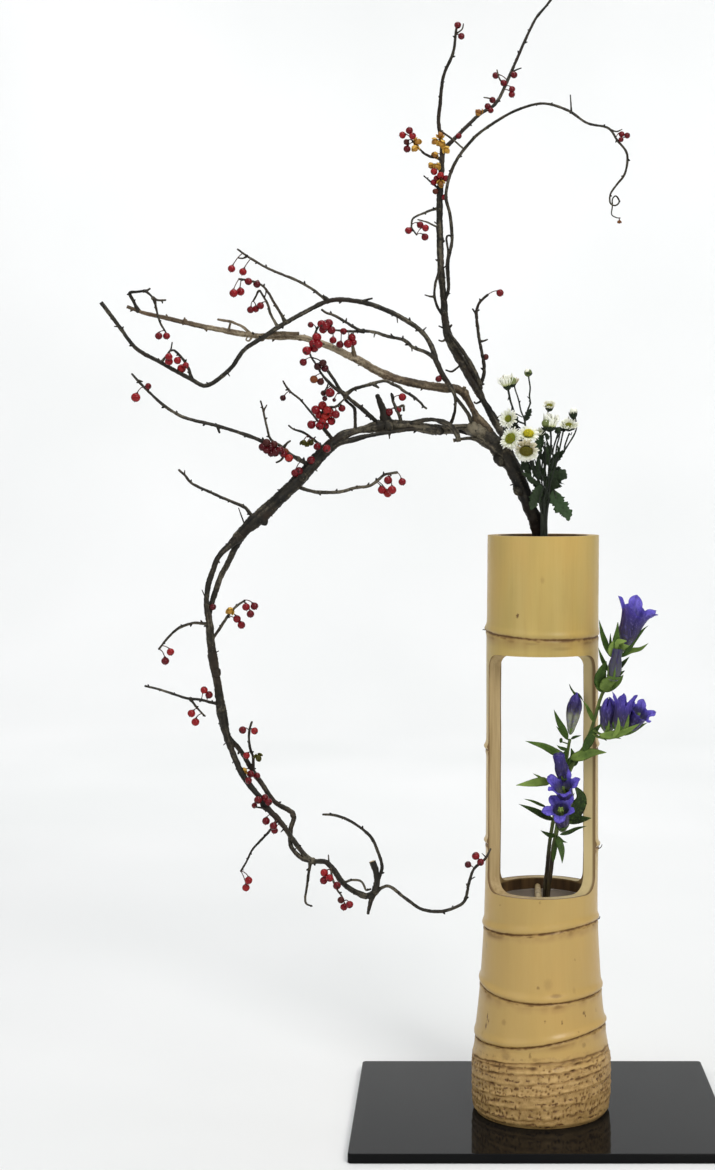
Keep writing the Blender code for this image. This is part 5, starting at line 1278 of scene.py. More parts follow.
class Plant:
    """One CAD node of the vine: its wood, the fruit that hangs from it and the split husks."""

    def __init__(self, node_name, bark=None):
        self.node, self.bark = node_name, bark or DARK_BARK
        self.wood, self.fruit, self.husks = Pool(), Pool(), Pool()
        self.seed = sum(ord(c) * (i + 3) for i, c in enumerate(node_name)) % 997
        self.rng = np.random.default_rng(self.seed)
        self.path = None
        self.k = 0

    def cane(self, line, sides=12, **kw):
        self.k += 1
        fine = cane(self.wood, line, sides, seed=self.seed % 50 + self.k * 1.3, cut_mat=1, **kw)
        self.path = fine if self.path is None else np.vstack([self.path, fine])
        return fine

    def twig(self, spots, start=1.3, end=0.7, lean=-8.0, line=None, sides=8, tip="round", buds=True, wander=0.35):
        rows = twig_line(self.path if line is None else line, spots, start * 1.16 + 0.08, end * 1.16 + 0.14, lean)
        self.k += 1
        fine = cane(self.wood, rows, sides, 1.4, rough=0.10, ridges=0.03, lump=0.10, seed=self.seed % 50 + self.k * 1.3,
                    flare=0.55, start="round", end=tip, wander=wander, tone=0.42 + 0.2 * self.rng.random())
        self.path = fine if self.path is None else np.vstack([self.path, fine])
        if buds:
            self.buds(fine, 13.0)
        return fine

    def buds(self, fine, gap, size=1.0):
        """Small blunt buds on alternate sides."""
        run = np.concatenate([[0], np.cumsum(np.linalg.norm(np.diff(fine[:, :3], axis=0), axis=1))])
        t, n, b = frames(fine[:, :3])
        s = gap * (0.3 + 0.5 * self.rng.random())
        side = self.rng.random() * 6.28
        while s < run[-1] - 2:
            i = int(np.searchsorted(run, s))
            side += 2.4 + 0.5 * self.rng.normal()
            out = unit(math.cos(side) * n[i] + math.sin(side) * b[i] + 0.45 * t[i])
            r = fine[i, 3]
            big = (0.42 * min(r, 2.0) + 0.35) * size * (0.8 + 0.4 * self.rng.random())
            p0 = fine[i, :3] + out * r * 0.45
            length = r * 0.55 + big * 1.9
            rows = np.array([[*(p0 + out * length * f), w] for f, w in
                             ((0.0, big * 1.25), (0.35, big * 1.05), (0.6, big * 0.85), (0.85, big * 0.5), (1.0, big * 0.18))])
            ring = np.arange(7) / 7 * 2 * math.pi
            x, y, a = turn_to(out)
            sec = rows[:, None, :3] + rows[:, None, 3:4] * (np.cos(ring)[None, :, None] * x + np.sin(ring)[None, :, None] * y)
            self.wood.loft(sec, tone=0.35, mat=0)
            s += gap * (0.6 + 0.8 * self.rng.random())

    def thorn(self, spot, to, r0=1.1, r1=0.45, lean=-2.0, line=None, tip="round"):
        """A short stub or thorn from the nearest stem to another spot."""
        rows = twig_line(self.path if line is None else line, (spot, to), r0, r1, lean)
        mid = rows[0] * 0.45 + rows[1] * 0.55
        mid[:3] += (0, 0, 0.25)
        self.k += 1
        cane(self.wood, np.array([rows[0], mid, rows[1]]), 7, 1.0, rough=0.1, ridges=0.03, lump=0.1,
             seed=self.seed % 50 + self.k, flare=0.4, start="round", end=tip)

    def stalk(self, root, head, lift, radius=0.5, sway=0.0):
        gap = head - root
        far = np.linalg.norm(gap)
        mid = root * 0.5 + head * 0.5 + np.array([sway, 0, lift])
        rows = np.array([[*root, radius * 1.5], [*(root * 0.75 + mid * 0.25 + np.array([0, 0, lift * 0.3])), radius * 1.1],
                         [*mid, radius], [*(mid * 0.35 + head * 0.65 + np.array([0, 0, lift * 0.25])), radius * 1.05], [*head, radius * 1.35]])
        if far < 2.5:
            rows = rows[[0, 2, 4]]
        cane(self.fruit, rows, 6, 1.0, rough=0.05, ridges=0.0, lump=0.06, seed=self.k, start="round", end="round", mat=1)

    def berry(self, spot, radius=4.0, shift=0.0, tone=None, line=None, hang_=0.8, kind="berry", lift=1.2, axis=None):
        """A fruit centred on the sheet's spot, on a stalk from the nearest stem."""
        rng = self.rng
        self.k += 1
        root, thick = nearest(self.path if line is None else line, spot)
        centre = at(*spot, root[1] + shift)
        gap = centre - root
        far = np.linalg.norm(gap)
        away = unit(gap) if far > 0.5 else np.array([0, -1.0, 0])
        if axis is None:
            axis = unit(away * (1.15 if gap[2] > -0.3 * far else 0.55) + np.array([0.12 * rng.normal(), -0.1, -hang_ if gap[2] < 0.6 * far else -0.1]) + 0.12 * rng.normal(size=3))
        head = centre - axis * radius * 0.97
        tone = (0.30 + 0.55 * rng.random()) if tone is None else tone
        if far > radius * 0.55:
            self.stalk(root, head, lift * min(1.0, far / 10.0), sway=0.25 * rng.normal())
        if kind == "split":
            tone = 0.88
        if kind in ("berry", "split", "black", "brown"):
            berry(self.fruit, centre, radius, axis, 0.02 if kind == "black" else tone, rng, mat=3 if kind == "brown" else 0)
            calyx_cup(self.fruit, head + axis * radius * 0.05, radius * (0.8 if kind == "split" else 0.62), axis, mat=3 if kind == "split" else 1, tone=0.8)
            tip = centre + axis * radius * 0.97
            rows = np.array([[*(tip - axis * 0.5), 0.42], [*(tip + axis * 0.35), 0.26]])
            cane(self.fruit, rows, 5, 0.5, rough=0, ridges=0, lump=0, start="round", end="round", mat=2)
        if kind in ("husk", "green"):
            spin = rng.random() * 2.1
            slot = 1 if kind == "green" else 0
            for k in range(3):
                husk_valve(self.husks, centre, radius * 0.82, axis, spin + k * 2.094, 0.10 + 0.16 * rng.random(), tone, slot)
            berry(self.husks, centre - axis * radius * 0.12, radius * 0.72, axis, tone * 0.6, rng, rows=8, cols=12, mat=slot)
            calyx_cup(self.husks, head + axis * radius * 0.1, radius * 0.5, axis, mat=slot, tone=0.2)

    def berries(self, spots, **kw):
        for k, row in enumerate(spots):
            x, y = row[:2]
            own = dict(kw)
            if len(row) > 2:
                own["radius"] = row[2]
            own.setdefault("shift", (-2.5, 1.5, -4.5, 3.0)[k % 4] - kw.get("forward", 0.0))
            own.pop("forward", None)
            self.berry((x, y), **own)

    def done(self, bark_slot="dark_bark"):
        short = self.node.replace("vine_", "").replace("spray_", "")
        replaced = False
        if self.wood.n:
            self.wood.piece("wood_" + short, [self.bark, CUT_WOOD], self.node, bark_slot, 50)
        if self.fruit.n:
            self.fruit.piece("berries_" + short, [BERRY, STALK, TIP, DRY_FRUIT], self.node, "red_berry")
        if self.husks.n:
            self.husks.piece("husks_" + short, [HUSK, OLIVE_HUSK], self.node)


def tip_material():
    made, tree, shader = material("dry_tip", srgb(40, 26, 18), 0.7, Specular_IOR_Level=0.2)
    colour_in(tree, shader, ramp(tree, noise_out(tree, position(tree), 500.0), ((0.3, srgb(26, 18, 14)), (0.7, srgb(64, 44, 30)))))
    return made


TIP = tip_material()


def dry_fruit_material():
    """Fruit gone brown-red. tone 0 dark, 1 the orange-brown of a dry cup."""
    made, tree, shader = material("dry_fruit", srgb(108, 58, 32), 0.45, Specular_IOR_Level=0.22)
    pos = position(tree)
    base = ramp(tree, attribute(tree, "tone"), ((0.0, srgb(46, 16, 16)), (0.4, srgb(78, 28, 22)), (0.8, srgb(112, 54, 28)), (1.0, srgb(150, 88, 40))))
    base = mix(tree, span(tree, noise_out(tree, pos, 330.0, 3.0), 0.42, 0.72, 0.0, 0.65), base, srgb(70, 32, 26))
    colour_in(tree, shader, base)
    bump(tree, shader, noise_out(tree, pos, 500.0, 3.0), 0.25, 0.0003)
    return made


DRY_FRUIT = dry_fruit_material()


def olive_husk_material():
    """Husks still greenish: tone 0 dark olive, 1 yellow-green."""
    made, tree, shader = material("olive_husk", srgb(90, 88, 26), 0.6, Specular_IOR_Level=0.2)
    base = ramp(tree, attribute(tree, "tone"), ((0.0, srgb(44, 42, 12)), (0.5, srgb(76, 74, 20)), (1.0, srgb(122, 116, 36))))
    base = mix(tree, span(tree, noise_out(tree, position(tree), 380.0, 3.0), 0.48, 0.7, 0.0, 0.6), base, srgb(40, 34, 12))
    colour_in(tree, shader, base)
    return made


OLIVE_HUSK = olive_husk_material()


def burl(pool, centre, axes, sizes, seed, rough=0.16, rows=26, cols=34, tone=0.5):
    """A gnarled knot: a lumpy ellipsoid with sunken seams."""
    x, y, a = [unit(v) for v in axes]
    th, ph = dome_grid(rows, cols)
    d = (np.sin(th)[:, None, None] * (np.cos(ph)[None, :, None] * x * sizes[0] + np.sin(ph)[None, :, None] * y * sizes[1])
         + np.cos(th)[:, None, None] * a * sizes[2])
    pts = centre + d
    lump = 1 + rough * 2 * fbm(pts, 7.0, seed, 3) + 0.10 * np.abs(fbm(pts, 4.0, seed + 4, 2))
    sec = centre + d * lump[:, :, None]
    pool.loft(sec[::-1], tone=tone + 0.25 * fbm(pts, 5.0, seed + 9)[::-1], mat=0)


def trunk():
    plant = Plant("vine_trunk_and_arch")
    arch = plant.cane(ARCH, 26, spacing=1.5, rough=0.075, ridges=0.045, lump=0.10, tone=(0.30, 0.30, 0.30, 0.32, 0.36, 0.46, 0.60, 0.66, 0.64, 0.60, 0.58, 0.50, 0.40, 0.44, 0.46, 0.44), end="round")
    fall = plant.cane(FALL, 14, spacing=1.3, rough=0.08, ridges=0.06, lump=0.10, tone=0.5, end="round", flare=0.25)
    plant.cane(SECOND, 14, spacing=1.3, rough=0.08, ridges=0.05, lump=0.10, tone=0.48, end="round", start="round", flare=0.25)
    inner = plant.cane(INNER, 12, spacing=1.3, rough=0.08, ridges=0.05, lump=0.10, tone=0.48, start="round", end="round", flare=0.3)
    low = plant.cane(LOWER_ARCH, 12, spacing=1.3, rough=0.09, ridges=0.05, lump=0.10, tone=0.45, start="round", end="round", flare=0.25)
    # the gnarled knot where the arch leaves the trunk, and the stem that lies over it
    burl(plant.wood, at(477, 431.0, -17), ((0.25, 0.2, -1), (0, 1, 0.1), (1, 0.05, -0.14)), (8.8, 8.6, 12.4), 3, 0.15, 38, 48, 0.74)
    burl(plant.wood, at(491, 441, -14), ((0.3, 0.2, -1), (0, 1, 0.1), (1, 0.05, -0.7)), (8.6, 8.4, 9.5), 5, 0.13, 28, 36, 0.42)
    over = route([(408, 424, -29, 1.8), (416, 421.8, -31, 2.2), (425, 420.0, -32, 2.2), (433, 419.6, -32, 2.1), (441, 421.6, -31, 2.6), (449.5, 425.2, -30, 3.0),
                  (454.6, 430.8, -29, 3.1), (457.4, 436.2, -28, 2.7), (458.4, 441.4, -27, 2.5)])
    plant.cane(over, 14, spacing=1.1, rough=0.10, ridges=0.06, lump=0.14, start="round", end="cut", tone=0.55)
    # this stem's bark tone is set low (0.2): painted shade for the dark hollow behind the knot
    behind = route([(444, 431, -15, 2.8), (452, 431.6, -13, 2.4), (460, 430.8, -12, 2.3), (470, 433, -12, 3.0)])
    plant.cane(behind, 10, spacing=1.2, rough=0.10, ridges=0.05, lump=0.12, start="round", end="round", tone=0.2)
    under = route([(453.5, 440.5, -25, 1.9), (464, 438.6, -24, 1.5), (473, 438.6, -22, 2.0), (484, 443, -19, 2.6), (494, 449.5, -15, 2.8)])
    plant.cane(under, 12, spacing=1.2, rough=0.10, ridges=0.05, lump=0.14, start="cut", end="round", tone=0.5)
    # smaller knots and warts
    for spot, d, size, seed in (((237.5, 536.5), -68, 4.4, 7), ((264, 521), -64, 4.2, 8), ((302, 476), -57, 5.4, 9), ((331, 447), -49, 4.6, 10),
                                ((389, 425), -32, 6.0, 11), ((440, 430.5), -24, 4.6, 12), ((217, 672), -66, 4.2, 13), ((221, 709), -64, 4.4, 14),
                                ((313, 861), -83, 3.0, 15), ((293, 815), -66, 2.8, 16), ((519, 489), -10, 6.2, 17), ((500, 459), -13, 6.8, 18)):
        burl(plant.wood, at(*spot, d), ((1, 0.2, 0.4), (0, 1, 0.1), (-0.4, 0.1, 1)), (size, size * 0.95, size * 1.1), seed, 0.16, 14, 18)
    plant.path = arch
    for spots, r0, r1, lean in ((((386.4, 421), (384.2, 413), (381.0, 405), (377.5, 396)), 4.9, 2.3, -8),):
        rows = twig_line(arch, spots, r0, r1, lean)
        cane(plant.wood, rows, 14, 1.2, rough=0.09, ridges=0.06, lump=0.12, seed=31, flare=0.35, start="round", end="round")
    plant.twig(((254, 520), (246.5, 509), (239.3, 504.5), (225.2, 499), (211.2, 492.6), (193.2, 484.2), (184.5, 475), (179, 470)), 1.5, 0.8, -8, arch)
    plant.thorn((184.5, 475), (184.7, 470.5), 0.7, 0.45)
    plant.thorn((241, 524), (238.6, 508), 1.0, 0.5)
    plant.twig(((355.6, 431), (355.3, 420), (355, 412), (353.8, 407.5), (347, 401.5), (345, 399), (343.6, 394.5)), 1.3, 1.1, -12, arch, buds=False)
    for a, b in (((517, 484), (510.5, 485.2)), ((389, 433), (389.6, 438.5)), ((434, 431), (436, 435)), ((445, 431), (446.5, 434.8)),
                 ((268, 511), (272, 516)), ((313, 468), (317, 471))):
        plant.thorn(a, b, 1.3, 0.6, line=arch)
    plant.path = fall
    plant.twig(((311, 860.5), (307.8, 879.3), (305.4, 901.2), (312, 906)), 1.3, 0.6, -8, fall)
    plant.twig(((259, 798), (262, 806), (268, 811), (272.7, 812.7), (277.5, 816.3), (283.6, 826), (290, 836)), 1.3, 1.1, -4, fall, buds=False)
    plant.twig(((258, 797), (262.4, 799), (267, 798), (269.7, 803)), 0.9, 0.5, -2, fall)
    plant.twig(((271.5, 812), (264, 808.5), (255.7, 807)), 0.9, 0.6, -3, fall)
    plant.twig(((340, 879), (345, 881.8), (352.4, 879.8), (360.9, 881.2), (364.5, 886.6), (366, 890), (370.6, 889)), 1.1, 0.7, -4, fall)
    for a, b in (((207, 600), (202, 590)), ((329, 864), (328.4, 855)), ((206.5, 608), (210.5, 603)), ((219, 690), (214, 686)),
                 ((213, 655), (218.5, 651)), ((228, 742), (223.5, 745)), ((236, 760), (232.5, 763)), ((285, 828), (281, 832))):
        plant.thorn(a, b, 1.0, 0.5, line=fall)
    plant.buds(arch[(arch[:, 0] < -60)], 42.0, 1.3)
    plant.buds(fall, 17.0)
    plant.buds(inner, 17.0)
    plant.buds(low, 24.0)
    plant.path = np.vstack([fall, inner])
    plant.berries([(250.5, 774, 3.7), (266, 821, 3.8), (273.5, 826, 3.8), (256.8, 776, 3.6), (248.5, 780.5, 3.4), (274.5, 830.5, 3.4),
                   (258, 800, 3.8), (265, 798, 3.8), (268.5, 802, 3.6), (254.5, 805.5, 2.8)], tone=0.35, forward=3.0)
    plant.berry((213, 607), 3.2, -3.0, 0.2)
    plant.berry((311, 460), 4.0, -7.0, 0.35, line=arch)
    plant.berry((299, 471), 4.0, -7.0, 0.25, line=arch)
    plant.done()


def hanging_shoot():
    plant = Plant("vine_hanging_shoot")
    plant.cane(STUB, 14, spacing=1.2, rough=0.09, ridges=0.06, lump=0.12, tone=0.5)
    twist = plant.cane(TWIST, 10, spacing=1.3, rough=0.08, ridges=0.04, lump=0.08, start="round", end="round", flare=0.4)
    tail = plant.cane(TAIL, 10, spacing=1.3, rough=0.08, ridges=0.04, lump=0.08, start="round", end="round", flare=0.4)
    burl(plant.wood, at(376, 889, -98), ((1, 0.2, 0.4), (0, 1, 0.1), (-0.2, 0.1, 1)), (3.8, 3.6, 4.8), 21, 0.16, 14, 18)
    burl(plant.wood, at(371.5, 895.0, -96), ((1, 0.1, 0.5), (0, 1, 0.1), (-0.3, 0.1, 1)), (4.6, 3.4, 3.4), 22, 0.14, 14, 18)
    plant.buds(twist, 15.0)
    plant.buds(tail, 15.0)
    plant.path = tail
    plant.twig(((466, 899), (468, 890), (466.5, 884)), 0.9, 0.5, -2, tail)
    plant.thorn((486, 858), (482, 853.5), 0.7, 0.4)
    plant.thorn((470, 880), (475, 877), 0.7, 0.4)
    plant.berry((475.8, 856), 3.9, -2.0, 0.55, tail, 0.8)
    plant.berry((480.6, 862.2), 3.5, -4.0, 0.35, tail, 0.8)
    plant.berry((468.0, 864.6), 3.3, -2.0, 0.12, tail, 0.8)
    plant.done()


def upright():
    plant = Plant("vine_upright")
    mast = plant.cane(UPRIGHT, 16, spacing=1.5, rough=0.08, ridges=0.055, lump=0.10, start="round", end="round")
    left = plant.cane(LEADER_L, 9, spacing=1.3, rough=0.08, ridges=0.04, lump=0.09, start="round", end="round")
    right = plant.cane(LEADER_R, 9, spacing=1.3, rough=0.08, ridges=0.04, lump=0.09, start="round", end="round")
    # the companion stem that runs beside the mast
    beside = route([(450, 334, 9, 1.6), (452.5, 338, 6, 1.9), (459.5, 347, 6, 2.0), (471.5, 365.5, 7, 2.2), (478.0, 378.5, 8, 2.2), (481.0, 388, 10, 2.0)])
    plant.cane(beside, 10, spacing=1.3, rough=0.08, ridges=0.04, lump=0.1, start="round", end="round")
    bypass = route([(440.5, 264, 9, 1.2), (438.6, 272, 5, 1.3), (435.3, 284, 3, 1.3), (434.4, 295.4, 3, 1.3), (437, 306, 5, 1.4), (442.5, 315, 9, 1.4)])
    by = plant.cane(bypass, 8, spacing=1.3, rough=0.08, ridges=0.03, lump=0.1, start="round", end="round")
    for spot, d, size, seed in (((505, 436), -1, 5.4, 31), ((449.5, 339), 13, 5.0, 32), ((443.5, 312), 12, 4.2, 33), ((463, 364), 14, 4.9, 34),
                                ((443, 145), 5, 3.0, 35), ((440, 238), 10, 3.5, 36)):
        burl(plant.wood, at(*spot, d), ((1, 0.2, 0.4), (0, 1, 0.1), (-0.4, 0.1, 1)), (size, size * 0.95, size * 1.15), seed, 0.15, 14, 18)
    for a, b, r in (((448, 332), (451.5, 325), 1.6), ((446, 330), (439, 326), 1.2), ((462, 362), (457, 355), 1.3), ((441, 270), (446, 266), 1.1), ((440, 226), (434.5, 222), 1.0),
                    ((440.5, 186), (433, 181), 0.9), ((481, 396), (474.5, 393), 1.2), ((495, 419), (501, 415.5), 1.2)):
        plant.thorn(a, b, r, r * 0.6, line=mast)
    plant.twig(((447, 337), (443, 341), (439, 340)), 1.1, 0.7, -3, mast, buds=False)
    plant.twig(((461, 362), (459.5, 366), (452, 371.5), (446, 370)), 1.1, 0.6, -5, mast)
    plant.twig(((435, 297), (430, 296.5), (425, 295)), 0.8, 0.5, -2, by, buds=False)
    plant.twig(((439.5, 190), (432, 183), (424, 176)), 1.0, 0.6, -4, mast)
    plant.twig(((433.6, 127.7), (441, 131), (452, 139), (463.4, 148.6)), 1.0, 0.7, -6, left)
    plant.twig(((496, 103), (491, 99), (484, 97.5)), 0.8, 0.5, -4, right, buds=False)
    plant.twig(((505, 86), (499.5, 79), (497, 70)), 0.9, 0.5, -4, right, buds=False)
    plant.twig(((510, 76), (515, 70.5), (521, 68)), 0.8, 0.5, -3, right, buds=False)
    plant.twig(((456, 34), (462, 29.5), (463.5, 24)), 0.7, 0.45, -3, left, buds=False)
    plant.buds(mast, 26.0, 1.1)
    plant.buds(left, 14.0)
    plant.buds(right, 14.0)
    plant.berry((457.7, 25.2), 3.5, -1.0, 0.35, left)
    plant.berry((461.3, 36.3), 3.4, -2.0, 0.3, left)
    for k, (x, y, r) in enumerate(((495.7, 75.5, 3.5), (514, 75, 3.5), (503.6, 83, 3.4), (512, 89.3, 3.3), (511.8, 94.5, 3.4), (492.5, 100, 3.3), (487.7, 106.3, 3.3), (490.7, 110.4, 3.0), (458.6, 136, 3.2))):
        plant.berry((x, y), r, (-1.5, -3.5)[k % 2], 0.25 + 0.05 * (k % 5), right)
    plant.berry((478.5, 111.5), 3.9, -2.0, 0.45, right, kind="husk")
    for k, (x, y, r, kind) in enumerate(((440.5, 134.5, 3.9, "husk"), (434.5, 142.0, 3.9, "husk"), (441.0, 144.5, 4.3, "husk"), (446.5, 150.5, 4.1, "husk"), (434.6, 155.2, 3.5, "husk"),
                                         (430.8, 166.5, 3.8, "husk"), (437.2, 166.4, 3.5, "husk"), (434.0, 171.6, 3.6, "split"), (440.6, 175.4, 3.6, "split"), (436.4, 178.6, 3.1, "berry"),
                                         (446.0, 178.4, 3.3, "berry"), (433.6, 182.4, 3.3, "berry"), (441.0, 184.0, 4.0, "husk"), (435.4, 191.4, 3.0, "brown"), (444.8, 197.3, 3.2, "berry"))):
        plant.berry((x, y), r, -6.5 if abs(x - 441) < 4.5 else (-2.5, -4.5, -1.0)[k % 3], (0.62 + 0.13 * (k % 4)) if kind == "husk" else 0.45 + 0.1 * (k % 3), mast, kind=kind)
    plant.done()


def tendril():
    plant = Plant("vine_curled_tendril")
    line = plant.cane(TENDRIL, 8, spacing=1.1, rough=0.07, ridges=0.03, lump=0.08, start="round", end="point")
    beside = route([(453, 238, -2, 0.9), (449.5, 235.5, 0, 1.0), (446.5, 238, 1, 1.1), (448, 252, 2, 1.1), (446.5, 266, 3, 1.1), (447.5, 279, 5, 1.1), (448.3, 289, 7, 1.1)])
    plant.cane(beside, 7, spacing=1.2, rough=0.07, ridges=0.0, lump=0.08, start="round", end="round")
    plant.buds(line, 18.0)
    plant.twig(((571, 112), (571, 105.4), (570.2, 95)), 0.7, 0.4, -2, line, buds=False)
    plant.twig(((611.6, 130), (617, 131.5), (622, 129.5)), 0.7, 0.4, -3, line, buds=False)
    plant.berry((621.6, 134.2), 3.0, -1.0, 0.4, line)
    plant.berry((627.2, 135.5), 3.0, -2.5, 0.3, line)
    plant.berry((621, 139.5), 2.6, -3.0, 0.35, line)
    plant.berry((619.3, 222.5), 2.2, 0.0, 0.2, line, kind="husk")
    plant.done()


def brown_cane():
    plant = Plant("vine_brown_cane", BROWN_BARK)
    line = plant.cane(BROWN, 16, spacing=1.5, rough=0.08, ridges=0.05, lump=0.10, start="round", end="cut", tone=(0.44, 0.40, 0.42, 0.44, 0.74, 0.72, 0.62, 0.56, 0.48, 0.46))
    for spot, d, size, seed in (((465, 392.5), -24, 4.6, 41), ((356, 359), -36, 4.0, 42), ((387, 376), -32, 4.6, 43), ((300, 338), -44, 3.4, 44),
                                ((206, 328), -58, 3.0, 45), ((185, 321.5), -61, 2.9, 46), ((262, 338), -49, 3.4, 47)):
        burl(plant.wood, at(*spot, d), ((1, 0.2, 0.4), (0, 1, 0.1), (-0.4, 0.1, 1)), (size * 0.9, size * 0.9, size), seed, 0.16, 14, 18)
    plant.thorn((465, 391), (465, 387.6), 1.8, 1.2, line=line)
    plant.thorn((354.5, 357), (352.2, 343.5), 2.2, 1.7, -6.0, line=line, tip="cut")
    plant.thorn((185, 321), (184.6, 318), 1.3, 0.8, line=line)
    plant.thorn((206, 328), (206.5, 331), 1.4, 0.9, line=line)
    plant.twig(((262, 338.5), (270, 334.5), (284, 333.2), (298.8, 334.2)), 1.9, 1.6, -5, line, tip="cut", buds=False)
    plant.twig(((252, 337), (247.6, 331), (242, 326.5), (231.5, 322), (224, 320.4), (218.2, 319.4)), 1.2, 0.9, -6, line, buds=False)
    plant.twig(((229.3, 330), (229.6, 326), (231, 322)), 0.9, 0.8, -4, line, buds=False)
    plant.twig(((252, 337.5), (249, 341), (246.2, 340), (247, 337.6)), 0.8, 0.5, -3, line, buds=False)
    plant.buds(line, 30.0, 1.1)
    plant.done("brown_bark")


def dark_cane():
    plant = Plant("vine_dark_cane")
    line = plant.cane(DARK, 12, spacing=1.4, rough=0.085, ridges=0.05, lump=0.09, start="round", end="cut", tone=0.48)
    prop = route([(455, 396.5, -35, 1.7), (458.5, 400.8, -33, 1.8), (463, 406.5, -31, 1.9), (468.5, 414.5, -27, 1.9), (471, 421, -24, 2.0)])
    plant.cane(prop, 10, spacing=1.3, rough=0.08, ridges=0.04, lump=0.1, start="round", end="round")
    for a, b, r in (((119, 327), (114.5, 326.4), 0.9), ((397, 316), (397.5, 322.5), 0.9), ((361, 301.5), (372, 298.4), 1.5), ((161, 361.5), (158.5, 358.5), 0.9),
                    ((190, 379), (192, 375.5), 0.9), ((228, 372.5), (229.6, 376), 0.9), ((283, 324.5), (286, 319.5), 1.0), ((422, 332), (426, 327.5), 1.0)):
        plant.thorn(a, b, r, r * 0.6, line=line)
    plant.twig(((326.5, 299.5), (324, 297)), 1.6, 1.2, -2, line, buds=False)
    plant.buds(line, 22.0)
    plant.berry((438.5, 379), 3.3, -4.0, 0.25, line)
    plant.done()


def left_shoot():
    plant = Plant("vine_left_shoot")
    line = plant.cane(LEFT, 10, spacing=1.3, rough=0.09, ridges=0.04, lump=0.10, start="round", end="round")
    plant.buds(line, 15.0, 1.15)
    plant.twig(((218, 426), (218.5, 430), (219.5, 432.5)), 1.0, 0.7, -1, line, buds=False)
    up = plant.twig(((298, 460), (291, 454.6), (282, 447), (270.5, 439), (266.4, 425), (263.4, 411), (260.6, 401)), 1.4, 0.6, -4, line)
    plant.twig(((263.6, 411), (266.6, 405)), 0.7, 0.45, -1, up, buds=False)
    plant.twig(((283, 448), (287, 443.5), (290, 441)), 1.0, 0.7, -4, up, buds=False)
    plant.twig(((285, 457), (281, 460), (276.5, 462.4)), 1.0, 0.7, -4, line, buds=False)
    plant.twig(((137.5, 380.5), (140, 381), (142.2, 381.6)), 0.7, 0.5, -1, line, buds=False)
    plant.berry((135.8, 397.5), 4.5, -3.0, 0.75, line, lift=3.0)
    plant.berry((148.2, 386.2), 3.1, -2.0, 0.4, line, lift=2.0)
    for k, (x, y, r, tone, kind) in enumerate(((262.6, 447.0, 4.0, 0.12, "berry"), (266.6, 442.6, 3.8, 0.2, "brown"), (270, 447.4, 4.2, 0.10, "berry"), (275, 452.2, 4.6, 0.12, "berry"), (280, 450.5, 4.2, 0.2, "berry"),
                                               (274, 444.4, 3.8, 0.3, "brown"), (283.5, 454.0, 3.8, 0.4, "berry"), (289, 458.2, 4.0, 0.97, "berry"), (285.6, 451.4, 3.2, 0.8, "brown"), (271, 453.5, 3.4, 0.1, "berry"),
                                               (266.4, 450.4, 3.4, 0.15, "berry"))):
        plant.berry((x, y), r, (-3.5, -6.0, -1.5)[k % 3], tone, line, kind=kind)
    plant.berry((295, 473), 3.8, -6.0, 0.35, line)
    plant.done()


def middle_cane():
    plant = Plant("vine_middle_cane")
    line = plant.cane(MIDDLE, 12, spacing=1.3, rough=0.09, ridges=0.04, lump=0.10, start="round", end="round", flare=0.2)
    plant.thorn((370, 416), (370.6, 419.6), 1.2, 0.7, line=line)
    plant.thorn((361, 408), (362.5, 405), 1.1, 0.7, line=line)
    bow = plant.twig(((345.8, 393.3), (353, 389.5), (362.7, 386.4), (372, 384), (384, 381), (392, 384), (400, 387.5), (402.5, 390), (410, 394.5), (414.5, 397.5), (420, 402), (423, 406), (426, 408.5)), 1.5, 0.9, -26, line, buds=False)
    plant.twig(((373, 384), (375.5, 385.5), (378.5, 387.6)), 1.2, 0.8, -1, bow, buds=False)
    plant.thorn((413.5, 397), (414.5, 400), 1.0, 0.7, line=bow)
    plant.thorn((394, 384.5), (392.6, 381), 0.9, 0.6, line=bow)
    plant.twig(((343.6, 394), (340, 389.5), (335, 381), (330, 374), (326.4, 368.4)), 1.35, 1.1, -2, line, buds=False)
    plant.twig(((311.6, 357), (316, 358.6), (320.4, 361)), 0.5, 0.4, -3, line, buds=False)
    plant.twig(((329, 383), (327, 387), (324.2, 392)), 0.6, 0.5, -5, line, buds=False)
    plant.twig(((344.5, 399), (342.4, 401), (338, 405), (332.5, 407.2), (328, 407.6)), 0.75, 0.45, -4, line, buds=False)
    plant.buds(line, 13.0)
    plant.buds(bow, 17.0, 0.9)
    for k, (x, y, r, tone, kind) in enumerate((
            (329, 323, 4.0, 0.42, "berry"), (321.5, 324, 4.0, 0.5, "berry"), (323, 329.5, 4.0, 0.45, "berry"), (326, 326.5, 4.2, 0.5, "berry"), (331.5, 330.3, 4.0, 0.35, "berry"),
            (310.6, 324.8, 2.9, 0.3, "berry"), (316.7, 337.4, 4.6, 0.70, "berry"), (313.0, 343.6, 4.0, 0.55, "berry"), (318.2, 344.3, 4.4, 0.62, "berry"), (306.8, 350.7, 4.4, 0.66, "berry"),
            (314.4, 348.4, 4.0, 0.5, "berry"), (303.3, 362.3, 3.7, 0.35, "berry"), (317.5, 366.5, 3.6, 0.05, "brown"), (323, 363.0, 3.6, 0.12, "brown"), (325.0, 368.4, 3.8, 0.10, "berry"),
            (313.8, 379.4, 3.9, 0.85, "brown"), (320.6, 381.6, 3.5, 0.3, "brown"), (330.0, 392.8, 4.6, 0.5, "berry"), (323.6, 393.2, 2.9, 0.15, "brown"), (324.8, 398.6, 2.6, 0.0, "black"), (334.2, 400.0, 1.9, 0.0, "black"))):
        plant.berry((x, y), r, (-3.5, -6.5, -1.0, -4.5)[k % 4], tone, line, kind=kind, lift=0.8)
    plant.done()


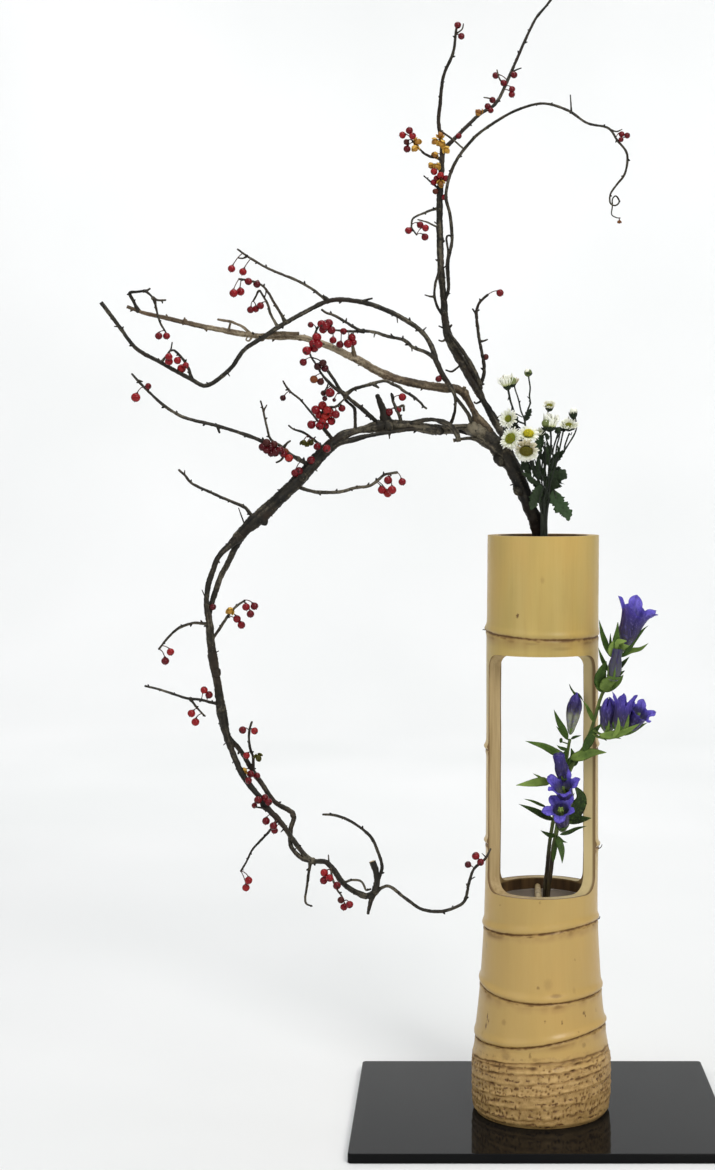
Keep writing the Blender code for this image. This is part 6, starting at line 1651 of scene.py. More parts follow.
def spray(name, parent, twigs, berries, lean=-10.0, thick=1.3, forward=0.0, radius=4.0, tone=None, gap=None):
    """A fruiting spray. berries are (x, y[, radius[, kind[, tone]]])."""
    plant = Plant("spray_" + name)
    last = parent
    for i, spots in enumerate(twigs):
        width = thick if i == 0 else thick * 0.78
        plant.twig(spots, width, width * 0.6, lean if i == 0 else 3.0, last)
        last = plant.path
    for k, row in enumerate(berries):
        x, y = row[:2]
        r = row[2] if len(row) > 2 else radius + (0.0, 0.3, -0.3)[k % 3]
        kind = row[3] if len(row) > 3 else "berry"
        tn = row[4] if len(row) > 4 else tone
        plant.berry((x, y), r, (-2.5, 1.5, -4.5, 3.0)[k % 4] - forward, tn, kind=kind)
    return plant


def sprays():
    arch, fall, brown = smooth(ARCH, 1.5), smooth(FALL, 1.5), smooth(BROWN, 1.5)
    dark, mast, inner = smooth(DARK, 1.5), smooth(UPRIGHT, 1.5), smooth(INNER, 1.5)
    p = spray("brown_tip", brown,
              [[(138, 310), (133, 300.4), (129.5, 293), (136, 292), (143.6, 291.2), (149, 293.8), (154.3, 299.6)],
               [(154.3, 299.6), (156.5, 310), (160, 322), (165, 331)],
               [(153, 297), (157, 300), (163, 300.2), (165.5, 300)]],
              [(158.8, 336, 3.6), (166.5, 336, 3.5)], lean=-12)
    p.twig(((143.6, 291.2), (147.5, 290), (149.6, 288.6)), 0.9, 0.7, 1.0, buds=False)
    p.thorn((130, 293.5), (127.4, 294.6), 0.8, 0.6)
    p.thorn((162, 300), (162.5, 303), 0.8, 0.6)
    p.done()
    p = spray("dark_tip", dark,
              [[(191.8, 379), (188.4, 368), (184, 361), (179, 354.5), (174, 350.3), (169.6, 351)]],
              [(168.8, 356.8, 3.7), (169, 361.5, 3.9), (177.5, 360.5, 3.6), (181.5, 368.5, 4.3), (185.8, 365.4, 3.2)], lean=-10)
    p.twig(((163, 360), (167, 354.6), (171, 349), (172, 342.5)), 0.9, 0.5, -4, dark, buds=False)
    p.done()
    p = spray("far_upper", dark,
              [[(326.5, 299.5), (312, 289), (296.6, 280.5), (281, 274), (266, 267.4), (250, 258), (237.7, 249.6)]],
              [(231.6, 268.7, 3.7), (243, 271.8, 3.8)], lean=-22)
    p.twig(((247.5, 257), (243, 258.4), (238.5, 258)), 0.8, 0.5, 0, buds=False)
    p.done()
    p = spray("dark_fork", dark,
              [[(285.9, 322), (281, 314), (273.7, 302), (266.5, 290), (260, 284), (249.2, 280.5), (239.2, 279)]],
              [(248.4, 281.5, 3.7), (257, 284.2, 3.7, "berry", 0.2), (233.7, 293.2, 4.1, "berry", 0.75), (240.6, 291.6, 4.0, "berry", 0.7)], lean=-16)
    p.thorn((266, 290), (265.6, 295), 0.9, 0.6)
    p.done()
    p = spray("dark_fork_inner", dark,
              [[(278, 326), (270.5, 314), (267.6, 304), (262, 294), (259, 290.5), (256, 296), (253, 301.2)]],
              [(250.5, 309.8, 3.5), (255.8, 309, 3.3), (260.5, 305.8, 3.6)], lean=-4, thick=1.1)
    p.done()
    p = spray("upper_middle", dark,
              [[(434.6, 358), (424, 351), (413, 347.4), (404, 340), (387, 336), (374, 332), (361, 330.5), (352, 326), (345.8, 322), (334, 315.5), (326.5, 313), (322, 309.8)],
               [(363, 331), (352, 331.5), (340, 330.5), (331, 330.5)]],
              [(343.5, 331.3, 3.4), (351.8, 337.6, 4.0), (333, 340.2, 3.6), (340, 344.6, 3.8), (348, 343.8, 4.2, "berry", 0.62), (353.6, 342.4, 3.3)], lean=-30, thick=1.6)
    for a, b in (((403, 340), (403, 336)), ((412, 347), (412, 351)), ((375, 332.4), (374, 337)), ((346, 322), (346.5, 318.5)), ((392, 337.5), (391, 334))):
        p.thorn(a, b, 0.9, 0.6)
    p.done()
    p = spray("big_cluster", arch,
              [[(334, 440), (328.5, 434), (324.5, 429), (322, 421), (323, 412), (328, 407.5), (336, 406.5), (341, 402.4)]],
              [(315.6, 410, 4.5, "berry", 0.6), (322.5, 405.5, 4.4, "split", 0.9), (327.5, 410.5, 4.2, "split", 1.0), (319.5, 415, 4.3, "berry", 0.8), (325.5, 416.5, 4.3, "berry", 0.95), (330.8, 413.2, 4.0, "split", 1.0),
               (336, 414.5, 3.9, "berry", 0.5), (342, 408.3, 3.6, "berry", 0.45), (331.5, 421.2, 4.0, "berry", 0.75), (311.4, 424.8, 4.3, "berry", 0.5), (319.8, 426, 4.1, "berry", 0.6), (325, 426, 4.1, "berry", 0.65), (322.5, 421.0, 3.8, "berry", 0.8)],
              lean=-14, thick=1.5)
    p.done()
    p = spray("arch_top", arch,
              [[(401, 423), (400.4, 419.5), (398.4, 413.5), (395.4, 407), (393.2, 402), (391.6, 395)]],
              [(389, 412.2, 4.1, "berry", 0.3), (398.3, 409.5, 3.5, "berry", 0.5), (402.5, 397, 3.9, "berry", 0.65)], lean=-8, thick=1.5)
    burl(p.wood, at(392.4, 396.5, -36), ((1, 0, 0.35), (0, 1, 0), (-0.35, 0, 1)), (1.8, 1.7, 4.4), 71, 0.10, 10, 12, 0.3)
    p.twig(((397, 411.5), (400.5, 406.5), (403.4, 405.4), (403.8, 410.5)), 1.1, 0.9, -1, buds=False)
    p.done()
    p = spray("grey_twig", arch,
              [[(333, 441), (324.4, 430.8), (317, 420), (310, 411), (300, 399.4), (292, 393), (287, 387.5), (283, 381)]],
              [(283, 398, 3.1, "black")], lean=16, thick=1.1)
    p.twig(((289, 389.5), (286, 390)), 0.7, 0.4, 0, buds=False)
    p.done()
    p = spray("arch_under", arch,
              [[(326, 449), (318, 443), (312.2, 438.6), (306, 433.6), (300, 431), (294, 429.4), (288.6, 425.6)]],
              [(303.5, 443.5, 3.2, "green", 0.5), (307.5, 445.0, 3.2, "green", 0.8), (311.5, 442.5, 2.9, "green", 0.3), (317, 446.5, 3.6, "berry", 0.4), (326.8, 448.6, 3.9, "berry", 0.55)], lean=-20, forward=12.0, thick=1.2)
    p.thorn((313, 439.5), (315.5, 437), 0.8, 0.5)
    p.done()
    p = spray("arch_right", arch,
              [[(294, 484), (300, 487.4), (308, 490.6), (322, 492.4), (340, 491.8), (356, 487.6), (370, 485.6), (378, 480), (384, 475), (391, 473.4), (397, 472.4)]],
              [(388, 480.2, 4.1, "berry", 0.5), (382, 489.8, 4.1, "berry", 0.7), (392, 490.0, 4.3, "berry", 0.75), (387.6, 493.4, 4.0, "split", 0.7), (402.3, 481.8, 3.7, "berry", 0.55)], lean=-16, thick=1.7)
    p.thorn((368, 486), (369, 483), 1.0, 0.6)
    p.thorn((384, 475), (383.4, 472), 0.9, 0.6)
    p.thorn((356, 488), (357, 486), 1.0, 0.7)
    p.done()
    p = spray("fall_left_upper", fall,
              [[(207.5, 624), (199, 623), (191.2, 623.4), (180, 627.5), (172, 633.6), (165, 641), (159, 649)]],
              [(170.5, 652, 3.7), (165.3, 661, 3.9)], lean=-16)
    p.done()
    p = spray("fall_left_lower", fall,
              [[(220, 704), (211, 702.4), (201.4, 700), (186, 698), (172, 693.5), (158, 689), (145.3, 686)],
               [(190, 698), (198, 709), (205, 716)]],
              [(204, 690, 3.6), (209, 694.8, 3.7), (191.5, 713.5, 3.8), (195.5, 722, 3.9)], lean=-18)
    p.done()
    p = spray("fall_right", fall,
              [[(212.5, 641), (218, 631), (225, 620), (230.8, 612), (238, 605), (244.8, 600.4)]],
              [(246, 607, 3.8), (254.4, 606.2, 3.8), (250.5, 614, 3.7), (237, 619, 3.8), (230, 611.6, 4.0, "husk", 0.85), (241.5, 625, 3.8)], lean=-18)
    p.done()
    p = spray("low_husks", inner,
              [[(252.7, 770), (253.4, 762), (253, 756), (250.4, 749), (249, 740), (249.4, 730), (251.8, 722)]],
              [(242.6, 730, 3.7), (254.5, 731, 3.5), (258.5, 757.6, 3.9, "green", 0.6), (246.4, 755.5, 3.4), (243.2, 771.5, 3.7, "husk", 0.75)], lean=-22, forward=6.0)
    p.done()
    p = spray("low_drop", fall,
              [[(278, 820), (270.5, 829.7), (260.6, 840.6), (252, 850.3), (246, 862.4), (240.6, 871)]],
              [(248.6, 880.4, 3.8), (246, 887.6, 3.7)], lean=16, thick=1.1)
    p.done()
    p = spray("low_cluster", fall,
              [[(331, 864), (331, 870), (332.5, 878), (337, 889), (341, 895), (344, 901)]],
              [(324.2, 872.8, 3.8), (323.6, 880.5, 3.7), (329.5, 878, 3.7), (336.9, 885.6, 3.8), (341, 900, 3.3, "brown", 0.3), (344, 907, 3.5), (349.5, 904.6, 3.6)], lean=-18, forward=5.0, thick=1.0)
    p.done()
    p = spray("upright_twig", mast,
              [[(479, 390), (482.6, 379), (484.2, 371), (483.6, 361), (481.6, 352), (478.5, 334), (476.5, 316), (477.6, 307), (480.7, 301.3), (487.6, 295)]],
              [(500, 293, 3.8, "berry", 0.45), (485.6, 357, 3.2, "brown", 0.4)], lean=-8, thick=1.7)
    p.twig(((477, 318), (475, 313), (472.6, 309)), 0.9, 0.6, 0, buds=False)
    p.twig(((479.6, 342), (484, 341), (487.4, 339.6)), 0.9, 0.6, 0, buds=False)
    p.twig(((481.5, 401), (476.4, 403.6), (474.2, 402.2)), 0.9, 0.6, 0, mast, buds=False)
    p.done()
    p = spray("top_cluster", mast,
              [[(441.6, 160), (436, 157.5), (430, 156.5), (424, 153), (418, 147), (412.5, 141)]],
              [(409.5, 130.5, 3.7), (402.5, 135, 3.6), (412.5, 136, 3.6), (407, 149, 3.7), (417.6, 142.0, 4.1, "husk", 0.75), (406.4, 142, 3.0, "brown", 0.3), (415.2, 149.4, 3.9, "husk", 0.85)], lean=-10)
    p.done()
    p = spray("leader_cluster", mast,
              [[(438.5, 208), (430, 210.5), (422, 214), (416, 216.5), (412.5, 219.6), (411.6, 225), (412, 228.6), (416.6, 234.8)]],
              [(408.4, 230.6, 3.6), (420.2, 224.9, 3.6), (425.5, 228, 3.6), (425, 237, 3.7)], lean=-12, thick=1.1)
    p.twig(((439, 227.4), (433, 225), (427.3, 222.3), (418, 219.6)), 0.9, 0.6, -9, mast, buds=False)
    p.done()


trunk()
hanging_shoot()
upright()
tendril()
brown_cane()
dark_cane()
left_shoot()
middle_cane()
sprays()


# ================================================================ flower finishes
def petal_material():
    """Chrysanthemum rays: white to cream, greener at the foot. tone 0 white, 1 cream."""
    made, tree, shader = material("mum_petal", srgb(246, 244, 236), 0.55, Specular_IOR_Level=0.25, Subsurface_Weight=0.0)
    white = ramp(tree, attribute(tree, "along"), ((0.0, srgb(158, 172, 84)), (0.22, srgb(214, 220, 160)), (0.5, srgb(240, 241, 220)), (1.0, srgb(248, 249, 240))))
    cream = ramp(tree, attribute(tree, "along"), ((0.0, srgb(96, 88, 34)), (0.3, srgb(146, 136, 92)), (0.7, srgb(190, 180, 142)), (1.0, srgb(210, 196, 166))))
    streak = noise_out(tree, position(tree, (1, 1, 1)), 900.0, 2.0)
    base = mix(tree, span(tree, attribute(tree, "tone"), 0.1, 0.9), white, cream)
    colour_in(tree, shader, mix(tree, span(tree, streak, 0.3, 1.2, 0.0, 0.16), base, srgb(214, 214, 190)))
    bump(tree, shader, streak, 0.12, 0.0001)
    return made


def floret_material():
    """The disc: tone 0 olive, 0.5 green, 1 bright yellow; along runs foot to tip."""
    made, tree, shader = material("mum_disc", srgb(150, 150, 40), 0.6, Specular_IOR_Level=0.3)
    face = ramp(tree, attribute(tree, "tone"), ((0.0, srgb(96, 88, 12)), (0.25, srgb(136, 124, 24)), (0.5, srgb(132, 152, 30)), (0.75, srgb(186, 180, 34)), (1.0, srgb(232, 214, 22))))
    foot = mix(tree, span(tree, attribute(tree, "along"), 0.0, 0.8, 0.75, 0.0), face, srgb(66, 70, 18))
    colour_in(tree, shader, foot)
    bump(tree, shader, noise_out(tree, position(tree), 900.0, 2.0), 0.2, 0.0002)
    return made


def leaf_material(name, dark, mid, light, vein, gloss=0.5):
    """A leaf: tone 0 dark, 1 light; mottled, with its veins a little paler."""
    made, tree, shader = material(name, mid, gloss, Specular_IOR_Level=0.32)
    patch = noise_out(tree, position(tree), 130.0, 4.0)
    fine = noise_out(tree, position(tree), 620.0, 2.0)
    base = ramp(tree, maths(tree, "ADD", maths(tree, "MULTIPLY", attribute(tree, "tone"), 0.62), maths(tree, "MULTIPLY", patch, 0.4)),
                ((0.12, dark), (0.46, mid), (0.86, light)))
    base = mix(tree, span(tree, fine, 0.52, 0.8, 0.0, 0.35), base, vein)
    colour_in(tree, shader, base)
    bump(tree, shader, fine, 0.18, 0.0002)
    return made


def violet_material():
    """Gentian corollas. along: 0 foot, 1 lobe tip. tone under 0.5: outside, paler to darker
    stripes; over 0.5: the inside of the trumpet."""
    made, tree, shader = material("gentian_petal", srgb(91, 77, 182), 0.5, Specular_IOR_Level=0.3)
    along, tone = attribute(tree, "along"), attribute(tree, "tone")
    out = ramp(tree, along, ((0.0, srgb(150, 154, 128)), (0.16, srgb(92, 92, 84)), (0.34, srgb(54, 48, 66)), (0.60, srgb(52, 43, 90)), (0.8, srgb(70, 56, 144)), (1.0, srgb(84, 70, 176))))
    dark = ramp(tree, along, ((0.0, srgb(88, 88, 70)), (0.2, srgb(52, 48, 56)), (0.5, srgb(32, 24, 60)), (0.8, srgb(48, 36, 112)), (1.0, srgb(70, 56, 158))))
    inner = ramp(tree, along, ((0.0, srgb(166, 172, 140)), (0.40, srgb(134, 140, 122)), (0.60, srgb(96, 90, 138)), (0.78, srgb(92, 80, 182)), (0.93, srgb(104, 90, 200)), (1.0, srgb(82, 68, 170))))
    base = mix(tree, span(tree, tone, 0.05, 0.42), out, dark)
    base = mix(tree, span(tree, tone, 0.48, 0.56), base, inner)
    base = mix(tree, span(tree, tone, 0.72, 1.0, 0.0, 0.62), base, srgb(52, 40, 128))
    vein = noise_out(tree, position(tree, (1.0, 1.0, 0.22)), 520.0, 2.0)
    base = mix(tree, span(tree, vein, 0.52, 0.70, 0.0, 0.5), base, srgb(44, 34, 104))
    base = mix(tree, span(tree, vein, 0.46, 0.30, 0.0, 0.28), base, srgb(140, 128, 216))
    base = mix(tree, span(tree, tone, -0.05, -0.55), base, srgb(72, 74, 80))
    spots = noise_out(tree, position(tree), 420.0, 2.0)
    base = mix(tree, span(tree, spots, 0.50, 0.72, 0.0, 0.45), base, srgb(52, 40, 120))
    colour_in(tree, shader, base)
    bump(tree, shader, noise_out(tree, position(tree), 260.0, 3.0), 0.25, 0.0003)
    return made


def stem_material(name, dark, mid, light, young=None, low=0.255, high=0.300):
    made, tree, shader = material(name, mid, 0.5, Specular_IOR_Level=0.35)
    fine = noise_out(tree, position(tree, (1, 1, 0.25)), 420.0, 3.0)
    slow = noise_out(tree, position(tree), 26.0, 3.0)
    grain = maths(tree, "ADD", maths(tree, "MULTIPLY", fine, 0.5), maths(tree, "MULTIPLY", slow, 0.5))
    base = ramp(tree, grain, ((0.3, dark), (0.5, mid), (0.72, light)))
    if young is not None:
        height = node(tree, "ShaderNodeSeparateXYZ", {"Vector": position(tree)}).outputs["Z"]
        green = ramp(tree, grain, ((0.3, tuple(c * 0.45 for c in young[:3])), (0.55, young), (0.75, tuple(c * 1.5 for c in young[:3]))))
        base = mix(tree, span(tree, height, low, high, 0.0, 0.92), base, green)
    colour_in(tree, shader, base)
    bump(tree, shader, fine, 0.25, 0.0002)
    return made


PETAL = petal_material()
FLORET = floret_material()
MUM_LEAF = leaf_material("mum_leaf", srgb(9, 16, 6), srgb(29, 45, 17), srgb(52, 80, 42), srgb(58, 82, 46), 0.66)
MUM_BALL = leaf_material("mum_ball", srgb(46, 56, 26), srgb(98, 110, 58), srgb(166, 174, 122), srgb(150, 160, 108), 0.6)
MUM_STEM = stem_material("mum_stem", srgb(8, 11, 6), srgb(20, 27, 15), srgb(50, 60, 38))
GENTIAN = violet_material()
GENTIAN_LEAF = leaf_material("gentian_leaf", srgb(12, 22, 4), srgb(58, 86, 20), srgb(136, 160, 76), srgb(112, 142, 58), 0.62)
GENTIAN_STEM = stem_material("gentian_stem", srgb(24, 16, 8), srgb(50, 40, 20), srgb(84, 78, 42), srgb(98, 118, 50))


# ================================================================ leaves
def leaf(pool, spots, width, d0, d1, tone=0.5, mat=0, shape="lance", up=(0, -1, 0.35), fold=0.16, camber=-0.10,
         rows=22, cols=7, wave=0.05, thick=0.5, seed=0, twist=0.0, bow=0.0, neck=0.16):
    """A leaf along sheet spots, root first; shape lance, broad, lobed or thread."""
    pts = np.array([[*at(x, y, d0 + (d1 - d0) * (i / (len(spots) - 1)) + bow * math.sin(math.pi * i / (len(spots) - 1))), 1.0]
                    for i, (x, y) in enumerate(spots)])
    total = np.linalg.norm(np.diff(pts[:, :3], axis=0), axis=1).sum()
    fine = smooth(pts, total / (rows * 3))[:, :3]
    run = np.concatenate([[0], np.cumsum(np.linalg.norm(np.diff(fine, axis=0), axis=1))])
    s = np.linspace(0, 1, rows if shape != "lobed" else rows * 2)
    spine = np.stack([np.interp(s * run[-1], run, fine[:, k]) for k in range(3)], -1)
    if shape == "lance":
        w = np.sin(np.pi * np.clip(s, 0, 1) ** 0.72) ** 0.85 * (1 - 0.25 * s) * 1.12
    elif shape == "broad":
        w = np.sin(np.pi * np.clip(s, 0, 1) ** 0.62) ** 0.7 * (1 - 0.30 * s) * 1.15
    elif shape == "thread":
        w = (1 - s) ** 0.5 * np.minimum(1, s * 8 + 0.5)
    else:
        body = np.sin(np.pi * np.clip(s, 0, 1) ** 0.80) ** 0.62
        teeth = 1 - 0.34 * np.abs(np.sin(np.pi * (s * 3.6 + 0.15))) ** 2.2 * (s > 0.16) * (1 - s) ** 0.15 + 0.10 * np.sin(s * 62 + seed) * (s > 0.2)
        w = body * teeth
    w = np.maximum(w, neck * (1 - s) ** 2 + 0.015) * width / 2
    t = unit(np.gradient(spine, axis=0))
    side = unit(np.cross(t, np.broadcast_to(np.asarray(up, float), t.shape)))
    nrm = np.cross(side, t)
    if twist:
        ang = (twist * s)[:, None]
        side, nrm = side * np.cos(ang) + nrm * np.sin(ang), nrm * np.cos(ang) - side * np.sin(ang)
    u = np.linspace(-1, 1, cols if shape != "lobed" else cols + 2)
    lift = (fold * np.abs(u)[None, :] + camber * (u ** 2)[None, :]) * w[:, None]
    lift = lift + wave * np.sin(s * 19 + seed)[:, None] * (u ** 2)[None, :] * width * 0.5 + 0.06 * w[:, None] * np.cos(u * 9.0)[None, :] * np.sin(s * 40)[:, None]
    sweep = 0.10 * total * (np.abs(u) ** 1.6)[None, :] * np.minimum(1, w / (0.4 * width))[:, None] * (1 - s)[:, None] if shape == "lobed" else 0.0
    mid = spine[:, None, :] + side[:, None, :] * (u[None, :] * w[:, None])[:, :, None] + nrm[:, None, :] * lift[:, :, None]
    if shape == "lobed":
        mid = mid + t[:, None, :] * sweep[:, :, None]
    rib = 0.28 * np.exp(-(u * 5.0) ** 2)[None, :] * np.minimum(1, w / (0.3 * width))[:, None] * min(1.0, width / 8)
    half = (thick / 2 * np.maximum(0.3, np.sqrt(np.maximum(0, 1 - u ** 2))))[None, :] * np.clip(w / (0.35 * width / 2), 0.4, 1.0)[:, None]
    top = mid + nrm[:, None, :] * (half - rib * 0.5)[:, :, None]
    low = mid - nrm[:, None, :] * (half + rib)[:, :, None]
    sections = np.concatenate([top[:, ::-1], low[:, 1:-1]], axis=1)
    shade = tone + 0.12 * np.concatenate([np.abs(u[::-1]), np.abs(u[1:-1]) - 0.5])[None, :] - 0.10 * np.sin(s * np.pi)[:, None]
    pool.loft(sections, (True, True), shade, s, mat)
    return spine


def nub(pool, centre, axis, radius, long, tone=0.5, mat=0, rows=8, cols=12, waist=0.9, seed=0, bumps=0.0):
    """A bud: an egg along its axis."""
    x, y, a = turn_to(np.asarray(axis, float))
    th = np.linspace(0.05, math.pi - 0.05, rows)
    ph = np.arange(cols) / cols * 2 * math.pi
    r = radius * np.sin(th) ** waist
    z = -np.cos(th) * long
    scale = 1 + bumps * np.sin(ph * 5)[None, :] * np.sin(th)[:, None]
    sec = centre + a * z[:, None, None] + (r[:, None] * scale)[:, :, None] * (np.cos(ph)[None, :, None] * x + np.sin(ph)[None, :, None] * y)
    pool.loft(sec, (True, True), tone, np.linspace(0, 1, rows), mat)


# ================================================================ chrysanthemums
def bracts(pool, centre, axis, radius, long, count, opening, tone=0.3, mat=2, seed=0, layers=2):
    """The green cup of overlapping scales under a flower head."""
    x, y, a = turn_to(np.asarray(axis, float))
    rng = np.random.default_rng(seed + 50)
    rows, cols = 7, 20
    s = np.linspace(0, 1, rows)
    r = radius * (0.16 + 0.80 * np.sin(s * math.pi / 2) ** 0.9)
    z = -long * (1 - s) ** 1.0
    ph = np.arange(cols) / cols * 2 * math.pi
    sec = centre + a * z[:, None, None] + r[:, None, None] * (np.cos(ph)[None, :, None] * x + np.sin(ph)[None, :, None] * y)
    pool.loft(sec, (True, True), tone * 0.7, 0.2, mat)
    for layer in range(layers):
        for k in range(count):
            phi = (k + 0.5 * layer) / count * 2 * math.pi + 0.12 * rng.normal()
            out = math.cos(phi) * x + math.sin(phi) * y
            q = np.linspace(0, 1, 5)
            base = 0.25 + 0.25 * layer
            rr = radius * (0.16 + 0.80 * np.sin(np.clip(base + q * 0.55, 0, 1.2) * math.pi / 2)) + 0.25
            zz = -long * (1 - (base + q * (0.62 + 0.10 * layer + opening * 0.2)))
            spine = centre + out * rr[:, None] + a * zz[:, None]
            w = radius * 0.27 * np.array([0.7, 1.0, 0.95, 0.65, 0.12])
            blade(pool, spine, w, 0.35, camber=-0.2, up=out, cols=3, tone=tone + 0.3 * rng.random(), along=np.linspace(0, 1, 5), mat=mat, edge=0.5)


def florets(pool, centre, axis, radius, height, count, tone, seed, squash=1.0):
    x, y, a = turn_to(np.asarray(axis, float))
    rng = np.random.default_rng(seed + 90)
    rows, cols = 6, 18
    th = np.linspace(0, 1, rows)
    ph = np.arange(cols) / cols * 2 * math.pi
    r = radius * np.cos(th * math.pi / 2 * 0.96) * 0.97
    z = height * np.sin(th * math.pi / 2) - 0.4
    sec = centre + a * z[:, None, None] + r[:, None, None] * (np.cos(ph)[None, :, None] * x + squash * np.sin(ph)[None, :, None] * y)
    pool.loft(sec, (True, True), tone * 0.8, 0.0, 1)
    for i in range(count):
        f = math.sqrt((i + 0.5) / count)
        ang = i * 2.39996
        fx, fy = math.cos(ang) * f, math.sin(ang) * f * squash
        foot = centre + (x * fx + y * fy) * radius + a * (height * math.sqrt(max(0, 1 - f * f)) - 0.5)
        lean = unit(a + 0.55 * f * (x * fx + y * fy) + 0.10 * rng.normal(size=3))
        wide = radius * 0.98 / math.sqrt(count) * (0.86 + 0.22 * rng.random())
        tall = wide * (1.1 + 0.5 * f + 0.3 * rng.random())
        u2, v2, l2 = turn_to(lean)
        q = np.arange(5) / 5 * 2 * math.pi + rng.random()
        prof = ((0.0, 0.62), (0.55, 0.85), (0.85, 0.95), (1.0, 0.55))
        ring = np.array([foot + l2 * tall * h + wide * w * (np.cos(q)[:, None] * u2 + np.sin(q)[:, None] * v2) for h, w in prof])
        tn = np.clip(tone + 0.22 * rng.normal() * 0.5 - 0.22 * (1 - f), 0, 1)
        pool.loft(ring, (False, True), tn, np.array([0, 0.6, 0.9, 1.0]), 1)


def rays(pool, centre, axis, reach, root, count, rise, curl, width, tone=0.0, seed=0, spread=None, tilt=0.0, rows=7, ragged=0.10, start_up=0.0, upper=0.0):
    """A ring of ray petals. rise is their angle over the plane at the root, curl the change of
    it towards the tip (both in degrees)."""
    x, y, a = turn_to(np.asarray(axis, float))
    rng = np.random.default_rng(seed)
    for k in range(count):
        phi = (k + tilt + 0.25 * rng.normal() * 0.6) / count * 2 * math.pi
        if spread is not None and not spread(phi):
            continue
        out = math.cos(phi) * x + math.sin(phi) * y
        tang = np.cross(a, out)
        long = reach * (1 + ragged * rng.normal())
        e0 = math.radians(rise + 6 * rng.normal())
        e1 = e0 + math.radians(curl + 12 * rng.normal())
        bend = 0.12 * rng.normal()
        s = np.linspace(0, 1, rows)
        e = e0 + (e1 - e0) * s
        step = long / (rows - 1)
        d = np.cos(e)[:, None] * out + np.sin(e)[:, None] * a + (bend * s)[:, None] * tang
        p = centre + out * root + a * start_up + np.concatenate([[np.zeros(3)], np.cumsum(d[:-1] * step, axis=0)])
        up = unit(-np.sin(e)[:, None] * out + np.cos(e)[:, None] * a)
        w = width / 2 * (1 + 0.12 * rng.normal()) * np.interp(s, [0, 0.2, 0.5, 0.78, 0.93, 1.0], [0.42, 0.68, 0.95, 1.0, 0.80, 0.42])
        # upper shifts the tone of petals by how far they point up, towards the darker cream: painted shade on a head's
        # upper petals
        blade(pool, p, w, 0.28, camber=0.28 + 0.1 * rng.normal(), up=up, cols=5, twist=0.25 * rng.normal(), tone=np.clip(tone + upper * out[2] + 0.12 * rng.normal(), 0, 1),
              along=s, mat=0, edge=0.4)


def mum_stem(pool, rows, seed=0, sides=9, mat=0, **kw):
    return cane(pool, rows, sides, 1.8, rough=0.05, ridges=0.05, lump=0.06, seed=seed, start="round", end="round", mat=mat, tone=0.5, **kw)


def sheet_stem(spots, d0, d1, r0, r1):
    n = len(spots) - 1
    return np.array([[*at(x, y, d0 + (d1 - d0) * i / n), r0 + (r1 - r0) * i / n] for i, (x, y) in enumerate(spots)])


